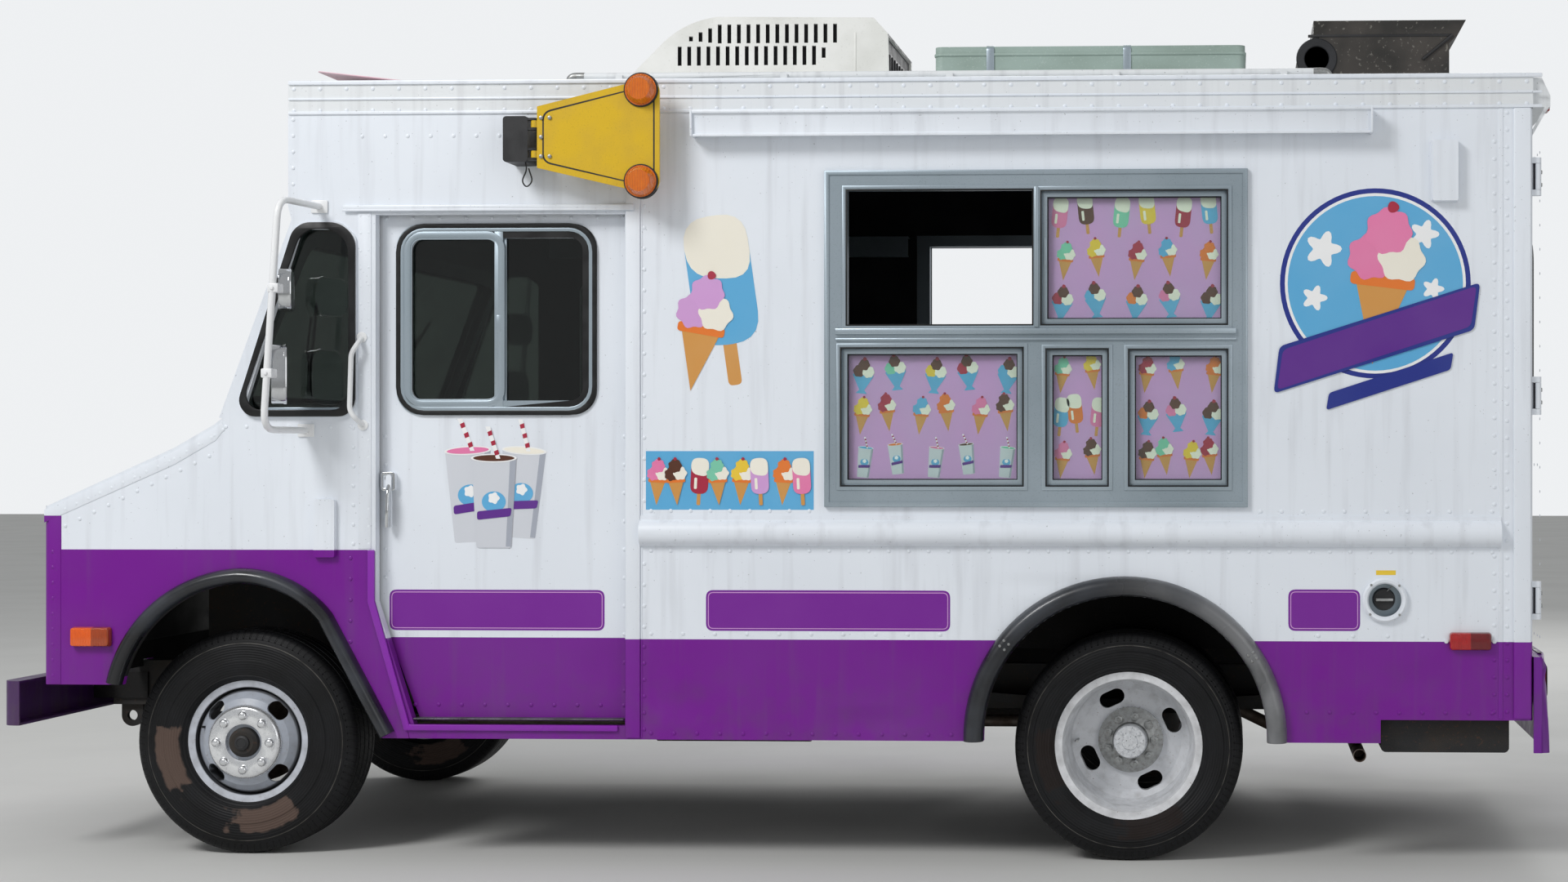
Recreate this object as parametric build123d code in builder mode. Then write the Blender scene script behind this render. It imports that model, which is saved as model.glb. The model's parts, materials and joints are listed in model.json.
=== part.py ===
from build123d import *
import os

# Ice cream truck, a walk-in step van. Millimetres, front is -X, the driver's side is -Y, +Z is up.
# The origin is on the ground below the middle of the vehicle.

# Overall sizes
wheelbase = 3175
front_overhang = 859
rear_overhang = 1472
body_width = 2360
roof_edge_top = 2758
roof_edge_bottom = 2637
roof_crown = 35
mirror_standoff = 310

# Walls, gaps and fits
wall = 40
skin = 25
sheet = 6
seat_gap = 0.3
running_gap = 6
pin_clearance = 0.3

# Heights
lower_edge = 434
rear_lower_edge = 515
floor_top = 760
floor_thickness = 50
sill_top = 482
nose_bottom = 619
cowl_top = 1565
apron_top = 1100
frame_top = 640
frame_height = 170
step_top = 500

# Wheels and tyres
front_tyre_radius = 403
rear_tyre_radius = 405
front_tyre_width = 235
rear_tyre_width = 225
front_rim_radius = 220
rear_rim_radius = 262
tyre_inset = 114
rear_tyre_inset = 95
dual_spacing = 267
kingpin_inset = 266
spindle_radius = 28
rear_spindle_radius = 45

# Frame and axles
frame_half = 432
flange = 65
web = 8
front_spring_offset = 399
rear_spring_offset = 480
spring_half_span = 620
rear_spring_half_span = 680

# Stations along the truck
length = front_overhang + wheelbase + rear_overhang
front_axle_x = front_overhang - length / 2
rear_axle_x = front_axle_x + wheelbase
body_half = body_width / 2
inner_half = body_half - wall
mirror_reach = body_half + mirror_standoff
tyre_face = body_half - tyre_inset
rear_tyre_face = body_half - rear_tyre_inset
kingpin_offset = tyre_face - kingpin_inset


def aft(distance):
    return front_axle_x + distance


def past_rear(distance):
    return rear_axle_x + distance


bumper_face = aft(-front_overhang)
nose_front = aft(-681)
nose_rear = aft(454)
door_front = aft(518)
door_rear = aft(1408)
trim_front = aft(490)
pillar_foot = aft(-45)
pillar_head = aft(216)
brow_front = aft(204)
window_front = past_rear(-1060)
window_rear = past_rear(420)
raised_edge_front = past_rear(881)
post_front = past_rear(1339)
body_rear = past_rear(1407)
bumper_rear = past_rear(rear_overhang)

# Door and window heights
door_top = 2283
header_bottom = 2313
pillar_head_top = 2267
quarter_bottom = 1568
quarter_top = 2258
serving_bottom = 1253
serving_top = 2430
bezel_lap = 20
arch_radius = 495
arch_centre_x = past_rear(-8)
arch_centre_z = 447
flare_band = 70
front_flare_band = 55
flare_depth = 45


def write(piece, name):
    """Label a finished piece and write it as a file of its own."""
    piece.part.label = name
    export_step(piece.part, f"parts/{name}.step")


def side(distance=0.0):
    """Plane of the driver's side at a distance from the middle, local x aft and local y up."""
    return Plane.XZ.offset(distance)


os.makedirs("parts", exist_ok=True)

# Front wheel arch, as seen from the side: a long lead-in at the front and a straight rear edge
arch_nose = (aft(-393), nose_bottom)
arch_lead = (aft(-215), 893)
arch_peak = (aft(30), 979)
arch_fall = (aft(190), 944)
arch_knee = (aft(317), 846)
arch_heel = (aft(538), lower_edge)


def front_arch_face():
    """Closed outline of the space below the front wheel arch."""
    with BuildSketch() as outline:
        with BuildLine():
            ThreePointArc(arch_nose, arch_lead, arch_peak)
            ThreePointArc(arch_peak, arch_fall, arch_knee)
            Polyline(arch_knee, arch_heel, (arch_heel[0], 200), (arch_nose[0], 200), arch_nose)
        make_face()
    return outline.sketch


def roof_envelope(low, lift):
    """Section of everything under the roof's outer curve, lifted by a gap."""
    with BuildSketch(Plane.YZ) as section:
        with BuildLine():
            ThreePointArc(
                (-body_half, roof_edge_top + lift),
                (0, roof_edge_top + roof_crown + lift),
                (body_half, roof_edge_top + lift),
            )
            Polyline(
                (body_half, roof_edge_top + lift),
                (body_half, low),
                (-body_half, low),
                (-body_half, roof_edge_top + lift),
            )
        make_face()
    return section.sketch


# Chassis frame: two channels, each with a tow eye under its front end
rail_front = bumper_face + 80
rail_rear = post_front - 2
rail_bottom = frame_top - frame_height
eye_plate = 20
tow_eye_radius = 20
tow_eye_x = rail_front + 64
tow_eye_z = rail_bottom - 45
with BuildPart() as frame_rails:
    with BuildSketch(Plane.YZ.offset(rail_front)):
        with Locations((frame_half - flange / 2, frame_top - frame_height / 2)):
            Rectangle(flange, frame_height)
        with Locations((frame_half - web - flange / 2, frame_top - frame_height / 2)):
            Rectangle(flange, frame_height - 2 * web, mode=Mode.SUBTRACT)
    extrude(amount=rail_rear - rail_front)
    mirror(about=Plane.XZ)
    for hand in (-1, 1):
        with BuildSketch(side(hand * (frame_half - flange / 2) + eye_plate / 2)):
            with Locations((tow_eye_x, tow_eye_z)):
                Circle(42)
            with Locations((tow_eye_x, (tow_eye_z + rail_bottom) / 2)):
                Rectangle(84, rail_bottom - tow_eye_z)
            with Locations((tow_eye_x, tow_eye_z)):
                Circle(tow_eye_radius, mode=Mode.SUBTRACT)
        extrude(amount=-eye_plate)
write(frame_rails, "frame_rails")

# Crossmembers: beams between the webs, on the lower flanges under the engine and below the upper ones behind it
crossmember_reach = 50
crossmember_height = crossmember_reach - web - seat_gap
crossmember_width = 60
low_seat = rail_bottom + web + seat_gap
high_seat = frame_top - crossmember_reach
crossmember_places = [
    # station, lower edge
    (aft(-560), low_seat),
    (aft(150), low_seat),
    (aft(1000), high_seat),
    (aft(1700), high_seat),
    (past_rear(-760), high_seat),
    (past_rear(-60), high_seat),
    (past_rear(760), high_seat),
    (rail_rear - 40, high_seat),
]
with BuildPart() as crossmembers:
    for station, low in crossmember_places:
        with BuildSketch(Plane.XY.offset(low)):
            with Locations((station, 0)):
                Rectangle(crossmember_width, 2 * (frame_half - web - seat_gap))
        extrude(amount=crossmember_height)
write(crossmembers, "crossmembers")

# Front axle: a dropped I-beam with an eye for the kingpin at each end
beam_low = 290
beam_height = 85
beam_width = 76
eye_radius = 38
kingpin_radius = 18
with BuildPart() as front_axle:
    with BuildSketch(Plane.YZ.offset(front_axle_x - beam_width / 2)):
        with BuildLine():
            Polyline(
                (-kingpin_offset + 20, front_tyre_radius - 40),
                (-kingpin_offset + 60, front_tyre_radius - 40),
                (-590, beam_low),
                (590, beam_low),
                (kingpin_offset - 60, front_tyre_radius - 40),
                (kingpin_offset - 20, front_tyre_radius - 40),
                (kingpin_offset - 20, front_tyre_radius + 40),
                (590, beam_low + beam_height),
                (-590, beam_low + beam_height),
                (-kingpin_offset + 20, front_tyre_radius + 40),
                close=True,
            )
        make_face()
    extrude(amount=beam_width)
    for face_x, depth in ((front_axle_x - beam_width / 2, 26), (front_axle_x + beam_width / 2, -26)):
        with BuildSketch(Plane.YZ.offset(face_x)):
            with Locations((0, beam_low + beam_height / 2)):
                Rectangle(1120, beam_height - 34)
        extrude(amount=depth, mode=Mode.SUBTRACT)
    for hand in (-1, 1):
        with BuildSketch(Plane.XY.offset(front_tyre_radius - 40)):
            with Locations((front_axle_x, hand * kingpin_offset)):
                Circle(eye_radius)
        extrude(amount=80)
    for hand in (-1, 1):
        with BuildSketch(Plane.XY.offset(front_tyre_radius - 40)):
            with Locations((front_axle_x, hand * kingpin_offset)):
                Circle(kingpin_radius + pin_clearance)
        extrude(amount=80, mode=Mode.SUBTRACT)
write(front_axle, "front_axle")

# Rear axle: a tube with the differential in its middle and a spindle at each end
axle_tube_radius = 55
axle_tube_half = 560
differential_radius = 165
spindle_end = rear_tyre_face - 165
differential_nose = rear_axle_x - 250
with BuildPart() as rear_axle:
    with BuildSketch(Plane.XY.offset(rear_tyre_radius)):
        with BuildLine():
            Polyline(
                (rear_axle_x, -spindle_end),
                (rear_axle_x + rear_spindle_radius, -spindle_end),
                (rear_axle_x + rear_spindle_radius, -axle_tube_half),
                (rear_axle_x + axle_tube_radius, -axle_tube_half),
                (rear_axle_x + axle_tube_radius, -differential_radius),
            )
            ThreePointArc(
                (rear_axle_x + axle_tube_radius, -differential_radius),
                (rear_axle_x + differential_radius, 0),
                (rear_axle_x + axle_tube_radius, differential_radius),
            )
            Polyline(
                (rear_axle_x + axle_tube_radius, differential_radius),
                (rear_axle_x + axle_tube_radius, axle_tube_half),
                (rear_axle_x + rear_spindle_radius, axle_tube_half),
                (rear_axle_x + rear_spindle_radius, spindle_end),
                (rear_axle_x, spindle_end),
                (rear_axle_x, -spindle_end),
            )
        make_face()
    revolve(axis=Axis((rear_axle_x, 0, rear_tyre_radius), (0, 1, 0)))
    with BuildSketch(Plane.YZ.offset(differential_nose)):
        with Locations((0, rear_tyre_radius)):
            Circle(62)
    extrude(amount=150)
write(rear_axle, "rear_axle")

# Leaf springs: a bowed pack that tapers to its eyes, with hangers up to the frame
front_seat_z = beam_low + beam_height + seat_gap
rear_seat_z = rear_tyre_radius + axle_tube_radius + seat_gap
hanger_width = 36
leaf_springs_table = [
    # axle station, offset, half span, height of the axle seat, width, height of the eyes, hanger top
    (front_axle_x, front_spring_offset, spring_half_span, front_seat_z, 60, 440, rail_bottom),
    (rear_axle_x, rear_spring_offset, rear_spring_half_span, rear_seat_z, 70, 540, frame_top),
]
with BuildPart() as leaf_springs:
    for station, offset_y, half_span, seat_z, width, eye_z, hanger_top in leaf_springs_table:
        with BuildSketch(side(offset_y - width / 2)):
            with BuildLine():
                ThreePointArc((station - half_span, eye_z), (station, seat_z), (station + half_span, eye_z))
                Line((station + half_span, eye_z), (station + half_span, eye_z + 10))
                ThreePointArc(
                    (station + half_span, eye_z + 10),
                    (station, seat_z + 55),
                    (station - half_span, eye_z + 10),
                )
                Line((station - half_span, eye_z + 10), (station - half_span, eye_z))
            make_face()
            for eye_x in (station - half_span, station + half_span):
                with Locations((eye_x, eye_z + 5)):
                    Circle(20)
        extrude(amount=width)
        hanger_low = eye_z + 5
        for eye_x in (station - half_span, station + half_span):
            with BuildSketch(side(offset_y - width / 2)):
                with Locations((eye_x, (hanger_low + hanger_top - seat_gap) / 2)):
                    Rectangle(hanger_width, hanger_top - seat_gap - hanger_low)
            extrude(amount=width)
    mirror(about=Plane.XZ)
    for hand in (-1, 1):
        for eye_x in (rear_axle_x - rear_spring_half_span, rear_axle_x + rear_spring_half_span):
            with BuildSketch(Plane.XY.offset(frame_top - 60)):
                with Locations((eye_x, hand * (frame_half + (rear_spring_offset - frame_half) / 2))):
                    Rectangle(hanger_width, rear_spring_offset - frame_half - 2 * seat_gap)
            extrude(amount=60 - seat_gap)
write(leaf_springs, "leaf_springs")

# Engine and gearbox as one plain block, with the drive shaft down to the differential
engine_rear = aft(330)
gearbox_rear = aft(900)
gearbox_z = 545
shaft_radius = 38
shaft_front = Vector(gearbox_rear, 0, gearbox_z)
shaft_rear = Vector(differential_nose, 0, rear_tyre_radius)
with BuildPart() as engine:
    with BuildSketch(Plane.XY.offset(rail_bottom + crossmember_reach + seat_gap)):
        with Locations((aft(-70), 0)):
            Rectangle(2 * (engine_rear - aft(-70)), 560)
    extrude(amount=600)
    with BuildSketch(Plane.YZ.offset(engine_rear)):
        with Locations((0, gearbox_z)):
            Circle(90)
    with BuildSketch(Plane.YZ.offset(gearbox_rear)):
        with Locations((0, gearbox_z)):
            Circle(70)
    loft()
    with BuildSketch(Plane(origin=shaft_front, z_dir=shaft_rear - shaft_front)):
        Circle(shaft_radius)
    extrude(amount=(shaft_rear - shaft_front).length - 12)
    for station, height, depth in (
        (gearbox_rear, gearbox_z, 30),
        (differential_nose - seat_gap, rear_tyre_radius, -30),
    ):
        with BuildSketch(Plane.YZ.offset(station)):
            with Locations((0, height)):
                Circle(shaft_radius + 14)
        extrude(amount=depth)
write(engine, "engine")

# Fuel tank outboard of the left frame rail, under the filler
tank_front = past_rear(885)
tank_rear = post_front - 8
tank_bottom = 396
tank_outer = inner_half - 20
tank_inner = frame_half + 18
tank_corner = 18
with BuildPart() as fuel_tank:
    with BuildSketch(side(tank_outer)):
        with Locations(((tank_front + tank_rear) / 2, (tank_bottom + frame_top) / 2)):
            RectangleRounded(tank_rear - tank_front, frame_top - tank_bottom, tank_corner)
    extrude(amount=-(tank_outer - tank_inner))
write(fuel_tank, "fuel_tank")

# Exhaust: engine, muffler, over the axle and out at the side behind the rear wheels
pipe_radius = 23
pipe_y = -230
pipe_z = 400
pipe_bend = 75
outlet_x = past_rear(810)
outlet_z = 387
outlet_y = -(body_half - 30)
muffler_radius = 85
muffler_front = aft(1300)
with BuildPart() as exhaust:
    with BuildLine() as route:
        FilletPolyline(
            (aft(230), pipe_y, rail_bottom + crossmember_reach),
            (aft(230), pipe_y, pipe_z),
            (past_rear(-400), pipe_y, pipe_z),
            (past_rear(-190), pipe_y, 522),
            (past_rear(240), pipe_y, 522),
            (past_rear(520), pipe_y, outlet_z),
            (outlet_x, pipe_y, outlet_z),
            (outlet_x, outlet_y, outlet_z),
            radius=pipe_bend,
        )
    with BuildSketch(Plane(origin=route.line @ 0, z_dir=route.line % 0)):
        Circle(pipe_radius)
    sweep()
    with BuildSketch(Plane.YZ.offset(muffler_front)):
        with Locations((pipe_y, pipe_z)):
            Circle(muffler_radius)
    extrude(amount=600)
    with BuildSketch(Plane.XY.offset(outlet_z)):
        with Locations((outlet_x, -frame_half + flange / 2)):
            Rectangle(10, 40)
    extrude(amount=rail_bottom - outlet_z - seat_gap)
    with BuildSketch(side(-outlet_y)):
        with Locations((outlet_x, outlet_z)):
            Circle(pipe_radius - 3)
    extrude(amount=-120, mode=Mode.SUBTRACT)
write(exhaust, "exhaust")

# Floor: deck on cross sills, step wells, wheelhouses over the rear tyres and the seat's pedestal
deck_front = aft(470)
deck_half = inner_half - 55
deck_bottom = floor_top - floor_thickness
step_front = aft(660)
step_rear = door_rear
step_inner = inner_half - 350
wheelhouse_front = rear_axle_x - 560
wheelhouse_rear = rear_axle_x + 560
wheelhouse_inner = rear_tyre_face - 513
wheelhouse_top = 985
door_track_rear = window_front - 10
seat_x = aft(1130)
seat_y = -560
seat_height = 300
with BuildPart() as floor:
    with BuildSketch(Plane.XY.offset(deck_bottom)):
        with BuildLine():
            Polyline(
                (deck_front, -deck_half),
                (door_track_rear, -deck_half),
                (door_track_rear, -inner_half + seat_gap),
                (post_front, -inner_half + seat_gap),
                (post_front, inner_half - seat_gap),
                (door_track_rear, inner_half - seat_gap),
                (door_track_rear, deck_half),
                (deck_front, deck_half),
                close=True,
            )
        make_face()
        for hand in (-1, 1):
            with Locations(((step_front + step_rear) / 2, hand * (step_inner + 500))):
                Rectangle(step_rear - step_front, 1000, mode=Mode.SUBTRACT)
            with Locations((rear_axle_x, hand * (wheelhouse_inner + 500))):
                Rectangle(wheelhouse_rear - wheelhouse_front, 1000, mode=Mode.SUBTRACT)
    extrude(amount=floor_thickness)
    for hand in (-1, 1):
        with BuildSketch(Plane.XY.offset(step_top - sheet)):
            with Locations(((step_front + step_rear) / 2, hand * (step_inner - sheet + deck_half) / 2)):
                Rectangle(step_rear - step_front + 2 * sheet, deck_half - step_inner + sheet)
        extrude(amount=floor_top - step_top + sheet)
        with BuildSketch(Plane.XY.offset(step_top)):
            with Locations(((step_front + step_rear) / 2, hand * (step_inner + 500))):
                Rectangle(step_rear - step_front, 1000)
        extrude(amount=floor_top - step_top, mode=Mode.SUBTRACT)
        with BuildSketch(Plane.XY.offset(deck_bottom)):
            with Locations((rear_axle_x, hand * (wheelhouse_inner - sheet + inner_half - seat_gap) / 2)):
                Rectangle(wheelhouse_rear - wheelhouse_front + 2 * sheet,
                          inner_half - seat_gap - wheelhouse_inner + sheet)
        extrude(amount=wheelhouse_top - deck_bottom)
        with BuildSketch(Plane.XY.offset(deck_bottom)):
            with Locations((rear_axle_x, hand * (wheelhouse_inner + 500))):
                Rectangle(wheelhouse_rear - wheelhouse_front, 1000)
        extrude(amount=wheelhouse_top - deck_bottom - sheet, mode=Mode.SUBTRACT)
    for station in (aft(560), aft(1450), aft(2060), past_rear(-620), past_rear(620), past_rear(1200)):
        with BuildSketch(Plane.XY.offset(frame_top + seat_gap)):
            with Locations((station, 0)):
                Rectangle(60, 2 * deck_half)
        extrude(amount=deck_bottom - frame_top - seat_gap)
    with BuildSketch(Plane.XY.offset(floor_top)):
        with Locations((seat_x, seat_y)):
            Rectangle(380, 380)
    with BuildSketch(Plane.XY.offset(floor_top + seat_height)):
        with Locations((seat_x, seat_y)):
            Rectangle(300, 300)
    loft()
write(floor, "floor")

# Side wall with its door, quarter window and serving window openings and the rear wheel arch
door_slant_z = 919
door_slant_x = aft(640)
quarter_border = 26
quarter_corner = 45
seal_proud = 8
quarter_points = [
    (aft(26), 1617), (aft(61), quarter_bottom), (aft(416), quarter_bottom), (aft(451), 1611),
    (aft(451), 2206), (aft(395), quarter_top), (aft(263), quarter_top), (aft(222), 2229),
]


def quarter_face(grow):
    """Outline of the quarter window, grown or shrunk all round."""
    with BuildSketch() as outline:
        with BuildLine():
            Polyline(*quarter_points, close=True)
        make_face()
        fillet(outline.vertices(), quarter_corner)
        offset(amount=grow, mode=Mode.REPLACE)
    return outline.sketch


with BuildPart() as side_wall:
    with BuildSketch(side(body_half)) as wall_outline:
        with BuildLine():
            Polyline(
                (nose_rear, apron_top),
                (nose_rear, cowl_top),
                (pillar_foot, cowl_top),
                (pillar_head, pillar_head_top),
                (brow_front, header_bottom),
                (brow_front, roof_edge_bottom),
                (post_front, roof_edge_bottom),
                (post_front, rear_lower_edge),
                (raised_edge_front, rear_lower_edge),
                (raised_edge_front, lower_edge),
                (door_slant_x, lower_edge),
                (door_slant_x - 12, sill_top),
                (trim_front, door_slant_z),
                (trim_front, apron_top),
                close=True,
            )
        make_face()
        with BuildLine():
            Polyline(
                (door_front, door_top),
                (door_rear, door_top),
                (door_rear, sill_top),
                (door_slant_x + 16, sill_top),
                (door_front, door_slant_z),
                close=True,
            )
        make_face(mode=Mode.SUBTRACT)
        with Locations(((window_front + window_rear) / 2, (serving_bottom + serving_top) / 2)):
            Rectangle(
                window_rear - window_front - 2 * bezel_lap,
                serving_top - serving_bottom - 2 * bezel_lap,
                mode=Mode.SUBTRACT,
            )
        with Locations((arch_centre_x, arch_centre_z)):
            Circle(arch_radius, mode=Mode.SUBTRACT)
        with Locations((arch_centre_x, arch_centre_z - arch_radius / 2)):
            Rectangle(2 * arch_radius, arch_radius, mode=Mode.SUBTRACT)
        add(quarter_face(-quarter_border), mode=Mode.SUBTRACT)
    extrude(amount=-wall)
    with BuildSketch(side(body_half)):
        add(quarter_face(0))
        add(quarter_face(-quarter_border), mode=Mode.SUBTRACT)
    extrude(amount=seal_proud)

# The left wall also has the hole of the fuel filler
filler_x = past_rear(895)
filler_z = 931
filler_hole = 66
with BuildPart() as left_wall:
    add(side_wall.part)
    with BuildSketch(side(body_half)):
        with Locations((filler_x, filler_z)):
            Circle(filler_hole)
    extrude(amount=-wall, mode=Mode.SUBTRACT)
write(left_wall, "left_wall")

with BuildPart() as right_wall:
    mirror(side_wall.part, about=Plane.XZ)
write(right_wall, "right_wall")

# Roof: a crowned skin on a rail along each side
rail_width = 60
roof_skin = 28
with BuildPart() as roof:
    with BuildSketch(Plane.YZ.offset(brow_front)):
        with BuildLine():
            ThreePointArc(
                (-body_half, roof_edge_top), (0, roof_edge_top + roof_crown), (body_half, roof_edge_top)
            )
            Polyline(
                (body_half, roof_edge_top),
                (body_half, roof_edge_bottom),
                (body_half - rail_width, roof_edge_bottom),
                (body_half - rail_width, roof_edge_top - roof_skin),
            )
            ThreePointArc(
                (body_half - rail_width, roof_edge_top - roof_skin),
                (0, roof_edge_top + roof_crown - roof_skin),
                (-body_half + rail_width, roof_edge_top - roof_skin),
            )
            Polyline(
                (-body_half + rail_width, roof_edge_top - roof_skin),
                (-body_half + rail_width, roof_edge_bottom),
                (-body_half, roof_edge_bottom),
                (-body_half, roof_edge_top),
            )
        make_face()
    extrude(amount=body_rear - brow_front)
write(roof, "roof")

# Nose: front panel, fenders with their arches, cowl strip and hood rests, round front corners
corner_radius = 28
hood_line = [(aft(-664), 1254), (aft(-206), 1460), (aft(-62), 1542), (aft(-33), cowl_top)]
hood_rest = 64
grille_rows = 8
grille_pitch = 48
grille_bottom = 760
headlamp_y = body_half - 320
headlamp_z = 960
headlamp_radius = 92
hood_lip = 46
hood_bay_rear = aft(-78)
hood_rise = (hood_line[2][1] - hood_line[1][1]) / (hood_line[2][0] - hood_line[1][0])
hood_bay_top = hood_line[1][1] + hood_rise * (hood_bay_rear - hood_line[1][0])
cowl_rear = aft(12)
hinge_x = hood_bay_rear
hinge_z = hood_bay_top + 4
hinge_radius = 5
hinge_rise = hinge_radius + 7
ear_thickness = 40
ear_gap = 1
hood_knuckle_half = body_half - hood_rest - 66
apron_rear = aft(640)
with BuildPart() as nose:
    with BuildSketch(Plane.XY.offset(lower_edge)) as plan:
        with Locations(((nose_front + apron_rear) / 2, 0)):
            Rectangle(apron_rear - nose_front, body_width)
        fillet(plan.vertices().group_by(Axis.X)[0], corner_radius)
    extrude(amount=cowl_top - lower_edge)
    with BuildSketch(Plane.XY.offset(hood_line[0][1] - hood_lip - running_gap)):
        with Locations(((nose_front - 10 + hood_bay_rear) / 2, 0)):
            Rectangle(hood_bay_rear - nose_front + 10, 2 * (body_half - hood_rest))
    extrude(amount=cowl_top - apron_top, mode=Mode.SUBTRACT)
    with BuildSketch(Plane.XY.offset(cowl_top - 2 * skin)):
        with Locations(((cowl_rear + apron_rear) / 2, 0)):
            Rectangle(apron_rear - cowl_rear, body_width - 2 * skin)
    extrude(amount=3 * skin, mode=Mode.SUBTRACT)
    with BuildSketch(Plane.XY.offset(lower_edge)) as hollow:
        with Locations(((nose_front + skin + apron_rear) / 2, 0)):
            Rectangle(apron_rear - nose_front - skin, body_width - 2 * skin)
        fillet(hollow.vertices().group_by(Axis.X)[0], corner_radius - skin)
    extrude(amount=cowl_top - skin - lower_edge, mode=Mode.SUBTRACT)
    with BuildSketch(side(body_half + 10)):
        with BuildLine():
            Polyline(
                (nose_front - 10, nose_bottom),
                arch_nose,
                (arch_nose[0], lower_edge - 10),
                (nose_front - 10, lower_edge - 10),
                close=True,
            )
        make_face()
        add(front_arch_face())
        with BuildLine():
            Polyline(
                (nose_front - 10, cowl_top + 10),
                (nose_front - 10, hood_line[0][1]),
                *hood_line,
                (hood_line[-1][0], cowl_top + 10),
                close=True,
            )
        make_face()
        with BuildLine():
            Polyline(
                (nose_rear, cowl_top + 10),
                (nose_rear, apron_top),
                (trim_front, apron_top),
                (trim_front, door_slant_z),
                (door_slant_x - 12, sill_top),
                (door_slant_x, lower_edge - 10),
                (apron_rear + 10, lower_edge - 10),
                (apron_rear + 10, cowl_top + 10),
                close=True,
            )
        make_face()
    extrude(amount=-2 * (body_half + 10), mode=Mode.SUBTRACT)
    with BuildSketch(Plane.YZ.offset(nose_front - 10)):
        for row in range(grille_rows):
            with Locations((0, grille_bottom + row * grille_pitch)):
                SlotOverall(1060, 26)
        for hand in (-1, 1):
            with Locations((hand * headlamp_y, headlamp_z)):
                Circle(headlamp_radius)
            with Locations((hand * (frame_half - flange / 2), nose_bottom)):
                Rectangle(flange + 20, 2 * (frame_top + running_gap - nose_bottom))
    extrude(amount=skin + 20, mode=Mode.SUBTRACT)
    with BuildSketch(side(body_half - skin + 5)):
        with BuildLine():
            Polyline(
                (nose_front + 2 * skin, hood_line[0][1] + 12),
                hood_line[1],
                (hood_bay_rear, hood_bay_top),
                (hood_bay_rear, hood_bay_top - 30),
                (hood_line[1][0], hood_line[1][1] - 26),
                (nose_front + 2 * skin, hood_line[0][1] - 14),
                close=True,
            )
        make_face()
    extrude(amount=-(hood_rest - skin + 5))
    mirror(about=Plane.XZ)
    for ear_front in (-hood_knuckle_half - ear_gap - ear_thickness, hood_knuckle_half + ear_gap):
        with BuildSketch(side(-ear_front)):
            with Locations((hinge_x, hinge_z)):
                Circle(hinge_rise)
            with BuildLine():
                Polyline(
                    (hinge_x, hinge_z - hinge_rise),
                    (aft(-45), cowl_top - skin),
                    (aft(-45), cowl_top - skin + 12),
                    (hinge_x, hinge_z + hinge_rise),
                    close=True,
                )
            make_face()
        extrude(amount=-ear_thickness)
    with BuildSketch(side(hood_knuckle_half + ear_gap + 1)):
        with Locations((hinge_x, hinge_z)):
            Circle(hinge_radius)
    extrude(amount=-2 * (hood_knuckle_half + ear_gap + 1))
write(nose, "nose")

# Hood lid between the hood rests, hung on pins at the cowl
hood_thickness = 22
hood_half = body_half - hood_rest - running_gap
hood_front = nose_front - 4
hood_rear = hinge_x - hinge_rise - running_gap
hood_rear_top = hood_line[1][1] + hood_rise * (hood_rear - hood_line[1][0]) - 4
with BuildPart() as hood:
    with BuildSketch(side(hood_half)):
        with BuildLine():
            Polyline(
                (hood_front, hood_line[0][1] - 10),
                (hood_front, hood_line[0][1] - hood_lip),
                (hood_front + hood_thickness, hood_line[0][1] - hood_lip),
                (hood_front + hood_thickness, hood_line[0][1] - 22),
                (hood_line[1][0] + 6, hood_line[1][1] - 28),
                (hood_rear, hood_rear_top - 24),
                (hood_rear, hood_rear_top),
                (hood_line[1][0] - 4, hood_line[1][1] - 4),
                close=True,
            )
        make_face()
    extrude(amount=-2 * hood_half)
    with BuildSketch(side(hood_knuckle_half)):
        with BuildLine():
            Polyline(
                (hood_rear - 20, hood_rear_top - 20),
                (hinge_x, hinge_z - hinge_rise),
                (hinge_x, hinge_z + hinge_rise - 4),
                (hood_rear - 20, hood_rear_top - 8),
                close=True,
            )
        make_face()
        with Locations((hinge_x, hinge_z)):
            Circle(hinge_rise)
            Circle(hinge_radius + pin_clearance, mode=Mode.SUBTRACT)
    extrude(amount=-2 * hood_knuckle_half)
write(hood, "hood")

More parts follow.
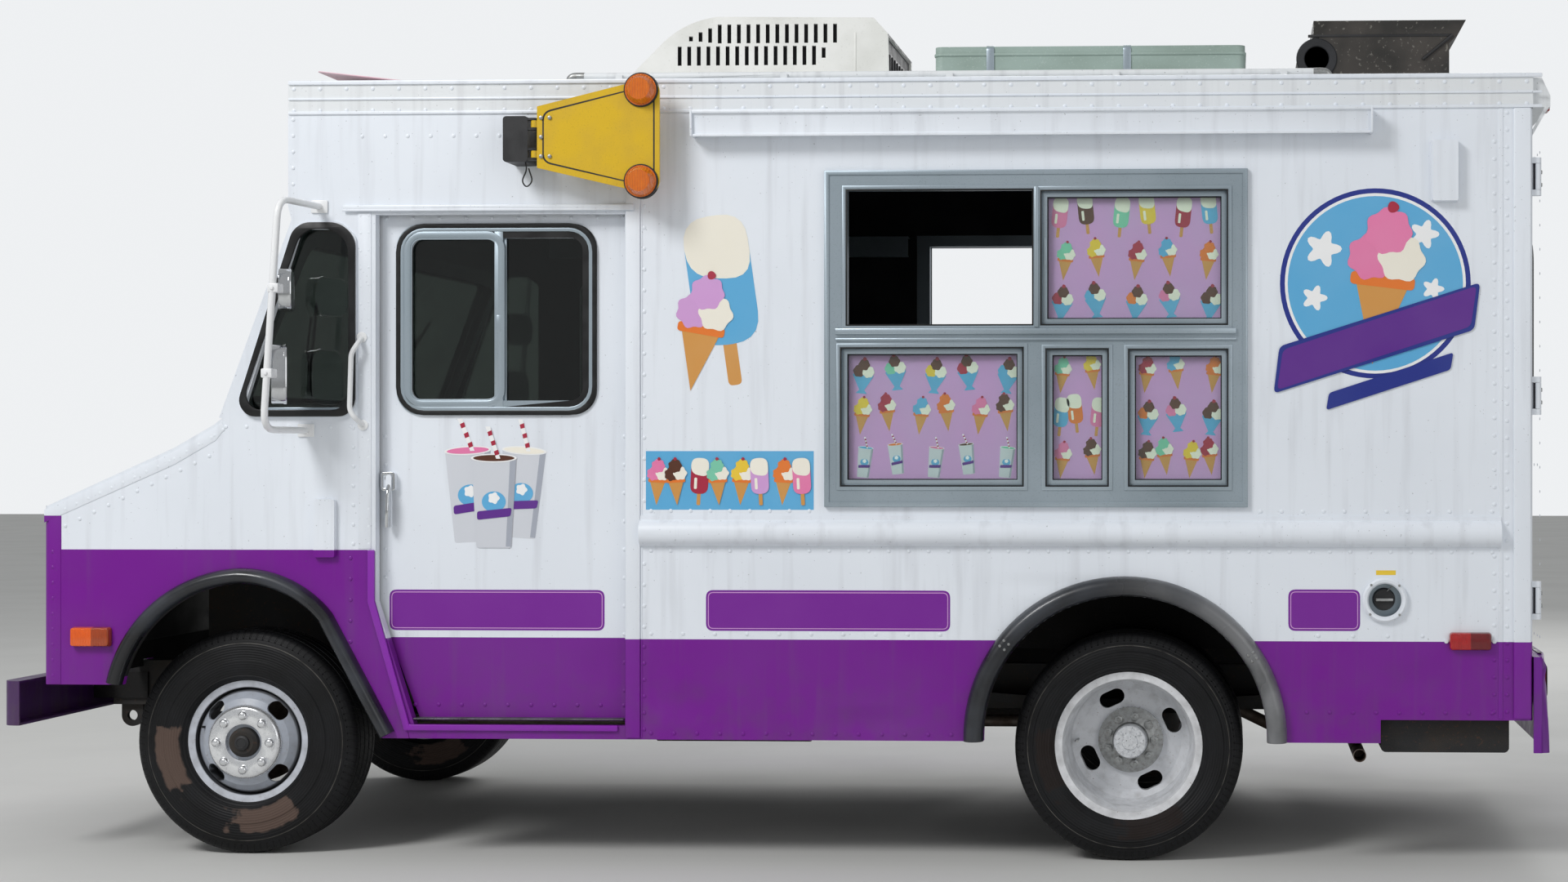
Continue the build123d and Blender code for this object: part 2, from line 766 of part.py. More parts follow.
# Windshield: a leaning frame with a centre post, and the brow above it that closes the roof
brow_half = body_half - rail_width - seat_gap
screen_rise = Vector(pillar_head - pillar_foot, 0, pillar_head_top - cowl_top)
screen_plane = Plane(
    origin=(pillar_foot, 0, cowl_top), x_dir=(0, -1, 0), z_dir=(-screen_rise.Z, 0, screen_rise.X)
)
screen_length = screen_rise.length
screen_half = inner_half - seat_gap
screen_border = 70
screen_post = 50
pane_half_width = (screen_half - screen_border - screen_post / 2) / 2
pane_centre = screen_post / 2 + pane_half_width
pane_height = screen_length - 2 * screen_border
with BuildPart() as windshield_frame:
    with BuildSketch(side(screen_half)):
        with BuildLine():
            Polyline(
                (pillar_foot, cowl_top + seat_gap),
                (pillar_head, pillar_head_top),
                (brow_front, header_bottom - seat_gap),
                (brow_front + wall, header_bottom - seat_gap),
                (pillar_head + wall * 1.3, pillar_head_top - 30),
                (pillar_foot + wall * 1.1, cowl_top + seat_gap),
                close=True,
            )
        make_face()
    extrude(amount=-2 * screen_half)
    with BuildSketch(screen_plane.offset(60)):
        for hand in (-1, 1):
            with Locations((hand * pane_centre, screen_length / 2)):
                RectangleRounded(2 * pane_half_width, pane_height, 60)
    extrude(amount=-160, mode=Mode.SUBTRACT)
    with BuildSketch(Plane.YZ.offset(brow_front)):
        with BuildLine():
            ThreePointArc(
                (-brow_half, roof_edge_top - roof_skin - 1),
                (0, roof_edge_top + roof_crown - roof_skin - 1),
                (brow_half, roof_edge_top - roof_skin - 1),
            )
            Polyline(
                (brow_half, roof_edge_top - roof_skin - 1),
                (brow_half, roof_edge_bottom - seat_gap),
                (screen_half, roof_edge_bottom - seat_gap),
                (screen_half, header_bottom - seat_gap),
                (-screen_half, header_bottom - seat_gap),
                (-screen_half, roof_edge_bottom - seat_gap),
                (-brow_half, roof_edge_bottom - seat_gap),
                (-brow_half, roof_edge_top - roof_skin - 1),
            )
        make_face()
    extrude(amount=wall)
write(windshield_frame, "windshield_frame")

# Cab glass: two windshield panes and the two quarter windows
glass_thickness = 6
with BuildPart() as cab_glass:
    with BuildSketch(screen_plane.offset(-14)):
        for hand in (-1, 1):
            with Locations((hand * pane_centre, screen_length / 2)):
                RectangleRounded(2 * (pane_half_width - seat_gap), pane_height - 2 * seat_gap, 60)
    extrude(amount=-glass_thickness)
    with BuildSketch(side(body_half - 16)):
        add(quarter_face(-quarter_border - seat_gap))
    extrude(amount=-glass_thickness)
    with BuildSketch(side(-body_half + 16)):
        add(quarter_face(-quarter_border - seat_gap))
    extrude(amount=glass_thickness)
write(cab_glass, "cab_glass")

# Sliding cab doors, hung inside the wall on rollers that run in a box track
door_gap = 14
door_thickness = 36
door_outer = inner_half - door_gap
door_inner = door_outer - door_thickness
door_overlap = 22
door_panel_top = door_top + 17
track_lip = 2316
track_top = 2395
track_inner = inner_half - 78
track_wall = 6
roller_radius = 25
roller_stations = (door_front + 120, door_rear - 120)
door_window_front = aft(577)
door_window_rear = aft(1294)
door_window_bottom = 1577
door_window_top = 2253
door_window_radius = 85
window_border = 50
lip_proud = 7
mullion_front = aft(926)
mullion_rear = aft(962)
window_centre = ((door_window_front + door_window_rear) / 2, (door_window_bottom + door_window_top) / 2)
window_size = (door_window_rear - door_window_front, door_window_top - door_window_bottom)
handle_front = door_front + 8


def build_door(hand):
    """One sliding door with its hangers, rollers and handle; hand is -1 on the driver's side."""
    with BuildPart() as door:
        with BuildSketch(side(door_outer)) as outline:
            with BuildLine():
                Polyline(
                    (door_front - door_overlap, door_panel_top),
                    (door_rear + door_overlap, door_panel_top),
                    (door_rear + door_overlap, sill_top + 10),
                    (door_slant_x + 22, sill_top + 10),
                    (door_front - door_overlap, door_slant_z + 12),
                    close=True,
                )
            make_face()
            with Locations(window_centre):
                RectangleRounded(window_size[0] - 2 * window_border, window_size[1] - 2 * window_border,
                                 door_window_radius - 40, mode=Mode.SUBTRACT)
        extrude(amount=-door_thickness)
        with BuildSketch(side(door_outer)):
            with Locations(window_centre):
                RectangleRounded(*window_size, door_window_radius)
                RectangleRounded(window_size[0] - 2 * window_border, window_size[1] - 2 * window_border,
                                 door_window_radius - 40, mode=Mode.SUBTRACT)
        extrude(amount=lip_proud)
        with BuildSketch(side(door_outer - 4)):
            with Locations(((mullion_front + mullion_rear) / 2, window_centre[1])):
                Rectangle(mullion_rear - mullion_front, window_size[1] - 90)
        extrude(amount=-26)
        for station in roller_stations:
            with BuildSketch(side(door_outer - 8)):
                with Locations((station, (door_panel_top - 40 + track_lip + 50) / 2)):
                    Rectangle(40, track_lip + 50 - door_panel_top + 40)
            extrude(amount=-12)
            with BuildSketch(side(door_outer - 20)):
                with Locations((station, track_lip + seat_gap + roller_radius)):
                    Circle(8)
            extrude(amount=-(door_outer - 20 - track_inner - 14))
            with BuildSketch(side(track_inner + 28)):
                with Locations((station, track_lip + seat_gap + roller_radius)):
                    Circle(roller_radius)
            extrude(amount=-14)
        with BuildSketch(side(door_outer)):
            with Locations((handle_front + 25, 1340)):
                RectangleRounded(50, 64, 10)
        extrude(amount=22)
        with BuildSketch(side(door_outer + 22)):
            with Locations((handle_front + 30, 1270)):
                RectangleRounded(20, 190, 9)
        extrude(amount=10)
    if hand < 0:
        return door
    with BuildPart() as mirrored:
        mirror(door.part, about=Plane.XZ)
    return mirrored


def build_door_glass(hand):
    """The two sliding panes of a cab door window."""
    with BuildPart() as panes:
        low_x = door_window_front + window_border + seat_gap
        high_x = door_window_rear - window_border - seat_gap
        pane_low = door_window_bottom + window_border + seat_gap
        pane_high = door_window_top - window_border - seat_gap
        for first, last in ((low_x, mullion_front - seat_gap), (mullion_rear + seat_gap, high_x)):
            with BuildSketch(side(door_outer - 12)) as pane:
                with Locations(((first + last) / 2, (pane_low + pane_high) / 2)):
                    Rectangle(last - first, pane_high - pane_low)
                corner = pane.vertices().group_by(Axis.X)[0 if first == low_x else -1]
                fillet(corner, door_window_radius - 40)
            extrude(amount=-glass_thickness)
    if hand < 0:
        return panes
    with BuildPart() as mirrored:
        mirror(panes.part, about=Plane.XZ)
    return mirrored


for hand, side_name in ((-1, "left"), (1, "right")):
    write(build_door(hand), f"{side_name}_door")
    write(build_door_glass(hand), f"{side_name}_door_glass")

# Door tracks: box sections along the inside of each wall
with BuildPart() as door_tracks:
    with BuildSketch(Plane.YZ.offset(door_front - door_overlap)):
        with BuildLine():
            Polyline(
                (-inner_half + seat_gap, track_top),
                (-inner_half + seat_gap, track_top + track_wall),
                (-track_inner, track_top + track_wall),
                (-track_inner, track_lip - track_wall),
                (-track_inner - 25, track_lip - track_wall),
                (-track_inner - 25, track_lip),
                (-track_inner - track_wall, track_lip),
                (-track_inner - track_wall, track_top),
                close=True,
            )
        make_face()
    extrude(amount=door_track_rear - door_front + door_overlap)
    mirror(about=Plane.XZ)
write(door_tracks, "door_tracks")

# Rear frame: corner posts with door stops, header, sill and the pins that carry the rear doors
rear_door_bottom = 765
rear_door_top = 2520
rear_door_edge = inner_half
stop_width = 66
sill_bottom = frame_top + 18
rear_hinge_x = body_rear + 17
rear_hinge_y = rear_door_edge + 16
rear_hinge_radius = 7
rear_hinge_rows = (930, 1640, 2400)
rear_barrel_half = 45
rear_ear_height = 20
with BuildPart() as rear_frame:
    with BuildSketch(Plane.XY.offset(rear_lower_edge)) as post_plan:
        with Locations(((post_front + body_rear) / 2, 0)):
            Rectangle(body_rear - post_front, body_width)
        fillet(post_plan.vertices().group_by(Axis.X)[-1], 24)
    extrude(amount=roof_edge_bottom - rear_lower_edge)
    with BuildSketch(Plane.XY.offset(rear_lower_edge)):
        with Locations(((post_front + body_rear) / 2, 0)):
            Rectangle(body_rear - post_front + 2, 2 * (rear_door_edge - 150))
    extrude(amount=sill_bottom - rear_lower_edge, mode=Mode.SUBTRACT)
    with BuildSketch(Plane.XY.offset(rear_door_bottom - running_gap)):
        with Locations(((post_front + body_rear) / 2, 0)):
            Rectangle(body_rear - post_front + 2, 2 * (rear_door_edge - stop_width))
        with Locations((body_rear - 24 + 50, 0)):
            Rectangle(100, 2 * (rear_door_edge + running_gap))
    extrude(amount=rear_door_top - rear_door_bottom + 2 * running_gap, mode=Mode.SUBTRACT)
    for row in rear_hinge_rows:
        for hand in (-1, 1):
            with BuildSketch(Plane.XY.offset(row - rear_barrel_half - ear_gap - rear_ear_height)):
                with Locations((rear_hinge_x, hand * rear_hinge_y)):
                    Circle(rear_hinge_radius)
            extrude(amount=2 * (rear_barrel_half + ear_gap + rear_ear_height))
            for low in (row - rear_barrel_half - ear_gap - rear_ear_height, row + rear_barrel_half + ear_gap):
                with BuildSketch(Plane.XY.offset(low)):
                    with Locations((rear_hinge_x, hand * rear_hinge_y)):
                        Circle(rear_hinge_radius + 7)
                    with Locations(((body_rear - 4 + rear_hinge_x) / 2, hand * rear_hinge_y)):
                        Rectangle(rear_hinge_x - body_rear + 4, 2 * (rear_hinge_radius + 7))
                extrude(amount=rear_ear_height)
write(rear_frame, "rear_frame")

# Rear doors on pins at the outer corners, each with a window
rear_door_gap = 6
rear_door_thickness = 18
rear_window_centre = ((rear_door_edge + rear_door_gap) / 2, 1920)
rear_window_size = (620, 560)


def build_rear_door():
    """The left rear door with its hinge leaves; the right one is its mirror image."""
    with BuildPart() as door:
        with BuildSketch(Plane.YZ.offset(body_rear - rear_door_thickness)):
            with Locations((-(rear_door_edge + rear_door_gap) / 2, (rear_door_bottom + rear_door_top) / 2)):
                Rectangle(rear_door_edge - rear_door_gap, rear_door_top - rear_door_bottom)
            with Locations((-rear_window_centre[0], rear_window_centre[1])):
                RectangleRounded(*rear_window_size, 70, mode=Mode.SUBTRACT)
        extrude(amount=rear_door_thickness)
        for row in rear_hinge_rows:
            with BuildSketch(Plane.XY.offset(row - rear_barrel_half)):
                with Locations((rear_hinge_x, -rear_hinge_y)):
                    Circle(rear_hinge_radius + 7)
                with Locations((body_rear + 3, -rear_hinge_y + 70)):
                    Rectangle(6, 140)
                with Locations((rear_hinge_x - 5, -rear_hinge_y + 6)):
                    Rectangle(14, 12)
                with Locations((rear_hinge_x, -rear_hinge_y)):
                    Circle(rear_hinge_radius + pin_clearance, mode=Mode.SUBTRACT)
            extrude(amount=2 * rear_barrel_half)
    return door


rear_door_left = build_rear_door()
write(rear_door_left, "rear_door_left")
with BuildPart() as rear_door_right:
    mirror(rear_door_left.part, about=Plane.XZ)
write(rear_door_right, "rear_door_right")

# Rear door glass, one pane for each door
for hand, side_name in ((-1, "left"), (1, "right")):
    with BuildPart() as rear_glass:
        with BuildSketch(Plane.YZ.offset(body_rear - rear_door_thickness / 2 - 3)):
            with Locations((hand * rear_window_centre[0], rear_window_centre[1])):
                RectangleRounded(rear_window_size[0] - 2 * seat_gap, rear_window_size[1] - 2 * seat_gap, 70)
        extrude(amount=glass_thickness)
    write(rear_glass, f"rear_glass_{side_name}")

# Rear hood: a shallow box over the doors on two diagonal struts
hood_box_rear = body_rear + 62
hood_box_bottom = roof_edge_bottom + 4
hood_box_top = roof_edge_top - 14
with BuildPart() as rear_hood:
    with BuildSketch(side(body_half - 20)):
        with BuildLine():
            Polyline(
                (body_rear + seat_gap, hood_box_bottom),
                (body_rear + seat_gap, hood_box_top),
                (hood_box_rear - 30, hood_box_top),
                (hood_box_rear, hood_box_bottom + 40),
                (hood_box_rear, hood_box_bottom),
                close=True,
            )
        make_face()
    extrude(amount=-2 * (body_half - 20))
    with BuildSketch(side(body_half - 20)):
        with BuildLine():
            Polyline(
                (body_rear + seat_gap, hood_box_bottom - 97),
                (body_rear + seat_gap, hood_box_bottom - 77),
                (hood_box_rear - 20, hood_box_bottom),
                (hood_box_rear - 6, hood_box_bottom),
                close=True,
            )
        make_face()
    extrude(amount=-8)
    mirror(about=Plane.XZ)
write(rear_hood, "rear_hood")

# Serving window frames: a bezel with a transom, posts and five lights
frame_proud = 14
frame_centre = ((window_front + window_rear) / 2, (serving_bottom + serving_top) / 2)
serving_lights = [
    # front, rear, bottom, top, measured from the window's front edge and as heights
    (78, 732, 1888, 2361),
    (760, 1410, 1888, 2356),
    (58, 698, 1326, 1809),
    (778, 995, 1326, 1804),
    (1066, 1411, 1326, 1802),
]
with BuildPart() as serving_windows:
    with BuildSketch(side(body_half + frame_proud)):
        with Locations(frame_centre):
            Rectangle(
                window_rear - window_front - 2 * bezel_lap - 2 * seat_gap,
                serving_top - serving_bottom - 2 * bezel_lap - 2 * seat_gap,
            )
        for front, rear, bottom, top in serving_lights:
            with Locations((window_front + (front + rear) / 2, (bottom + top) / 2)):
                Rectangle(rear - front, top - bottom, mode=Mode.SUBTRACT)
    extrude(amount=-(frame_proud + wall))
    with BuildSketch(side(body_half + frame_proud)):
        with Locations(frame_centre):
            Rectangle(window_rear - window_front, serving_top - serving_bottom)
            Rectangle(window_rear - window_front - 50, serving_top - serving_bottom - 50, mode=Mode.SUBTRACT)
    extrude(amount=-(frame_proud - seat_gap))
    mirror(about=Plane.XZ)
write(serving_windows, "serving_windows")

# Serving glass: every light but the open hatch at the top front
with BuildPart() as serving_glass:
    for front, rear, bottom, top in serving_lights[1:]:
        with BuildSketch(side(body_half - 10)):
            with Locations((window_front + (front + rear) / 2, (bottom + top) / 2)):
                Rectangle(rear - front - 2 * seat_gap, top - bottom - 2 * seat_gap)
        extrude(amount=-glass_thickness)
    mirror(about=Plane.XZ)
write(serving_glass, "serving_glass")

# Menu boards behind the glass
with BuildPart() as menu_boards:
    for front, rear, bottom, top in serving_lights[1:]:
        with BuildSketch(side(body_half - 26)):
            with Locations((window_front + (front + rear) / 2, (bottom + top) / 2)):
                Rectangle(rear - front - 2 * seat_gap, top - bottom - 2 * seat_gap)
        extrude(amount=-5)
    mirror(about=Plane.XZ)
write(menu_boards, "menu_boards")

# Half-round belt rails along both sides
belt_bottom = 1114
belt_top = 1221
belt_front = aft(1463)
belt_rear = past_rear(1296)
with BuildPart() as belt_rails:
    with BuildSketch(Plane.YZ.offset(belt_front)):
        with BuildLine():
            Line((-body_half - seat_gap, belt_bottom), (-body_half - seat_gap, belt_top))
            Line((-body_half - seat_gap, belt_top), (-body_half - 6, belt_top))
            Line((-body_half - 6, belt_top), (-body_half - 6, belt_top - 14))
            ThreePointArc(
                (-body_half - 6, belt_top - 14),
                (-body_half - 38, (belt_bottom + belt_top) / 2 - 6),
                (-body_half - 6, belt_bottom),
            )
            Line((-body_half - 6, belt_bottom), (-body_half - seat_gap, belt_bottom))
        make_face()
    extrude(amount=belt_rear - belt_front)
    mirror(about=Plane.XZ)
write(belt_rails, "belt_rails")

# Awning housings under the roof rail on both sides
awning_front = past_rear(-1522)
awning_rear = past_rear(851)
awning_bottom = 2544
awning_top = roof_edge_bottom - 2
with BuildPart() as awning_housings:
    with BuildSketch(Plane.YZ.offset(awning_front)):
        with BuildLine():
            Polyline(
                (-body_half - seat_gap, awning_bottom + 10),
                (-body_half - seat_gap, awning_top),
                (-body_half - 40, awning_top),
            )
            ThreePointArc(
                (-body_half - 40, awning_top),
                (-body_half - 78, (awning_top + awning_bottom) / 2),
                (-body_half - 40, awning_bottom),
            )
            Line((-body_half - 40, awning_bottom), (-body_half - seat_gap, awning_bottom + 10))
        make_face()
    extrude(amount=awning_rear - awning_front)
    mirror(about=Plane.XZ)
write(awning_housings, "awning_housings")

# Wheel arch flares of moulded rubber
with BuildPart() as flares:
    with BuildSketch(side(body_half + seat_gap)):
        with BuildSketch(mode=Mode.PRIVATE) as front_outer:
            add(front_arch_face())
            offset(amount=front_flare_band)
        add(front_outer.sketch)
        add(front_arch_face(), mode=Mode.SUBTRACT)
        with Locations((front_axle_x, lower_edge - 300)):
            Rectangle(2000, 600, mode=Mode.SUBTRACT)
        with Locations((aft(-600), nose_bottom - 300)):
            Rectangle(2 * (600 - 393) + 200, 600, mode=Mode.SUBTRACT)
        with Locations((arch_centre_x, arch_centre_z)):
            Circle(arch_radius + flare_band)
            Circle(arch_radius, mode=Mode.SUBTRACT)
        with Locations((arch_centre_x, lower_edge - arch_radius)):
            Rectangle(3 * arch_radius, 2 * arch_radius, mode=Mode.SUBTRACT)
    extrude(amount=flare_depth)
    mirror(about=Plane.XZ)
write(flares, "flares")

# Front bumper: a channel with rounded ends on two brackets
bumper_low = 466
bumper_high = 625
bumper_depth = 66
with BuildPart() as front_bumper:
    with BuildSketch(Plane.XY.offset(bumper_low)) as bumper_plan:
        with Locations((bumper_face + bumper_depth / 2, 0)):
            Rectangle(bumper_depth, 2 * (body_half - 50))
        fillet(bumper_plan.vertices().group_by(Axis.X)[0], 50)
    extrude(amount=bumper_high - bumper_low)
    with BuildSketch(Plane.XY.offset(bumper_low + 8)) as bumper_hollow:
        with Locations((bumper_face + 8 + bumper_depth / 2, 0)):
            Rectangle(bumper_depth, 2 * (body_half - 58))
        fillet(bumper_hollow.vertices().group_by(Axis.X)[0], 42)
    extrude(amount=bumper_high - bumper_low - 16, mode=Mode.SUBTRACT)
    for hand in (-1, 1):
        with BuildSketch(Plane.XY.offset(bumper_low + 30)):
            with Locations(((bumper_face + 8 + rail_front + 140) / 2, hand * (frame_half + seat_gap + 6))):
                Rectangle(rail_front + 140 - bumper_face - 8, 12)
        extrude(amount=100)
write(front_bumper, "front_bumper")

# Rear bumper: a deep step channel across the tail, with a pad for the licence plate
plate_y = -520
plate_z = 560
plate_width = 305
plate_height = 150
plate_holes_across = 178
plate_holes_up = 121
plate_hole_radius = 3.5
plate_pad = 4
bumper_back = bumper_rear - plate_pad
tail_lamp_y = body_half - 240
tail_lamp_z = 640
tail_lamp_width = 230
tail_lamp_height = 90
rear_bumper_low = 402
rear_bumper_high = 735
rear_bumper_front = past_rear(1393) + 16
with BuildPart() as rear_bumper:
    with BuildSketch(Plane.XY.offset(rear_bumper_low)) as tail_plan:
        with Locations(((rear_bumper_front + bumper_back) / 2, 0)):
            Rectangle(bumper_back - rear_bumper_front, body_width)
        fillet(tail_plan.vertices().group_by(Axis.X)[-1], 30)
    extrude(amount=rear_bumper_high - rear_bumper_low)
    with BuildSketch(Plane.XY.offset(rear_bumper_low - 1)) as tail_hollow:
        with Locations(((rear_bumper_front + bumper_back) / 2 - 8, 0)):
            Rectangle(bumper_back - rear_bumper_front, body_width - 16)
        fillet(tail_hollow.vertices().group_by(Axis.X)[-1], 22)
    extrude(amount=rear_bumper_high - rear_bumper_low - 7, mode=Mode.SUBTRACT)
    for hand in (-1, 1):
        with BuildSketch(Plane.XY.offset(rail_bottom + 20)):
            with Locations(((rail_rear - 120 + bumper_back - 8) / 2, hand * (frame_half + seat_gap + 6))):
                Rectangle(bumper_back - 8 - rail_rear + 120, 12)
        extrude(amount=120)
    with BuildSketch(Plane.YZ.offset(bumper_back - 1)):
        with Locations((plate_y, plate_z)):
            RectangleRounded(plate_width, plate_height, 10)
    extrude(amount=plate_pad + 1)
    with BuildSketch(Plane.YZ.offset(bumper_back - 20)):
        with Locations((plate_y, plate_z)):
            with GridLocations(plate_holes_across, plate_holes_up, 2, 2):
                Circle(plate_hole_radius)
    extrude(amount=40, mode=Mode.SUBTRACT)
    with BuildSketch(Plane.YZ.offset(bumper_back - 20)):
        for hand in (-1, 1):
            with Locations((hand * tail_lamp_y, tail_lamp_z)):
                RectangleRounded(tail_lamp_width + 2 * seat_gap, tail_lamp_height + 2 * seat_gap, 16)
    extrude(amount=40, mode=Mode.SUBTRACT)
write(rear_bumper, "rear_bumper")

# Mirrors: a bent tube loop out from the pillar, with a flat head over a convex one
arm_radius = 12
mirror_bend = 70
mirror_corner = 58
mirror_heads = [
    # station, lower edge, upper edge, width, thickness
    (aft(284), 1933, 2077, 190, 40),
    (aft(258), 1612, 1816, 170, 52),
]
with BuildPart() as mirrors:
    with BuildLine() as arm_route:
        FilletPolyline(
            (aft(318), -body_half - 5, 2312),
            (aft(288), -mirror_reach + arm_radius, 2312),
            (aft(236), -mirror_reach + arm_radius, 1521),
            (aft(270), -body_half - 5, 1521),
            radius=mirror_bend,
        )
    with BuildSketch(Plane(origin=arm_route.line @ 0, z_dir=arm_route.line % 0)):
        Circle(arm_radius)
    sweep()
    for station, height in ((aft(318), 2312), (aft(270), 1521)):
        with BuildSketch(side(body_half + seat_gap)):
            with Locations((station, height)):
                RectangleRounded(60, 46, 8)
        extrude(amount=6)
    for station, low, high, width, thickness in mirror_heads:
        middle = (low + high) / 2
        with BuildSketch(Plane.YZ.offset(station)):
            with Locations((-mirror_reach + 40 + width / 2, middle)):
                RectangleRounded(width, high - low, mirror_corner)
        extrude(amount=thickness)
        with BuildSketch(side(mirror_reach - arm_radius)):
            with Locations((station + thickness / 2 - 10, middle)):
                Rectangle(thickness + 20, 14)
        extrude(amount=-60)
    mirror(about=Plane.XZ)
write(mirrors, "mirrors")

# Round headlamps set in the front panel
with BuildPart() as headlamps:
    with BuildSketch(Plane.XY.offset(headlamp_z)):
        with BuildLine():
            Polyline(
                (nose_front + 60, -headlamp_y),
                (nose_front - 12, -headlamp_y),
            )
            ThreePointArc(
                (nose_front - 12, -headlamp_y),
                (nose_front - 7, -headlamp_y + headlamp_radius * 0.55),
                (nose_front + 6, -headlamp_y + headlamp_radius - 8),
            )
            Polyline(
                (nose_front + 6, -headlamp_y + headlamp_radius - 8),
                (nose_front - 8, -headlamp_y + headlamp_radius - 4),
                (nose_front - 8, -headlamp_y + headlamp_radius + 12),
                (nose_front - seat_gap, -headlamp_y + headlamp_radius + 12),
                (nose_front - seat_gap, -headlamp_y + headlamp_radius - 1),
                (nose_front + 24, -headlamp_y + headlamp_radius - 1),
                (nose_front + 60, -headlamp_y + 50),
                (nose_front + 60, -headlamp_y),
            )
        make_face()
    revolve(axis=Axis((nose_front, -headlamp_y, headlamp_z), (1, 0, 0)))
    mirror(about=Plane.XZ)
write(headlamps, "headlamps")

# Signal lamps: side turn lamps, side markers, clearance lamps on the brow and tail lamps
side_lamps = [
    # front, rear, low, high, depth
    (aft(-575), aft(-430), 753, 825, 26),
    (past_rear(1117), past_rear(1264), 757, 821, 22),
]
clearance_rows = (-body_half + 180, -150, 0, 150, body_half - 180)
with BuildPart() as signal_lamps:
    for front, rear, low, high, depth in side_lamps:
        with BuildSketch(side(body_half + seat_gap)):
            with Locations(((front + rear) / 2, (low + high) / 2)):
                RectangleRounded(rear - front, high - low, 12)
        extrude(amount=depth, taper=10)
    with BuildSketch(Plane.YZ.offset(nose_front - seat_gap)):
        with Locations((-headlamp_y, headlamp_z - 180)):
            RectangleRounded(190, 64, 14)
    extrude(amount=-24, taper=10)
    mirror(about=Plane.XZ)
    with BuildSketch(Plane.YZ.offset(brow_front - seat_gap)):
        for row in clearance_rows:
            with Locations((row, 2580)):
                RectangleRounded(90, 34, 12)
    extrude(amount=-22, taper=12)
    with BuildSketch(Plane.YZ.offset(hood_box_rear + seat_gap)):
        for row in clearance_rows:
            with Locations((row, hood_box_bottom + 18)):
                RectangleRounded(80, 30, 10)
    extrude(amount=14, taper=8)
    with BuildSketch(Plane.YZ.offset(bumper_rear)):
        for hand in (-1, 1):
            with Locations((hand * tail_lamp_y, tail_lamp_z)):
                RectangleRounded(tail_lamp_width, tail_lamp_height, 16)
    extrude(amount=-20)
write(signal_lamps, "signal_lamps")

# Side covers: fender vent boxes, vent covers near the tail and the fuel filler bowl with its cap
covers = [
    # front, rear, low, high, depth
    (aft(299), aft(379), 1071, 1279, 20),
    (past_rear(1054), past_rear(1150), 2310, 2527, 34),
]
filler_flange = 78
filler_proud = 9
filler_depth = 62
filler_wall = 6
filler_cap_radius = 40
filler_cap_height = 34
with BuildPart() as side_covers:
    for front, rear, low, high, depth in covers:
        with BuildSketch(side(body_half + seat_gap)):
            with Locations(((front + rear) / 2, (low + high) / 2)):
                RectangleRounded(rear - front, high - low, 10)
        extrude(amount=depth, taper=6)
    mirror(about=Plane.XZ)
    with BuildSketch(side(body_half + seat_gap)):
        with Locations((filler_x, filler_z)):
            Circle(filler_flange)
    extrude(amount=filler_proud)
    with BuildSketch(side(body_half + seat_gap - filler_depth)):
        with Locations((filler_x, filler_z)):
            Circle(filler_hole - seat_gap)
    extrude(amount=filler_depth)
    with BuildSketch(side(body_half + seat_gap - filler_depth + filler_wall)):
        with Locations((filler_x, filler_z)):
            Circle(filler_hole - seat_gap - filler_wall)
    extrude(amount=filler_depth + filler_proud, mode=Mode.SUBTRACT)
    with BuildSketch(side(body_half + seat_gap - filler_depth + filler_wall)):
        with Locations((filler_x, filler_z)):
            Circle(filler_cap_radius)
    extrude(amount=filler_cap_height, taper=6)
write(side_covers, "side_covers")

# Swing-out sign: its box on the wall, the plate on a pin and a pair of lamps on each face
sign_box_front = aft(1013)
sign_box_rear = aft(1100)
sign_hinge_x = aft(1120)
sign_plane_y = body_half + 120
sign_thickness = 10
sign_box_low = 2451
sign_box_high = 2610
sign_pin_radius = 6
sign_hinge_rows = (2478, 2583)
sign_barrel_half = 12
sign_lamp_x = aft(1496)
sign_lamp_rows = (2382, 2699)
sign_lamp_radius = 55
sign_corners = [
    (aft(1131), 2431), (aft(1560), 2330), (aft(1560), 2749), (aft(1131), 2644),
]
with BuildPart() as sign_box:
    with BuildSketch(side(body_half + seat_gap)):
        with Locations(((sign_box_front + sign_box_rear) / 2, (sign_box_low + sign_box_high) / 2)):
            RectangleRounded(sign_box_rear - sign_box_front, sign_box_high - sign_box_low, 12)
    extrude(amount=sign_plane_y - body_half + 12)
    for row in sign_hinge_rows:
        for low in (row - sign_barrel_half - 9, row + sign_barrel_half + 1):
            with BuildSketch(Plane.XY.offset(low)):
                with Locations((sign_hinge_x, -sign_plane_y)):
                    Circle(sign_pin_radius + 5)
                with Locations(((sign_box_rear - 4 + sign_hinge_x) / 2, -sign_plane_y)):
                    Rectangle(sign_hinge_x - sign_box_rear + 4, 2 * (sign_pin_radius + 5))
            extrude(amount=8)
        with BuildSketch(Plane.XY.offset(row - sign_barrel_half - 9)):
            with Locations((sign_hinge_x, -sign_plane_y)):
                Circle(sign_pin_radius)
        extrude(amount=2 * sign_barrel_half + 18)
write(sign_box, "sign_box")

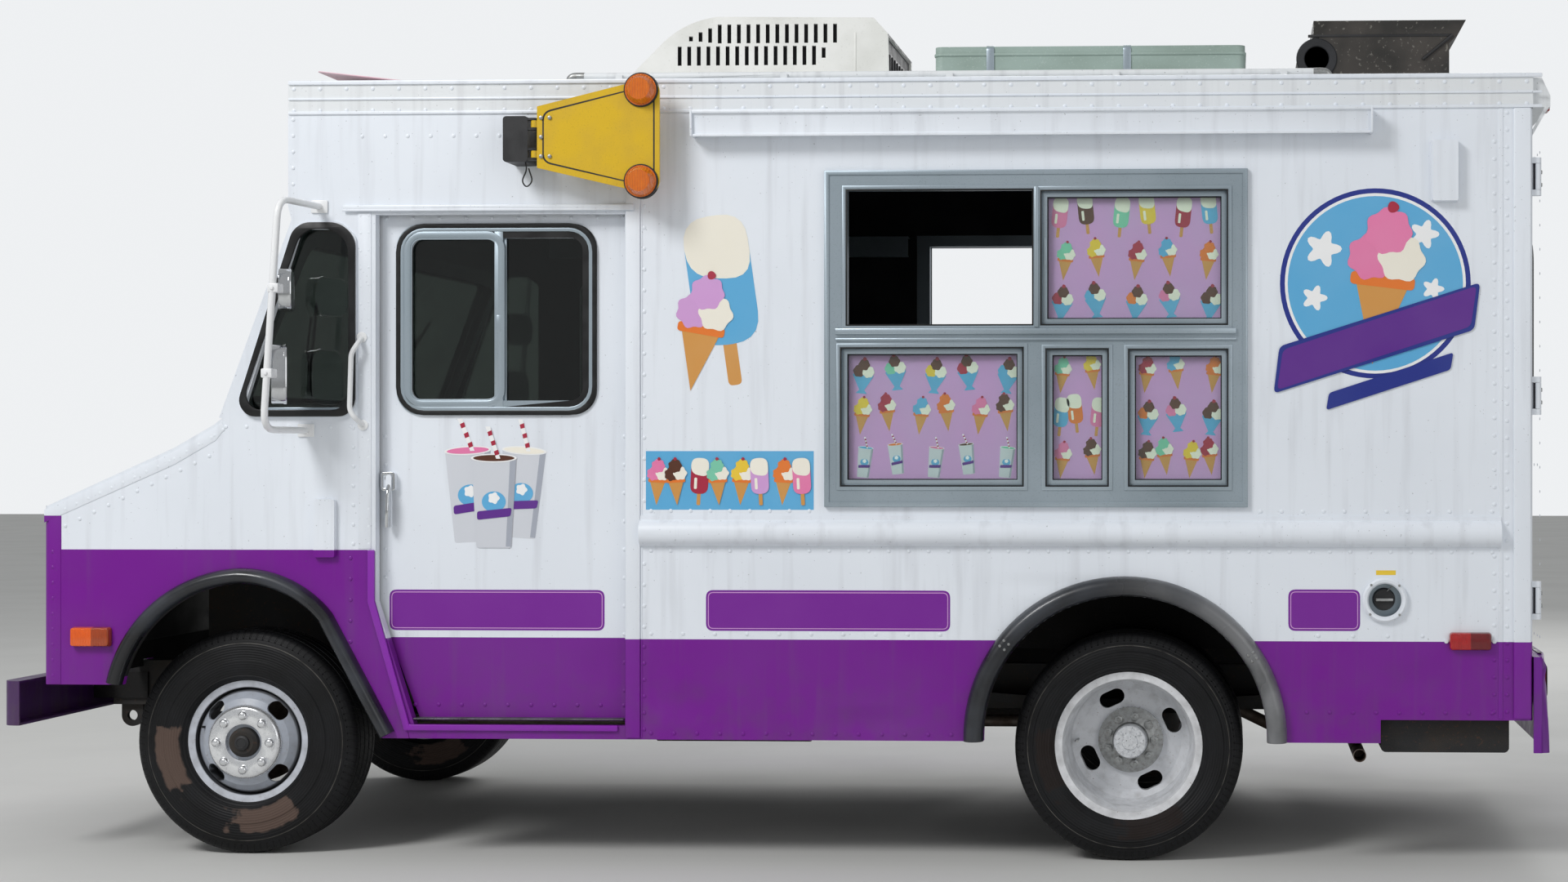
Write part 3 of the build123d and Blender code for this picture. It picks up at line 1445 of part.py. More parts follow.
with BuildPart() as sign:
    with BuildSketch(side(sign_plane_y + sign_thickness / 2)) as sign_outline:
        with BuildLine():
            Polyline(*sign_corners, close=True)
        make_face()
        fillet(sign_outline.vertices().group_by(Axis.X)[-1], 45)
        for row in sign_hinge_rows:
            with Locations((sign_hinge_x + 10, row)):
                Rectangle(20, 2 * sign_barrel_half)
    extrude(amount=-sign_thickness)
    for row in sign_hinge_rows:
        with BuildSketch(Plane.XY.offset(row - sign_barrel_half)):
            with Locations((sign_hinge_x, -sign_plane_y)):
                Circle(sign_pin_radius + 5)
        extrude(amount=2 * sign_barrel_half)
        with BuildSketch(Plane.XY.offset(row - sign_barrel_half)):
            with Locations((sign_hinge_x, -sign_plane_y)):
                Circle(sign_pin_radius + pin_clearance)
        extrude(amount=2 * sign_barrel_half, mode=Mode.SUBTRACT)
write(sign, "sign")

with BuildPart() as sign_lamps:
    for row in sign_lamp_rows:
        for face_side in (-1, 1):
            lamp_plane = Plane(
                origin=(sign_lamp_x, -sign_plane_y + face_side * (sign_thickness / 2 + seat_gap), row),
                x_dir=(1, 0, 0),
                z_dir=(0, face_side, 0),
            )
            with BuildSketch(lamp_plane):
                Circle(sign_lamp_radius)
            extrude(amount=10)
            with BuildSketch(lamp_plane.offset(10)):
                Circle(sign_lamp_radius - 4)
            extrude(amount=30, taper=24)
write(sign_lamps, "sign_lamps")

# Roof air conditioner: a moulded shell with a sloped nose, louvred sides and a recessed rear grille
unit_front = aft(1112)
unit_rear = aft(2223)
unit_half = 350
unit_top = 3124
unit_shell = 25
grille_recess = 15
grille_top = unit_top - 78
louvre_pitch = 37.3
louvre_width = 15
louvre_depth = 22
louvre_rows = [
    # first station, bottom, top, count
    (aft(1454), 3030, 3049, 1),
    (aft(1454) + louvre_pitch, 3028, 3065, 1),
    (aft(1454) + 2 * louvre_pitch, 3024, 3080, 1),
    (aft(1454) + 3 * louvre_pitch, 3021, 3094, 13),
    (aft(1410), 2936, 3010, 15),
    (aft(1410) + 15 * louvre_pitch, 2963, 3003, 1),
]
with BuildPart() as air_conditioner:
    with BuildSketch(side(unit_half)):
        with BuildLine():
            Polyline(
                (unit_rear, roof_edge_top),
                (unit_front, roof_edge_top),
                (unit_front, roof_edge_top + roof_crown),
                (unit_front + 239, unit_top - 93),
            )
            ThreePointArc(
                (unit_front + 239, unit_top - 93),
                (unit_front + 340, unit_top - 28),
                (unit_front + 449, unit_top),
            )
            Polyline(
                (unit_front + 449, unit_top),
                (unit_rear - 60, unit_top - 7),
                (unit_rear - 6, unit_top - 67),
                (unit_rear, roof_edge_top),
            )
        make_face()
    extrude(amount=-2 * unit_half)
    for face, inward in ((unit_half + 1, -1), (-unit_half - 1, 1)):
        with BuildSketch(side(face)):
            for first, low, high, count in louvre_rows:
                for slot in range(count):
                    with Locations((first + slot * louvre_pitch, (low + high) / 2)):
                        Rectangle(louvre_width, high - low)
        extrude(amount=inward * (louvre_depth + 1), mode=Mode.SUBTRACT)
    with BuildSketch(Plane.YZ.offset(unit_rear + 1)):
        with Locations((0, (roof_edge_top + grille_top) / 2)):
            Rectangle(2 * (unit_half - unit_shell), grille_top - roof_edge_top)
    extrude(amount=-(grille_recess + 1), mode=Mode.SUBTRACT)
    add(extrude(roof_envelope(roof_edge_bottom, seat_gap), amount=length, both=True), mode=Mode.SUBTRACT)
write(air_conditioner, "air_conditioner")

# Flat equipment box on the roof
box_front = past_rear(-720)
box_rear = past_rear(413)
box_near = 800
box_far = 80
box_top = 2925
with BuildPart() as roof_box:
    with BuildSketch(Plane.XY.offset(roof_edge_top)):
        with Locations(((box_front + box_rear) / 2, -(box_near + box_far) / 2)):
            RectangleRounded(box_rear - box_front, box_near - box_far, 30)
    extrude(amount=box_top - roof_edge_top)
    add(extrude(roof_envelope(roof_edge_bottom, seat_gap), amount=length, both=True), mode=Mode.SUBTRACT)
write(roof_box, "roof_box")

# Roof vent: a box with an overhanging lid and a round duct at its front
vent_front = past_rear(690)
vent_rear = past_rear(1170)
vent_near = 600
vent_far = 120
vent_lid_low = 2990
vent_lid_top = 3046
with BuildPart() as roof_vent:
    with BuildSketch(side(vent_near)):
        with BuildLine():
            Polyline(
                (vent_front, roof_edge_top),
                (vent_front, vent_lid_low),
                (vent_front - 22, vent_lid_low + 8),
                (vent_front - 22, vent_lid_top),
                (vent_rear + 62, vent_lid_top),
                (vent_rear + 30, vent_lid_low),
                (vent_rear, vent_lid_low - 30),
                (vent_rear, roof_edge_top),
                close=True,
            )
        make_face()
    extrude(amount=-(vent_near - vent_far))
    with BuildSketch(side(vent_near)):
        with Locations((vent_front - 10, 2905)):
            Circle(72)
    extrude(amount=-(vent_near - vent_far))
    add(extrude(roof_envelope(roof_edge_bottom, seat_gap), amount=length, both=True), mode=Mode.SUBTRACT)
write(roof_vent, "roof_vent")

# Conduit clipped along the roof edge
conduit_radius = 13
conduit_y = body_half - 75
conduit_front = aft(1240)
conduit_rear = past_rear(655)
conduit_z = roof_edge_top + roof_crown * (1 - (conduit_y / body_half) ** 2) + conduit_radius + 2
with BuildPart() as roof_conduit:
    with BuildSketch(Plane.YZ.offset(conduit_front)):
        with Locations((-conduit_y, conduit_z)):
            Circle(conduit_radius)
    extrude(amount=conduit_rear - conduit_front)
    for clip in range(5):
        station = conduit_front + 120 + clip * (conduit_rear - conduit_front - 240) / 4
        with BuildSketch(Plane.YZ.offset(station)):
            with Locations((-conduit_y, conduit_z - 8)):
                Rectangle(44, 22)
        extrude(amount=24)
    add(extrude(roof_envelope(roof_edge_bottom, seat_gap), amount=length, both=True), mode=Mode.SUBTRACT)
write(roof_conduit, "roof_conduit")

# Driver's seat
with BuildPart() as seat:
    with BuildSketch(side(-seat_y + 230)) as seat_side:
        with BuildLine():
            Polyline(
                (seat_x - 240, floor_top + seat_height + seat_gap),
                (seat_x - 240, floor_top + seat_height + 100),
                (seat_x + 150, floor_top + seat_height + 110),
                (seat_x + 230, floor_top + seat_height + 700),
                (seat_x + 320, floor_top + seat_height + 700),
                (seat_x + 250, floor_top + seat_height + seat_gap),
                close=True,
            )
        make_face()
        fillet(seat_side.vertices().group_by(Axis.Y)[-1], 35)
    extrude(amount=-460)
write(seat, "seat")

# Dashboard across the cab with its fascia and firewall, and the steering column on it
dash_top = cowl_top - 14
dash_half = body_half - skin - seat_gap
wheel_centre = Vector(aft(650), seat_y, 1430)
column_foot = Vector(aft(430), seat_y, 1275)
column_line = wheel_centre - column_foot
hub_gap = 30
with BuildPart() as dashboard:
    with BuildSketch(side(dash_half)):
        with BuildLine():
            Polyline(
                (aft(60), dash_top),
                (aft(400), dash_top),
                (aft(440), dash_top - 120),
                (aft(440), dash_top - 330),
                (aft(410), dash_top - 330),
                (aft(410), dash_top - 110),
                (aft(385), dash_top - 28),
                (aft(60), dash_top - 28),
                close=True,
            )
        make_face()
    extrude(amount=-2 * dash_half)
    with BuildSketch(Plane.YZ.offset(aft(410))):
        with Locations((0, (floor_top + seat_gap + dash_top - 330) / 2)):
            Rectangle(1100, dash_top - 330 - floor_top - seat_gap)
    extrude(amount=20)
    with BuildSketch(Plane(origin=column_foot, z_dir=column_line)):
        Circle(24)
    extrude(amount=column_line.length - hub_gap)
    with BuildSketch(side(340)) as cover_side:
        with BuildLine():
            Polyline(
                (aft(425), floor_top + seat_gap),
                (aft(425), floor_top + 420),
                (aft(760), floor_top + 380),
                (aft(900), floor_top + seat_gap),
                close=True,
            )
        make_face()
        fillet(cover_side.vertices().group_by(Axis.X)[-2], 40)
    extrude(amount=-680)
write(dashboard, "dashboard")

# Steering wheel on its column
rim_plane = Plane(origin=wheel_centre, x_dir=(0, 1, 0), z_dir=column_line)
rim_major = 225
rim_minor = 13
with BuildPart() as steering_wheel:
    with BuildSketch(Plane(origin=wheel_centre + rim_plane.x_dir * rim_major, x_dir=rim_plane.x_dir,
                           z_dir=rim_plane.y_dir)):
        Circle(rim_minor)
    revolve(axis=Axis(wheel_centre, rim_plane.z_dir))
    with BuildSketch(rim_plane.offset(-hub_gap + 1)):
        Circle(34)
    extrude(amount=hub_gap + 4)
    with BuildSketch(rim_plane.offset(-5)):
        Rectangle(2 * rim_major, 26)
        with Locations((0, -rim_major / 2)):
            Rectangle(26, rim_major)
    extrude(amount=8)
write(steering_wheel, "steering_wheel")

# Steering knuckles: a forked head round the axle's eye, and the wheel spindle
wheel_centre_y = tyre_face - front_tyre_width / 2
spindle_tip = tyre_face - 22
fork_gap = 2


def build_knuckle(hand):
    """One front knuckle with its kingpin; hand is -1 on the driver's side."""
    with BuildPart() as knuckle:
        for low in (front_tyre_radius - 40 - fork_gap - 30, front_tyre_radius + 40 + fork_gap):
            with BuildSketch(Plane.XY.offset(low)):
                with Locations((front_axle_x, -kingpin_offset)):
                    Circle(eye_radius)
                with Locations((front_axle_x, -kingpin_offset - eye_radius / 2 - 10)):
                    Rectangle(2 * eye_radius, eye_radius + 20)
            extrude(amount=30)
        with BuildSketch(side(kingpin_offset + eye_radius + 4)):
            with Locations((front_axle_x, front_tyre_radius)):
                RectangleRounded(110, 2 * (40 + fork_gap + 30), 24)
        extrude(amount=16)
        with BuildSketch(Plane.XY.offset(front_tyre_radius - 40 - fork_gap - 30)):
            with Locations((front_axle_x, -kingpin_offset)):
                Circle(kingpin_radius)
        extrude(amount=2 * (40 + fork_gap + 30))
        with BuildSketch(side(kingpin_offset + eye_radius + 20)):
            with Locations((front_axle_x, front_tyre_radius)):
                Circle(spindle_radius)
        extrude(amount=spindle_tip - kingpin_offset - eye_radius - 20)
    if hand < 0:
        return knuckle
    with BuildPart() as mirrored:
        mirror(knuckle.part, about=Plane.XZ)
    return mirrored


for hand, side_name in ((-1, "left"), (1, "right")):
    write(build_knuckle(hand), f"{side_name}_knuckle")

# Wheel sections, as (radius, distance outboard of the tyre's middle)
front_hub_face = front_tyre_width / 2 + 22
hand_hole_ring = 158
hand_hole = (76, 44)


def build_front_wheel(hand):
    """One front rim: drop-centre barrel, disc with hand holes and a hub that stands proud."""
    with BuildPart() as rim:
        with BuildSketch(Plane.XY.offset(front_tyre_radius)):
            with BuildLine():
                Polyline(
                    (front_axle_x + front_rim_radius, -wheel_centre_y - 88),
                    (front_axle_x + front_rim_radius, -wheel_centre_y - 80),
                    (front_axle_x + front_rim_radius - 17, -wheel_centre_y - 76),
                    (front_axle_x + front_rim_radius - 19, -wheel_centre_y - 46),
                    (front_axle_x + front_rim_radius - 34, -wheel_centre_y - 30),
                    (front_axle_x + front_rim_radius - 34, -wheel_centre_y + 20),
                    (front_axle_x + front_rim_radius - 19, -wheel_centre_y + 36),
                    (front_axle_x + front_rim_radius - 17, -wheel_centre_y + 76),
                    (front_axle_x + front_rim_radius, -wheel_centre_y + 80),
                    (front_axle_x + front_rim_radius, -wheel_centre_y + 88),
                    (front_axle_x + front_rim_radius - 24, -wheel_centre_y + 84),
                    (front_axle_x + front_rim_radius - 26, -wheel_centre_y + 40),
                    (front_axle_x + front_rim_radius - 41, -wheel_centre_y + 24),
                    (front_axle_x + front_rim_radius - 41, -wheel_centre_y - 30),
                    (front_axle_x + 175, -wheel_centre_y - 72),
                    (front_axle_x + 150, -wheel_centre_y - 96),
                    (front_axle_x + 133, -wheel_centre_y - 104),
                    (front_axle_x + 133, -wheel_centre_y - 104 + 9),
                    (front_axle_x + 70, -wheel_centre_y - 104 + 9),
                    (front_axle_x + 60, -wheel_centre_y + 30),
                    (front_axle_x + spindle_radius + pin_clearance, -wheel_centre_y + 30),
                    (front_axle_x + spindle_radius + pin_clearance, -spindle_tip - 5),
                    (front_axle_x, -spindle_tip - 5),
                    (front_axle_x, -wheel_centre_y - front_hub_face),
                    (front_axle_x + 40, -wheel_centre_y - front_hub_face),
                    (front_axle_x + 52, -wheel_centre_y - front_hub_face + 10),
                    (front_axle_x + 54, -wheel_centre_y - 112),
                    (front_axle_x + 133, -wheel_centre_y - 112),
                    (front_axle_x + 156, -wheel_centre_y - 102),
                    (front_axle_x + 184, -wheel_centre_y - 74),
                    (front_axle_x + front_rim_radius - 28, -wheel_centre_y - 44),
                    (front_axle_x + front_rim_radius - 26, -wheel_centre_y - 82),
                    close=True,
                )
            make_face()
        revolve(axis=Axis((front_axle_x, 0, front_tyre_radius), (0, 1, 0)))
        with BuildSketch(side(wheel_centre_y + 150)):
            with Locations((front_axle_x, front_tyre_radius)):
                with PolarLocations(hand_hole_ring, 4, start_angle=45):
                    SlotOverall(*hand_hole, rotation=90)
        extrude(amount=-140, mode=Mode.SUBTRACT)
    if hand < 0:
        return rim
    with BuildPart() as mirrored:
        mirror(rim.part, about=Plane.XZ)
    return mirrored


def tyre_section(centre_x, radius, rim_radius, width, centre_y, seat_half):
    """Half section of a tyre in the axle's plane, from bead to bead round the tread."""
    shoulder = radius - 22
    with BuildSketch() as section:
        with BuildLine():
            Polyline(
                (centre_x + rim_radius - 16.7, centre_y - seat_half),
                (centre_x + rim_radius - 16.7, centre_y - seat_half + 14),
                (centre_x + rim_radius + 30, centre_y - width / 2 + 26),
                (centre_x + shoulder - 16, centre_y - width / 2 + 24),
                (centre_x + radius - 16, centre_y - width / 2 + 46),
                (centre_x + radius - 16, centre_y + width / 2 - 46),
                (centre_x + shoulder - 16, centre_y + width / 2 - 24),
                (centre_x + rim_radius + 30, centre_y + width / 2 - 26),
                (centre_x + rim_radius - 16.7, centre_y + seat_half - 14),
                (centre_x + rim_radius - 16.7, centre_y + seat_half),
                (centre_x + rim_radius + 2, centre_y + seat_half),
            )
            ThreePointArc(
                (centre_x + rim_radius + 2, centre_y + seat_half),
                (centre_x + (rim_radius + radius) / 2 - 4, centre_y + width / 2),
                (centre_x + shoulder, centre_y + width / 2 - 14),
            )
            ThreePointArc(
                (centre_x + shoulder, centre_y + width / 2 - 14),
                (centre_x + radius - 6, centre_y + width / 2 - 22),
                (centre_x + radius, centre_y + width / 2 - 42),
            )
            Line(
                (centre_x + radius, centre_y + width / 2 - 42),
                (centre_x + radius, centre_y - width / 2 + 42),
            )
            ThreePointArc(
                (centre_x + radius, centre_y - width / 2 + 42),
                (centre_x + radius - 6, centre_y - width / 2 + 22),
                (centre_x + shoulder, centre_y - width / 2 + 14),
            )
            ThreePointArc(
                (centre_x + shoulder, centre_y - width / 2 + 14),
                (centre_x + (rim_radius + radius) / 2 - 4, centre_y - width / 2),
                (centre_x + rim_radius + 2, centre_y - seat_half),
            )
            Line(
                (centre_x + rim_radius + 2, centre_y - seat_half),
                (centre_x + rim_radius - 16.7, centre_y - seat_half),
            )
        make_face()
    return section.sketch


for hand, side_name in ((-1, "left"), (1, "right")):
    write(build_front_wheel(hand), f"front_wheel_{side_name}")
    with BuildPart() as front_tyre:
        with BuildSketch(Plane.XY.offset(front_tyre_radius)):
            add(tyre_section(front_axle_x, front_tyre_radius, front_rim_radius, front_tyre_width,
                             hand * wheel_centre_y, 75.7))
        revolve(axis=Axis((front_axle_x, 0, front_tyre_radius), (0, 1, 0)))
    write(front_tyre, f"front_tyre_{side_name}")

# Rear duals: two dished rims bolted face to face on a deep hub
outer_centre_y = rear_tyre_face - rear_tyre_width / 2
inner_centre_y = outer_centre_y - dual_spacing
mount_y = (outer_centre_y + inner_centre_y) / 2
disc_half = 10
rear_hand_hole_ring = 163
rear_hand_hole = (94, 56)


def rear_rim_section(centre_y, toward):
    """Section of one dished rim; toward is +1 where its disc lies inboard of its centre."""
    rim = rear_rim_radius
    with BuildSketch() as section:
        with BuildLine():
            Polyline(
                (rear_axle_x + rim, centre_y + toward * -84),
                (rear_axle_x + rim, centre_y + toward * -76),
                (rear_axle_x + rim - 17, centre_y + toward * -72),
                (rear_axle_x + rim - 30, centre_y + toward * -20),
                (rear_axle_x + rim - 30, centre_y + toward * 30),
                (rear_axle_x + rim - 17, centre_y + toward * 72),
                (rear_axle_x + rim, centre_y + toward * 76),
                (rear_axle_x + rim, centre_y + toward * 84),
                (rear_axle_x + rim - 24, centre_y + toward * 82),
                (rear_axle_x + rim - 34, centre_y + toward * 54),
                (rear_axle_x + rim - 40, centre_y + toward * 100),
                (rear_axle_x + rim - 76, centre_y + toward * (dual_spacing / 2)),
                (rear_axle_x + 90, centre_y + toward * (dual_spacing / 2)),
                (rear_axle_x + 90, centre_y + toward * (dual_spacing / 2 - disc_half)),
                (rear_axle_x + rim - 80, centre_y + toward * (dual_spacing / 2 - disc_half)),
                (rear_axle_x + rim - 50, centre_y + toward * 96),
                (rear_axle_x + rim - 40, centre_y + toward * 30),
                (rear_axle_x + rim - 40, centre_y + toward * -20),
                (rear_axle_x + rim - 26, centre_y + toward * -78),
                close=True,
            )
        make_face()
    return section.sketch


for hand, side_name in ((-1, "left"), (1, "right")):
    with BuildPart() as rear_wheels:
        with BuildSketch(Plane.XY.offset(rear_tyre_radius)):
            add(rear_rim_section(hand * outer_centre_y, -hand))
            add(rear_rim_section(hand * inner_centre_y, hand))
            with BuildLine():
                Polyline(
                    (rear_axle_x + rear_spindle_radius + pin_clearance, hand * (mount_y - 60)),
                    (rear_axle_x + 118, hand * (mount_y - 60)),
                    (rear_axle_x + 118, hand * (mount_y + 30)),
                    (rear_axle_x + 66, hand * (mount_y + 44)),
                    (rear_axle_x + 58, hand * (spindle_end + 20)),
                    (rear_axle_x, hand * (spindle_end + 20)),
                    (rear_axle_x, hand * (spindle_end + 5)),
                    (rear_axle_x + rear_spindle_radius + pin_clearance, hand * (spindle_end + 5)),
                    close=True,
                )
            make_face()
        revolve(axis=Axis((rear_axle_x, 0, rear_tyre_radius), (0, 1, 0)))
        with BuildSketch(side(-hand * (mount_y + 40))):
            with Locations((rear_axle_x, rear_tyre_radius)):
                with PolarLocations(rear_hand_hole_ring, 4, start_angle=25):
                    SlotOverall(*rear_hand_hole, rotation=90)
        extrude(amount=80 * hand, mode=Mode.SUBTRACT)
    write(rear_wheels, f"rear_wheels_{side_name}")
    with BuildPart() as rear_tyres:
        with BuildSketch(Plane.XY.offset(rear_tyre_radius)):
            for centre_y in (outer_centre_y, inner_centre_y):
                add(tyre_section(rear_axle_x, rear_tyre_radius, rear_rim_radius, rear_tyre_width,
                                 hand * centre_y, 71.7))
        revolve(axis=Axis((rear_axle_x, 0, rear_tyre_radius), (0, 1, 0)))
    write(rear_tyres, f"rear_tyres_{side_name}")
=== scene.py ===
"""Looks of a walk-in step van fitted as an ice cream truck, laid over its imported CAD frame.

Metres. The front is -X, the driver's side is -Y and +Z is up, as in the frame.
"""

from __future__ import annotations

import json
import logging
import math
from dataclasses import dataclass, field
from enum import Enum
from typing import Callable, Iterable, Sequence, Union

import bpy
from mathutils import Matrix, Vector

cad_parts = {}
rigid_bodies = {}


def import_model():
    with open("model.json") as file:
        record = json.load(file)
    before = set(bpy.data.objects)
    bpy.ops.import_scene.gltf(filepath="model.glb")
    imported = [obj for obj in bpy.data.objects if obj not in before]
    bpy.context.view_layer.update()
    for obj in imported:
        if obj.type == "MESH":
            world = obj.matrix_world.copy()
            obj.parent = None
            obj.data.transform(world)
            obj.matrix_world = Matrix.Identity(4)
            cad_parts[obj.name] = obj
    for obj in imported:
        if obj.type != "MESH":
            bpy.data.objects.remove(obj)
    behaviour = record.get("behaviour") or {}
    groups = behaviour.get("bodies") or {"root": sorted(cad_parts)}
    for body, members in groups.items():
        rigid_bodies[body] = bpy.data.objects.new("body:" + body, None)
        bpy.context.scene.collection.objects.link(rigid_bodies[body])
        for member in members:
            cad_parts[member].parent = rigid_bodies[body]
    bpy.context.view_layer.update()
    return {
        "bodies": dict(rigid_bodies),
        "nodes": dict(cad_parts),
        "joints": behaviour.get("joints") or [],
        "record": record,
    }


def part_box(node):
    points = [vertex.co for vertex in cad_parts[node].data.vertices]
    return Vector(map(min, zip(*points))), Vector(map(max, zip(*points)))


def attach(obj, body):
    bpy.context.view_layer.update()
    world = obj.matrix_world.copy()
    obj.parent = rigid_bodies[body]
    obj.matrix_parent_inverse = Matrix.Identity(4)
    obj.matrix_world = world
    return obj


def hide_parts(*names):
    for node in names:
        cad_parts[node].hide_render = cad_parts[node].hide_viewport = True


LOG = logging.getLogger("ice_cream_truck")
MM = 0.001

Piece = bpy.types.Object
Tree = bpy.types.NodeTree
Shader = bpy.types.Node
Socket = bpy.types.NodeSocket
Point = tuple[float, float]
Place = Sequence[float]
Value = Union[float, Sequence[float], Socket]


# Node and colour helpers


def linear(code: str) -> tuple[float, float, float, float]:
    """Turn an sRGB colour into the linear one that shaders use.

    Args:
        code: six hex digits, with or without a leading #.

    Returns:
        Red, green, blue and an alpha of 1.
    """
    digits = code.lstrip("#")
    levels = [int(digits[i : i + 2], 16) / 255 for i in (0, 2, 4)]
    red, green, blue = (v / 12.92 if v <= 0.04045 else ((v + 0.055) / 1.055) ** 2.4 for v in levels)
    return (red, green, blue, 1.0)


def add_node(
    tree: Tree, kind: str, inputs: dict[Union[str, int], Value] | None = None, **settings: object
) -> Shader:
    """Add a shader node with its settings and its links.

    Args:
        tree: the material's node tree.
        kind: the node's type name after the word ShaderNode.
        inputs: for each socket, a constant or the output that feeds it.
        **settings: properties of the node itself.

    Returns:
        The new node.
    """
    node = tree.nodes.new("ShaderNode" + kind)
    for name, setting in settings.items():
        setattr(node, name, setting)
    for socket, value in (inputs or {}).items():
        if isinstance(value, Socket):
            tree.links.new(value, node.inputs[socket])
        else:
            node.inputs[socket].default_value = value
    return node


# Finishes


@dataclass(frozen=True)
class Finish:
    """A surface finish that makes its own material the first time it is used."""

    name: str

    def material(self) -> bpy.types.Material:
        """Return the finish as a material, made once."""
        known = bpy.data.materials.get(self.name)
        if known is not None:
            return known
        made = bpy.data.materials.new(self.name)
        made.use_nodes = True
        tree = made.node_tree
        tree.nodes.clear()
        shader = add_node(tree, "BsdfPrincipled")
        add_node(tree, "OutputMaterial", {"Surface": shader.outputs["BSDF"]})
        self.lay(tree, shader)
        return made

    def lay(self, tree: Tree, shader: Shader) -> None:
        """Build the finish's pattern; each kind of finish has its own."""
        raise NotImplementedError

    def patches(
        self, tree: Tree, size_mm: float, low: float = 0.0, high: float = 1.0,
        stretch: Sequence[float] = (1.0, 1.0, 1.0), detail: float = 3.0,
    ) -> Socket:
        """Cloudy patches of a real size, cut between two levels.

        Args:
            tree: the material's node tree.
            size_mm: how wide a patch is on the object.
            low: the level that becomes 0.
            high: the level that becomes 1.
            stretch: how many times finer the patches are along each axis.
            detail: how many finer layers the patches have.

        Returns:
            A factor from 0 to 1.
        """
        coordinates = add_node(tree, "TexCoord").outputs["Object"]
        scale = [1 / (size_mm * MM) * s for s in stretch]
        spread = add_node(tree, "Mapping", {"Vector": coordinates, "Scale": scale}).outputs[0]
        cloud = add_node(tree, "TexNoise", {"Vector": spread, "Scale": 1.0, "Detail": detail})
        cut = {"Value": cloud.outputs[0], "From Min": low, "From Max": high}
        return add_node(tree, "MapRange", cut).outputs["Result"]

    def film(self, tree: Tree, under: Value | str, over: str, pattern: Socket, share: float) -> Socket:
        """Lay a film of another colour where a pattern is strong.

        Args:
            tree: the material's node tree.
            under: the colour below, as hex digits or an output.
            over: the film's colour.
            pattern: where the film lies, from 0 to 1.
            share: how much it hides where it is thickest.

        Returns:
            The colour with its film.
        """
        thick = add_node(tree, "Math", {0: pattern, 1: share}, operation="MULTIPLY").outputs[0]
        below = linear(under) if isinstance(under, str) else under
        return add_node(tree, "Mix", {0: thick, 6: below, 7: linear(over)}, data_type="RGBA").outputs[2]

    def wear(self, tree: Tree, shader: Shader, pattern: Socket, low: float, high: float) -> None:
        """Let the roughness follow a pattern between two values."""
        spread = add_node(tree, "MapRange", {"Value": pattern, "To Min": low, "To Max": high})
        tree.links.new(spread.outputs["Result"], shader.inputs["Roughness"])

    def relief(self, tree: Tree, shader: Shader, heights: Sequence[tuple[Socket, float]]) -> None:
        """Raise the surface by the sum of some patterns, each times its height in metres."""
        height = None
        for pattern, rise in heights:
            terms = {0: pattern, 1: rise, 2: 0.0 if height is None else height}
            height = add_node(tree, "Math", terms, operation="MULTIPLY_ADD").outputs[0]
        bump = add_node(tree, "Bump", {"Height": height, "Distance": 1.0, "Strength": 1.0})
        tree.links.new(bump.outputs[0], shader.inputs["Normal"])

    def around(self, tree: Tree, hub_x: float, hub_z: float) -> tuple[Socket, Socket]:
        """Return the offset from a wheel's axis, and how far out from it a point lies."""
        coordinates = add_node(tree, "TexCoord").outputs["Object"]
        hub = {0: coordinates, 1: (hub_x, 0.0, hub_z)}
        local = add_node(tree, "VectorMath", hub, operation="SUBTRACT").outputs[0]
        flat = add_node(tree, "VectorMath", {0: local, 1: (1, 0, 1)}, operation="MULTIPLY").outputs[0]
        return local, add_node(tree, "VectorMath", {0: flat}, operation="LENGTH").outputs["Value"]

    def band(self, tree: Tree, value: Socket, low: float, high: float, blur: float) -> Socket:
        """Mark where a value lies between two levels, with soft ends.

        Args:
            tree: the material's node tree.
            value: what is measured.
            low: where the band starts.
            high: where it ends.
            blur: half the width of its soft ends.

        Returns:
            A factor from 0 to 1.
        """
        offset = add_node(tree, "Math", {0: value, 1: (low + high) / 2}, operation="SUBTRACT").outputs[0]
        away = add_node(tree, "Math", {0: offset}, operation="ABSOLUTE").outputs[0]
        half = (high - low) / 2
        cut = {"Value": away, "From Min": half + blur, "From Max": half - blur}
        return add_node(tree, "MapRange", cut).outputs["Result"]


@dataclass(frozen=True)
class Dent:
    """A shallow knock in a panel, as seen from the side."""

    x: float
    z: float
    half_width: float
    half_height: float
    depth: float


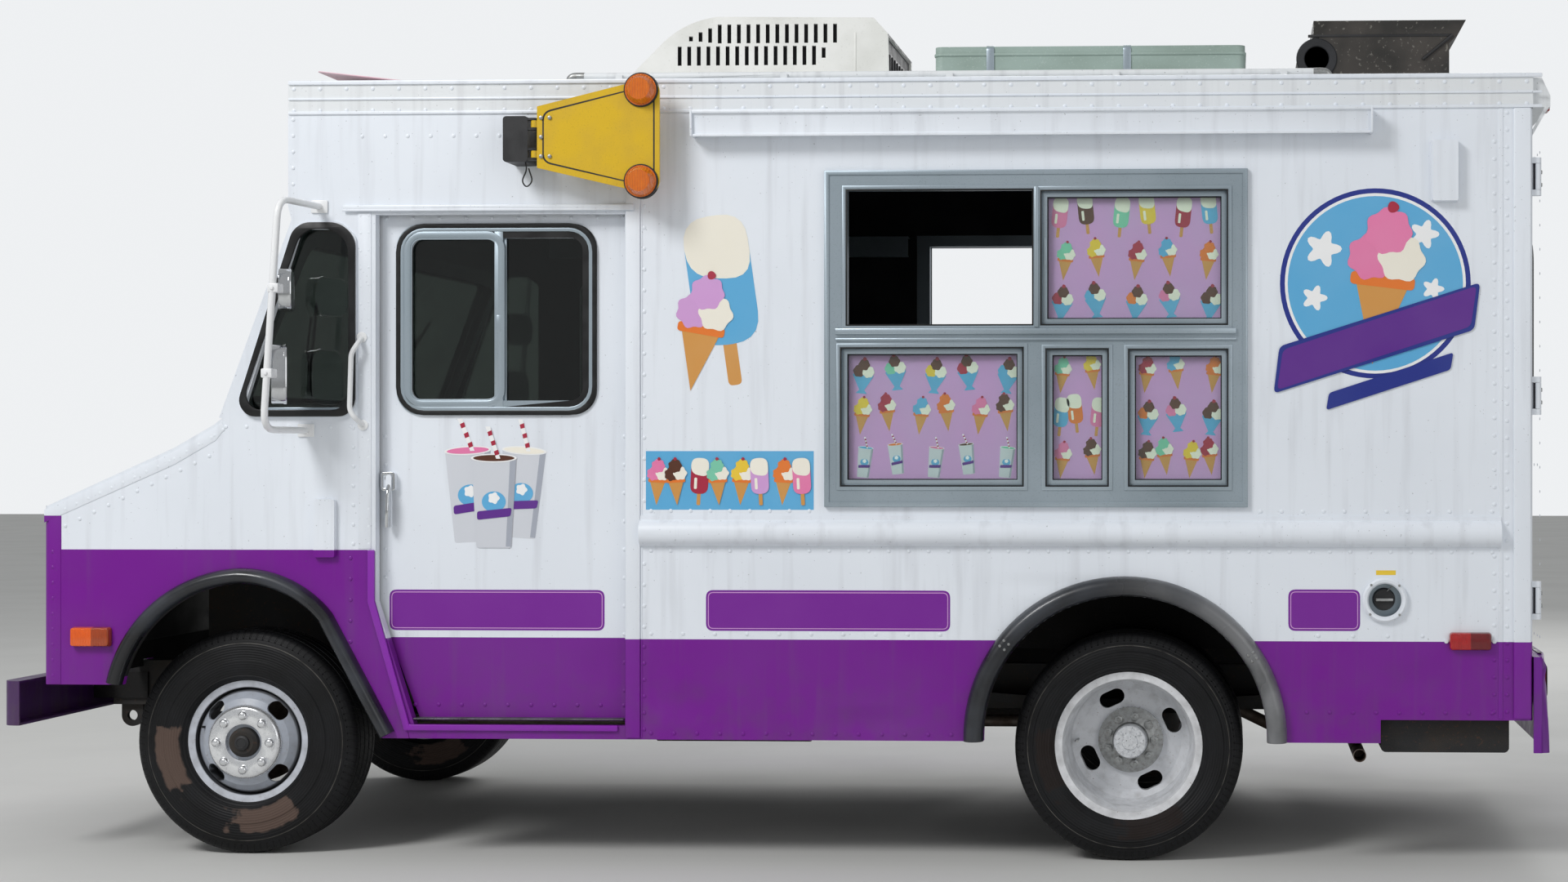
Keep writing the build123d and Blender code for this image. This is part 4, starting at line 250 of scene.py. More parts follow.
@dataclass(frozen=True)
class CoachEnamel(Finish):
    """Coach enamel brushed over riveted aluminium sheet.

    The brush leaves a soft sheen, the thin sheet waves between its rivets, rain draws grey streaks down it
    and the road throws dust on its lowest part.
    """

    upper: str = "#ebf0f7"
    lower: str = "#760a92"
    line_z: float = -1.0
    front_x: float = -99.0
    front_lift: float = 0.0
    grime: float = 0.35
    gloss: float = 0.30
    dents: tuple[Dent, ...] = ()

    def lay(self, tree: Tree, shader: Shader) -> None:
        """Lay two colours with streaks, dust, chips, sheet waves and dents."""
        coordinates = add_node(tree, "TexCoord").outputs["Object"]
        place = add_node(tree, "SeparateXYZ", {0: coordinates})
        ahead = add_node(tree, "Math", {0: place.outputs["X"], 1: self.front_x}, operation="LESS_THAN")
        line = add_node(
            tree, "Math", {0: ahead.outputs[0], 1: self.front_lift, 2: self.line_z},
            operation="MULTIPLY_ADD",
        )
        above = add_node(
            tree, "Math", {0: place.outputs["Z"], 1: line.outputs[0]}, operation="GREATER_THAN"
        )
        colour = self.film(tree, self.lower, self.upper, above.outputs[0], 1.0)
        colour = self.film(tree, colour, "#7f8796", self.patches(tree, 600, 0.38, 0.75), 0.07)
        colour = self.film(
            tree, colour, "#665f66", self.patches(tree, 700, 0.52, 0.78, (16, 16, 1)), 0.45 * self.grime
        )
        low_down = {"Value": place.outputs["Z"], "From Min": 0.78, "From Max": 0.42}
        splash = add_node(tree, "MapRange", low_down).outputs["Result"]
        dust = add_node(
            tree, "Math", {0: splash, 1: self.patches(tree, 70, 0.42, 0.78)}, operation="MULTIPLY"
        ).outputs[0]
        colour = self.film(tree, colour, "#54494a", dust, 0.9 * self.grime)
        colour = self.film(
            tree, colour, "#4d4f52", self.patches(tree, 9, 0.74, 0.77, detail=1.0), self.grime
        )
        tree.links.new(colour, shader.inputs["Base Color"])
        brushed = self.patches(tree, 260)
        dull = add_node(tree, "Math", {0: dust, 1: 2.0, 2: brushed}, operation="MULTIPLY_ADD").outputs[0]
        self.wear(tree, shader, dull, self.gloss - 0.06, self.gloss + 0.12)
        # Sheet waves of a millimetre, brush marks of 0.03 mm, and the dents.
        heights = [
            (self.patches(tree, 330, detail=1.0), 0.0018),
            (self.patches(tree, 3, stretch=(0.25, 0.25, 1)), 0.00003),
        ]
        for dent in self.dents:
            scale = (1 / dent.half_width, 0.0, 1 / dent.half_height)
            shift = (-dent.x * scale[0], 0.0, -dent.z * scale[2])
            inputs = {"Vector": coordinates, "Location": shift, "Scale": scale}
            local = add_node(tree, "Mapping", inputs).outputs[0]
            reach = add_node(tree, "VectorMath", {0: local}, operation="LENGTH").outputs["Value"]
            hollow = {"Value": reach, "From Min": 1.0, "From Max": 0.0}
            sunk = add_node(tree, "MapRange", hollow, interpolation_type="SMOOTHSTEP").outputs["Result"]
            heights.append((sunk, -dent.depth))
        self.relief(tree, shader, heights)
        shader.inputs["Specular IOR Level"].default_value = 0.35
        shader.inputs["Coat Weight"].default_value = 0.1
        shader.inputs["Coat Roughness"].default_value = 0.2


@dataclass(frozen=True)
class Weathered(Finish):
    """A plain base colour worn by the weather, in clouds of a second colour with specks of a third.

    It serves moulded rubber, chassis paint, zinc plate, unit housings and moulded plastic: what differs is
    how wide the clouds are, how coarse the grain is and how far the surface shines. Clouds and specks are a
    width in mm and a share, the grain is a width in mm and a depth in metres, and rough is the roughness of
    the shiniest and of the dullest spots.
    """

    base: str = "#808080"
    cloud: str = "#606060"
    speck: str = "#404040"
    clouds: Point = (120, 0.5)
    specks: Point = (6, 0.4)
    grain: Point = (1.5, 0.0001)
    rough: Point = (0.5, 0.7)
    metallic: float = 0.0
    stretch: tuple[float, float, float] = (1.0, 1.0, 1.0)
    coat: float = 0.0
    chalk: str = ""
    chalk_x: Point = (0.0, 1.0)

    def lay(self, tree: Tree, shader: Shader) -> None:
        """Lay the base, its clouds, its specks and its grain."""
        clouds = self.patches(tree, self.clouds[0], 0.42, 0.68, self.stretch)
        colour = self.film(tree, self.base, self.cloud, clouds, self.clouds[1])
        specks = self.patches(tree, self.specks[0], 0.62, 0.7, detail=2.0)
        colour = self.film(tree, colour, self.speck, specks, self.specks[1])
        if self.chalk:
            coordinates = add_node(tree, "TexCoord").outputs["Object"]
            station = add_node(tree, "SeparateXYZ", {0: coordinates}).outputs["X"]
            faded = {"Value": station, "From Min": self.chalk_x[0], "From Max": self.chalk_x[1]}
            faded = add_node(tree, "MapRange", faded).outputs["Result"]
            pale_film = {0: faded, 1: self.patches(tree, 150, 0.1, 0.55)}
            pale_film = add_node(tree, "Math", pale_film, operation="MULTIPLY").outputs[0]
            colour = self.film(tree, colour, self.chalk, pale_film, 0.7)
        tree.links.new(colour, shader.inputs["Base Color"])
        self.wear(tree, shader, clouds, *self.rough)
        grain = self.patches(tree, self.grain[0], stretch=self.stretch, detail=2.0)
        self.relief(tree, shader, [(grain, self.grain[1])])
        shader.inputs["Metallic"].default_value = self.metallic
        shader.inputs["Coat Weight"].default_value = self.coat


@dataclass(frozen=True)
class TyreRubber(Finish):
    """Vulcanised tyre rubber: black, with moulded rings on its side, siped tread, dust and dried mud.

    The rings and sipes are cut in the mould, so they follow the wheel's radius and angle. The mud dries in
    two arcs low on the side, which faces ahead and down.
    """

    centre_x: float = 0.0
    radius: float = 0.4
    mud: float = 0.5
    mud_band: Point = (0.25, 0.335)

    def lay(self, tree: Tree, shader: Shader) -> None:
        """Lay the rubber, its dust and mud, and its moulded relief."""
        local, reach = self.around(tree, self.centre_x, self.radius)
        part = add_node(tree, "SeparateXYZ", {0: local})
        angle = {0: part.outputs["Z"], 1: part.outputs["X"]}
        angle = add_node(tree, "Math", angle, operation="ARCTAN2").outputs[0]
        colour = self.film(tree, "#08080a", "#1a1b1f", self.patches(tree, 90, 0.35, 0.8), 0.55)
        # The arcs lie 17 to 69 degrees to each side of the direction that points down and ahead.
        downward = {0: local, 1: (-0.519, 0.0, -0.855)}
        along = add_node(tree, "VectorMath", downward, operation="DOT_PRODUCT").outputs["Value"]
        lean = add_node(tree, "Math", {0: along, 1: reach}, operation="DIVIDE").outputs[0]
        crumbs = self.patches(tree, 45, 0.25, 0.75, detail=6.0)
        ragged = add_node(tree, "Math", {0: crumbs, 1: 0.20, 2: lean}, operation="MULTIPLY_ADD").outputs[0]
        edge = add_node(tree, "Math", {0: crumbs, 1: 0.016, 2: reach}, operation="MULTIPLY_ADD").outputs[0]
        arcs = {
            0: self.band(tree, ragged, 0.45, 1.0, 0.02), 1: self.band(tree, edge, *self.mud_band, 0.004)
        }
        mud = add_node(tree, "Math", arcs, operation="MULTIPLY").outputs[0]
        colour = self.film(tree, colour, "#63524a", mud, self.mud)
        # A thin pale line on the edge of the moulded step, 47.5 to 50 mm inside the tread and broken by the
        # crumbs, is a painted highlight.
        pale_film = {0: self.band(tree, reach, self.radius - 0.050, self.radius - 0.0475, 0.0006), 1: crumbs}
        pale_film = add_node(tree, "Math", pale_film, operation="MULTIPLY").outputs[0]
        colour = self.film(tree, colour, "#9a968e", pale_film, 0.5)
        tree.links.new(colour, shader.inputs["Base Color"])
        self.wear(tree, shader, mud, 0.55, 0.9)
        shader.inputs["Specular IOR Level"].default_value = 0.3
        # Moulded rings 9 mm apart on the side, and sipes every 3.6 degrees in the shoulder and tread.
        ring = {0: reach, 1: 2 * math.pi / (9 * MM)}
        ring = add_node(tree, "Math", ring, operation="MULTIPLY").outputs[0]
        ring = add_node(tree, "Math", {0: ring}, operation="SINE").outputs[0]
        side = {0: ring, 1: self.band(tree, reach, 0.0, self.radius - 0.03, 0.018)}
        ring = add_node(tree, "Math", side, operation="MULTIPLY").outputs[0]
        turn = add_node(tree, "Math", {0: angle, 1: 100.0}, operation="MULTIPLY").outputs[0]
        wave = {0: part.outputs["Y"], 1: 90.0, 2: turn}
        wave = add_node(tree, "Math", wave, operation="MULTIPLY_ADD").outputs[0]
        sipe = add_node(tree, "Math", {0: wave}, operation="SINE").outputs[0]
        cuts = {
            0: self.band(tree, sipe, 0.81, 1.1, 0.09),
            1: self.band(tree, reach, self.radius - 0.032, 1.0, 0.002),
        }
        sipe = add_node(tree, "Math", cuts, operation="MULTIPLY").outputs[0]
        self.relief(tree, shader, [(ring, 0.0004), (sipe, -0.006), (self.patches(tree, 2.5), 0.0003)])


@dataclass(frozen=True)
class WheelEnamel(Finish):
    """Stoved enamel on pressed steel wheels: brake dust in the corners, rust specks and toned bands.

    A band is an inner and outer radius, a colour and a share; a dark band in a rim's gutter is painted shade and
    a bright band on its flange is a painted highlight.
    """

    centre_x: float = 0.0
    centre_z: float = 0.4
    radius: float = 0.22
    base: str = "#d3d4d5"
    bands: tuple[tuple[float, float, str, float], ...] = ()

    def lay(self, tree: Tree, shader: Shader) -> None:
        """Lay the enamel with its bands, rings of dust and specks of rust."""
        _, reach = self.around(tree, self.centre_x, self.centre_z)
        corner = self.band(tree, reach, self.radius * 0.75, self.radius * 1.5, self.radius * 0.2)
        dirt = {0: corner, 1: self.patches(tree, 45, 0.3, 0.75)}
        dirt = add_node(tree, "Math", dirt, operation="MULTIPLY").outputs[0]
        colour = self.film(tree, self.base, "#7d7972", self.patches(tree, 30, 0.5, 0.8), 0.3)
        # Each band is painted light: dark in a rim's gutter as painted shade, bright on its flange as a painted
        # highlight.
        for inner, outer, tone, share in self.bands:
            colour = self.film(tree, colour, tone, self.band(tree, reach, inner, outer, 0.002), share)
        colour = self.film(tree, colour, "#55524e", dirt, 0.4)
        colour = self.film(tree, colour, "#6b4028", self.patches(tree, 7, 0.68, 0.72, detail=4.0), 0.6)
        tree.links.new(colour, shader.inputs["Base Color"])
        self.wear(tree, shader, dirt, 0.3, 0.7)
        self.relief(tree, shader, [(self.patches(tree, 4), 0.0002)])


@dataclass(frozen=True)
class FloatGlass(Finish):
    """Tinted float glass: clear inside, with a thin dusty film that dries in spots."""

    tint: str = "#a8b8ae"
    dust: float = 0.12

    def lay(self, tree: Tree, shader: Shader) -> None:
        """Lay the tint and the film of dust, and let the lamps shine through."""
        film = self.patches(tree, 160, 0.4, 0.8, detail=5.0)
        tree.links.new(self.film(tree, self.tint, "#cfcabf", film, self.dust), shader.inputs["Base Color"])
        self.wear(tree, shader, film, 0.02, 0.02 + self.dust)
        shader.inputs["Transmission Weight"].default_value = 1.0
        shader.inputs["IOR"].default_value = 1.45
        output = next(node for node in tree.nodes if node.type == "OUTPUT_MATERIAL")
        rays = add_node(tree, "LightPath")
        clear = add_node(tree, "BsdfTransparent", {"Color": linear(self.tint)})
        both = {0: rays.outputs["Is Shadow Ray"], 1: shader.outputs["BSDF"], 2: clear.outputs[0]}
        lit = add_node(tree, "MixShader", both)
        tree.links.new(lit.outputs[0], output.inputs["Surface"])


@dataclass(frozen=True)
class LampLens(Finish):
    """Injection-moulded acrylic lens: deep colour with fine prism ribs moulded inside."""

    colour: str = "#e8741a"
    deep: str = "#9c3a08"
    rib_mm: float = 7
    across: tuple[float, float, float] = (1.0, 0.0, 0.0)
    clear: float = 0.25

    def lay(self, tree: Tree, shader: Shader) -> None:
        """Lay the colour, a little depth of tone and the ribs."""
        colour = self.film(tree, self.colour, self.deep, self.patches(tree, 18, 0.3, 0.8), 0.4)
        tree.links.new(colour, shader.inputs["Base Color"])
        coordinates = add_node(tree, "TexCoord").outputs["Object"]
        along = add_node(tree, "VectorMath", {0: coordinates, 1: self.across}, operation="DOT_PRODUCT")
        turns = {0: along.outputs["Value"], 1: 2 * math.pi / (self.rib_mm * MM)}
        phase = add_node(tree, "Math", turns, operation="MULTIPLY").outputs[0]
        rib = add_node(tree, "Math", {0: phase}, operation="SINE").outputs[0]
        self.relief(tree, shader, [(rib, 0.0006)])
        shader.inputs["Roughness"].default_value = 0.16
        shader.inputs["Transmission Weight"].default_value = self.clear
        shader.inputs["IOR"].default_value = 1.49
        shader.inputs["Coat Weight"].default_value = 0.5


@dataclass(frozen=True)
class PrintedVinyl(Finish):
    """Screen-printed vinyl film: flat ink with a faint dot screen, a little faded by the sun."""

    ink: str = "#ffffff"
    fade: str = "#dddddd"
    fade_share: float = 0.18

    def lay(self, tree: Tree, shader: Shader) -> None:
        """Lay the ink, the fading and the dot screen."""
        sun = self.patches(tree, 220, 0.35, 0.75)
        colour = self.film(tree, self.ink, self.fade, sun, self.fade_share)
        # The real dot screen is 0.3 mm apart; it is drawn at 2 mm so that it shows at all.
        coordinates = add_node(tree, "TexCoord").outputs["Object"]
        screen = add_node(
            tree, "TexVoronoi", {"Vector": coordinates, "Scale": 1 / (2 * MM), "Randomness": 0.1}
        )
        dot = {"Value": screen.outputs["Distance"], "From Min": 0.25, "From Max": 0.5}
        dots = add_node(tree, "MapRange", dot).outputs["Result"]
        tree.links.new(self.film(tree, colour, "#202020", dots, 0.06), shader.inputs["Base Color"])
        self.wear(tree, shader, sun, 0.3, 0.45)


@dataclass(frozen=True)
class TreadPlate(Finish):
    """Rolled aluminium tread plate: dull grey with raised bars in two directions, 30 mm apart."""

    def lay(self, tree: Tree, shader: Shader) -> None:
        """Lay the scuffed metal and its raised bars."""
        coordinates = add_node(tree, "TexCoord").outputs["Object"]
        scuff = self.patches(tree, 60, 0.3, 0.8)
        tree.links.new(self.film(tree, "#8d8e90", "#55534f", scuff, 1.0), shader.inputs["Base Color"])
        part = add_node(tree, "SeparateXYZ", {0: coordinates})
        waves = []
        for sign in (1.0, -1.0):
            slope = {0: part.outputs["Y"], 1: sign, 2: part.outputs["X"]}
            slant = add_node(tree, "Math", slope, operation="MULTIPLY_ADD").outputs[0]
            turns = {0: slant, 1: 2 * math.pi / (30 * MM)}
            phase = add_node(tree, "Math", turns, operation="MULTIPLY").outputs[0]
            waves.append(add_node(tree, "Math", {0: phase}, operation="SINE").outputs[0])
        crossed = add_node(tree, "Math", {0: waves[0], 1: waves[1]}, operation="MAXIMUM").outputs[0]
        raised = {"Value": crossed, "From Min": 0.82, "From Max": 0.95}
        bars = add_node(tree, "MapRange", raised).outputs["Result"]
        self.relief(tree, shader, [(bars, 0.0015)])
        self.wear(tree, shader, scuff, 0.35, 0.6)
        shader.inputs["Metallic"].default_value = 0.85


class Paint:
    """The finishes that more than one piece shares."""

    # Coach enamels: brushed white on the sheets, glossy purple on the door's edging, a duller white on the
    # roof, and a hard sprayed white on the mirror tubes.
    white = CoachEnamel("white_coach_enamel")
    trim = CoachEnamel("bright_purple_enamel", upper="#8a22ac", grime=0.2, gloss=0.26)
    roof = CoachEnamel("roof_enamel", upper="#e6e9eb", grime=0.5, gloss=0.42)
    arm = CoachEnamel("white_tube_enamel", upper="#f2f3f4", grime=0.15, gloss=0.22)
    # Sprayed bitumen under the body and in the arches: dead black with a coarse skin.
    underseal = Weathered(
        "sprayed_underseal", "#0e0e0f", "#1c1a18", "#2b241e", clouds=(150, 0.6), specks=(9, 0.4),
        grain=(5, 0.0008), rough=(0.8, 0.95),
    )
    # Lining boards of the cab and the load space: a dull dark grey, which is painted shade standing for the dim
    # inside.
    lining = Weathered(
        "lining_board_painted_shade", "#34333a", "#26262a", "#55555a", clouds=(300, 0.5), specks=(6, 0.2),
        grain=(3, 0.0001), rough=(0.6, 0.8),
    )
    # Glazing rubber stays black, with a dull shine.
    gasket = Weathered(
        "glazing_rubber", "#09090a", "#1a1b1d", "#040404", clouds=(60, 0.4), grain=(1.5, 0.0001),
        rough=(0.36, 0.55),
    )
    # Drawn and anodised aluminium: fine lines along the draw and a dull grey film.
    anodised = Weathered(
        "anodised_aluminium", "#adbac3", "#87949c", "#5f6a6f", clouds=(420, 0.6), specks=(4, 0.25),
        grain=(1.2, 0.00004), rough=(0.30, 0.46), metallic=0.6,
    )
    # Chrome plate: a mirror with faint pitting.
    chrome = Weathered(
        "chrome_plate", "#d6d8da", "#b9bcbf", "#7d7a74", clouds=(40, 0.3), specks=(3, 0.25),
        grain=(3, 0.00002), rough=(0.06, 0.18), metallic=1.0,
    )
    # Zinc-plated steel goes milky, with a little rust at its edges.
    zinc = Weathered(
        "zinc_plated_steel", "#a9abab", "#8b8a86", "#6a4a34", clouds=(14, 0.6), specks=(4, 0.5),
        grain=(1.5, 0.0001), rough=(0.35, 0.55), metallic=0.8,
    )
    # Chassis paint under years of road dust, oil and rust.
    chassis = Weathered(
        "chassis_paint", "#151516", "#3a342e", "#4a2f20", clouds=(110, 0.7), specks=(12, 0.6),
        grain=(3, 0.0004), rough=(0.6, 0.85),
    )
    # Aluminised exhaust steel browned by heat.
    exhaust = Weathered(
        "aluminised_steel", "#6b625a", "#4a352a", "#2c2320", clouds=(70, 0.8), specks=(6, 0.6),
        grain=(2.5, 0.0003), rough=(0.5, 0.8), metallic=0.6,
    )
    # Vacuum-formed plastic housing, chalked by the sun.
    housing = Weathered(
        "formed_plastic_housing", "#eeeeea", "#d2d2cb", "#b0ada2", clouds=(180, 0.5), specks=(10, 0.2),
        grain=(2, 0.00008), rough=(0.42, 0.6),
    )
    # Glass-fibre box, translucent green-white, with the strands showing.
    fibreglass = Weathered(
        "glass_fibre_laminate", "#a2b5ad", "#87998f", "#c3d0c9", clouds=(260, 0.7), specks=(7, 0.35),
        grain=(5, 0.0003), rough=(0.38, 0.6), stretch=(1.0, 1.0, 2.0),
    )
    # Black powder coat on folded steel.
    powder = Weathered(
        "black_powder_coat", "#1c1c1e", "#38383a", "#101010", clouds=(90, 0.5), grain=(1.8, 0.00015),
        rough=(0.45, 0.62),
    )
    # Grained ABS mouldings of the cab.
    abs_plastic = Weathered(
        "grained_abs", "#222326", "#34353a", "#15151a", clouds=(80, 0.5), grain=(1.6, 0.00025),
        rough=(0.5, 0.65),
    )
    # Reflective sheeting on the swing-out plate: a warm yellow with dirt in its corners.
    sign_yellow = Weathered(
        "reflective_yellow_sheeting", "#dcb413", "#c09a10", "#7a5a14", clouds=(120, 0.45), specks=(5, 0.35),
        grain=(2.2, 0.00012), rough=(0.32, 0.5), coat=0.3,
    )
    # Embossed seat vinyl: dark red with a coarse grain and a dull shine.
    seat_vinyl = Weathered(
        "embossed_vinyl", "#7d1a1c", "#5c1214", "#3c0c0d", clouds=(70, 0.5), specks=(3, 0.3),
        grain=(2.2, 0.0004), rough=(0.38, 0.55),
    )
    # Silvered mirror glass under a film of dust.
    mirror_glass = Weathered(
        "silvered_glass", "#a5adaf", "#87908f", "#5f6365", clouds=(120, 0.4), specks=(5, 0.15),
        grain=(4, 0.000005), rough=(0.08, 0.16), metallic=0.5,
    )
    # Bright cast alloy and hot-dip galvanised steel: silver-white with a coarse dark spangle.
    alloy = Weathered(
        "bright_cast_alloy", "#eeeff1", "#c9ccd0", "#85888d", clouds=(26, 0.5), specks=(4, 0.35),
        grain=(2, 0.0001), rough=(0.16, 0.34), metallic=0.8,
    )
    galvanised = Weathered(
        "galvanised_hub", "#dfe1e4", "#b9bcc0", "#53565a", clouds=(12, 0.6), specks=(7, 0.85),
        grain=(3, 0.0003), rough=(0.3, 0.5), metallic=0.35,
    )
    # Float glass: smoked in the cab, nearly clear in the serving windows.
    cab_glass = FloatGlass("smoked_float_glass", "#626b66", 0.04)
    hatch_glass = FloatGlass("clear_float_glass", "#dde6e2", 0.03)
    # Tread plate on the deck and the steps.
    tread_plate = TreadPlate("rolled_tread_plate")
    # A spare printed board left face down on the roof, bleached to a pale pink.
    board = PrintedVinyl("bleached_board", "#e6b7c4", "#e3dcdf", 0.6)
    # Acrylic lenses, of lamps that are off: amber, red and clear, each with its own rib width.
    amber = LampLens("amber_acrylic", "#f4801c", "#d2560c", rib_mm=9)
    amber_side = LampLens("amber_marker_acrylic", "#b8480f", "#7c2c08", rib_mm=6, clear=0.1)
    red = LampLens("red_acrylic", "#c01418", "#7c0a10", rib_mm=6, clear=0.1)
    dark_red = LampLens("dark_red_acrylic", "#83141c", "#4c0a10", rib_mm=3, clear=0.05)
    headlamp = LampLens(
        "fluted_headlamp_glass", "#dfe3e4", "#aab0b2", rib_mm=8, across=(0.0, 1.0, 0.0), clear=0.75
    )


class Ink(Enum):
    """The inks of the printed pictures and labels."""

    CREAM = ("#fbf6e8", "#e8dfc8")
    PINK = ("#ee7fb0", "#e7a9c6")
    LILAC = ("#d9a3dc", "#c9b0d6")
    PURPLE = ("#5f2590", "#7a4f9d")
    MAGENTA = ("#7b1a9b", "#8b3aa6")
    CUP = ("#d9dce3", "#c9cdd6")
    SHADE = ("#aeb3bf", "#a4a9b5")
    BERRY = ("#b02742", "#bb5566")
    CHOCOLATE = ("#5b3220", "#7a5340")
    WAFFLE = ("#d99a4e", "#dcb27c")
    MINT = ("#7fd0b0", "#a3d9c4")
    SKY = ("#5fb2e2", "#8fc3e2")
    NAVY = ("#20308c", "#41509c")
    YELLOW = ("#f5cf3d", "#efd77a")
    ORANGE = ("#ee7d2c", "#ea9a62")
    WHITE = ("#fbfbfb", "#e4e6e8")

    def finish(self) -> PrintedVinyl:
        """Return the printed film in this ink."""
        return PrintedVinyl(f"vinyl_{self.name.lower()}", self.value[0], self.value[1])


# Modelling bench


class Facing(Enum):
    """Which way a flat piece looks: its right, its up and its outward direction."""

    DRIVER = ((1, 0, 0), (0, 0, 1), (0, -1, 0))
    KERB = ((-1, 0, 0), (0, 0, 1), (0, 1, 0))
    FRONT = ((0, -1, 0), (0, 0, 1), (-1, 0, 0))
    REAR = ((0, 1, 0), (0, 0, 1), (1, 0, 0))
    UP = ((1, 0, 0), (0, 1, 0), (0, 0, 1))

    def place(self, at: Place) -> Matrix:
        """Return the matrix that lays a flat piece, drawn in X and Y, at a place."""
        right, up, out = (Vector(v) for v in self.value)
        return Matrix.Translation(Vector(at)) @ Matrix((right, up, out)).transposed().to_4x4()


def rounded(points: Sequence[Place], radius: float, steps: int = 5, closed: bool = True) -> list[Vector]:
    """Round the corners of a run of points with short curves.

    Args:
        points: the corners, in two or three dimensions.
        radius: how far from a corner its curve starts.
        steps: how many stretches each curve has.
        closed: whether the run joins its own start.

    Returns:
        The points of the rounded run.
    """
    corners = [Vector(p) for p in points]
    count = len(corners)
    made: list[Vector] = []
    for index, corner in enumerate(corners):
        if not closed and index in (0, count - 1):
            made.append(corner)
            continue
        before, after = corners[index - 1] - corner, corners[(index + 1) % count] - corner
        reach = min(radius, before.length * 0.49, after.length * 0.49)
        start, end = corner + before.normalized() * reach, corner + after.normalized() * reach
        for step in range(steps + 1):
            t = step / steps
            made.append(start * (1 - t) ** 2 + corner * (2 * t * (1 - t)) + end * t**2)
    return made


def arc(start: Place, middle: Place, end: Place, steps: int = 18) -> list[Vector]:
    """Return points on the arc that runs through three points of a plane."""
    a, b, c = (Vector(p) for p in (start, middle, end))
    ab, ac = b - a, c - a
    across = Vector((ac.y * ab.dot(ab) - ab.y * ac.dot(ac), ab.x * ac.dot(ac) - ac.x * ab.dot(ab)))
    centre = a + across / (2 * (ab.x * ac.y - ab.y * ac.x))
    first, last = (math.atan2(p.y - centre.y, p.x - centre.x) for p in (a, c))
    radius = (a - centre).length
    turns = [first + (last - first) * i / steps for i in range(steps + 1)]
    return [centre + Vector((math.cos(t), math.sin(t))) * radius for t in turns]


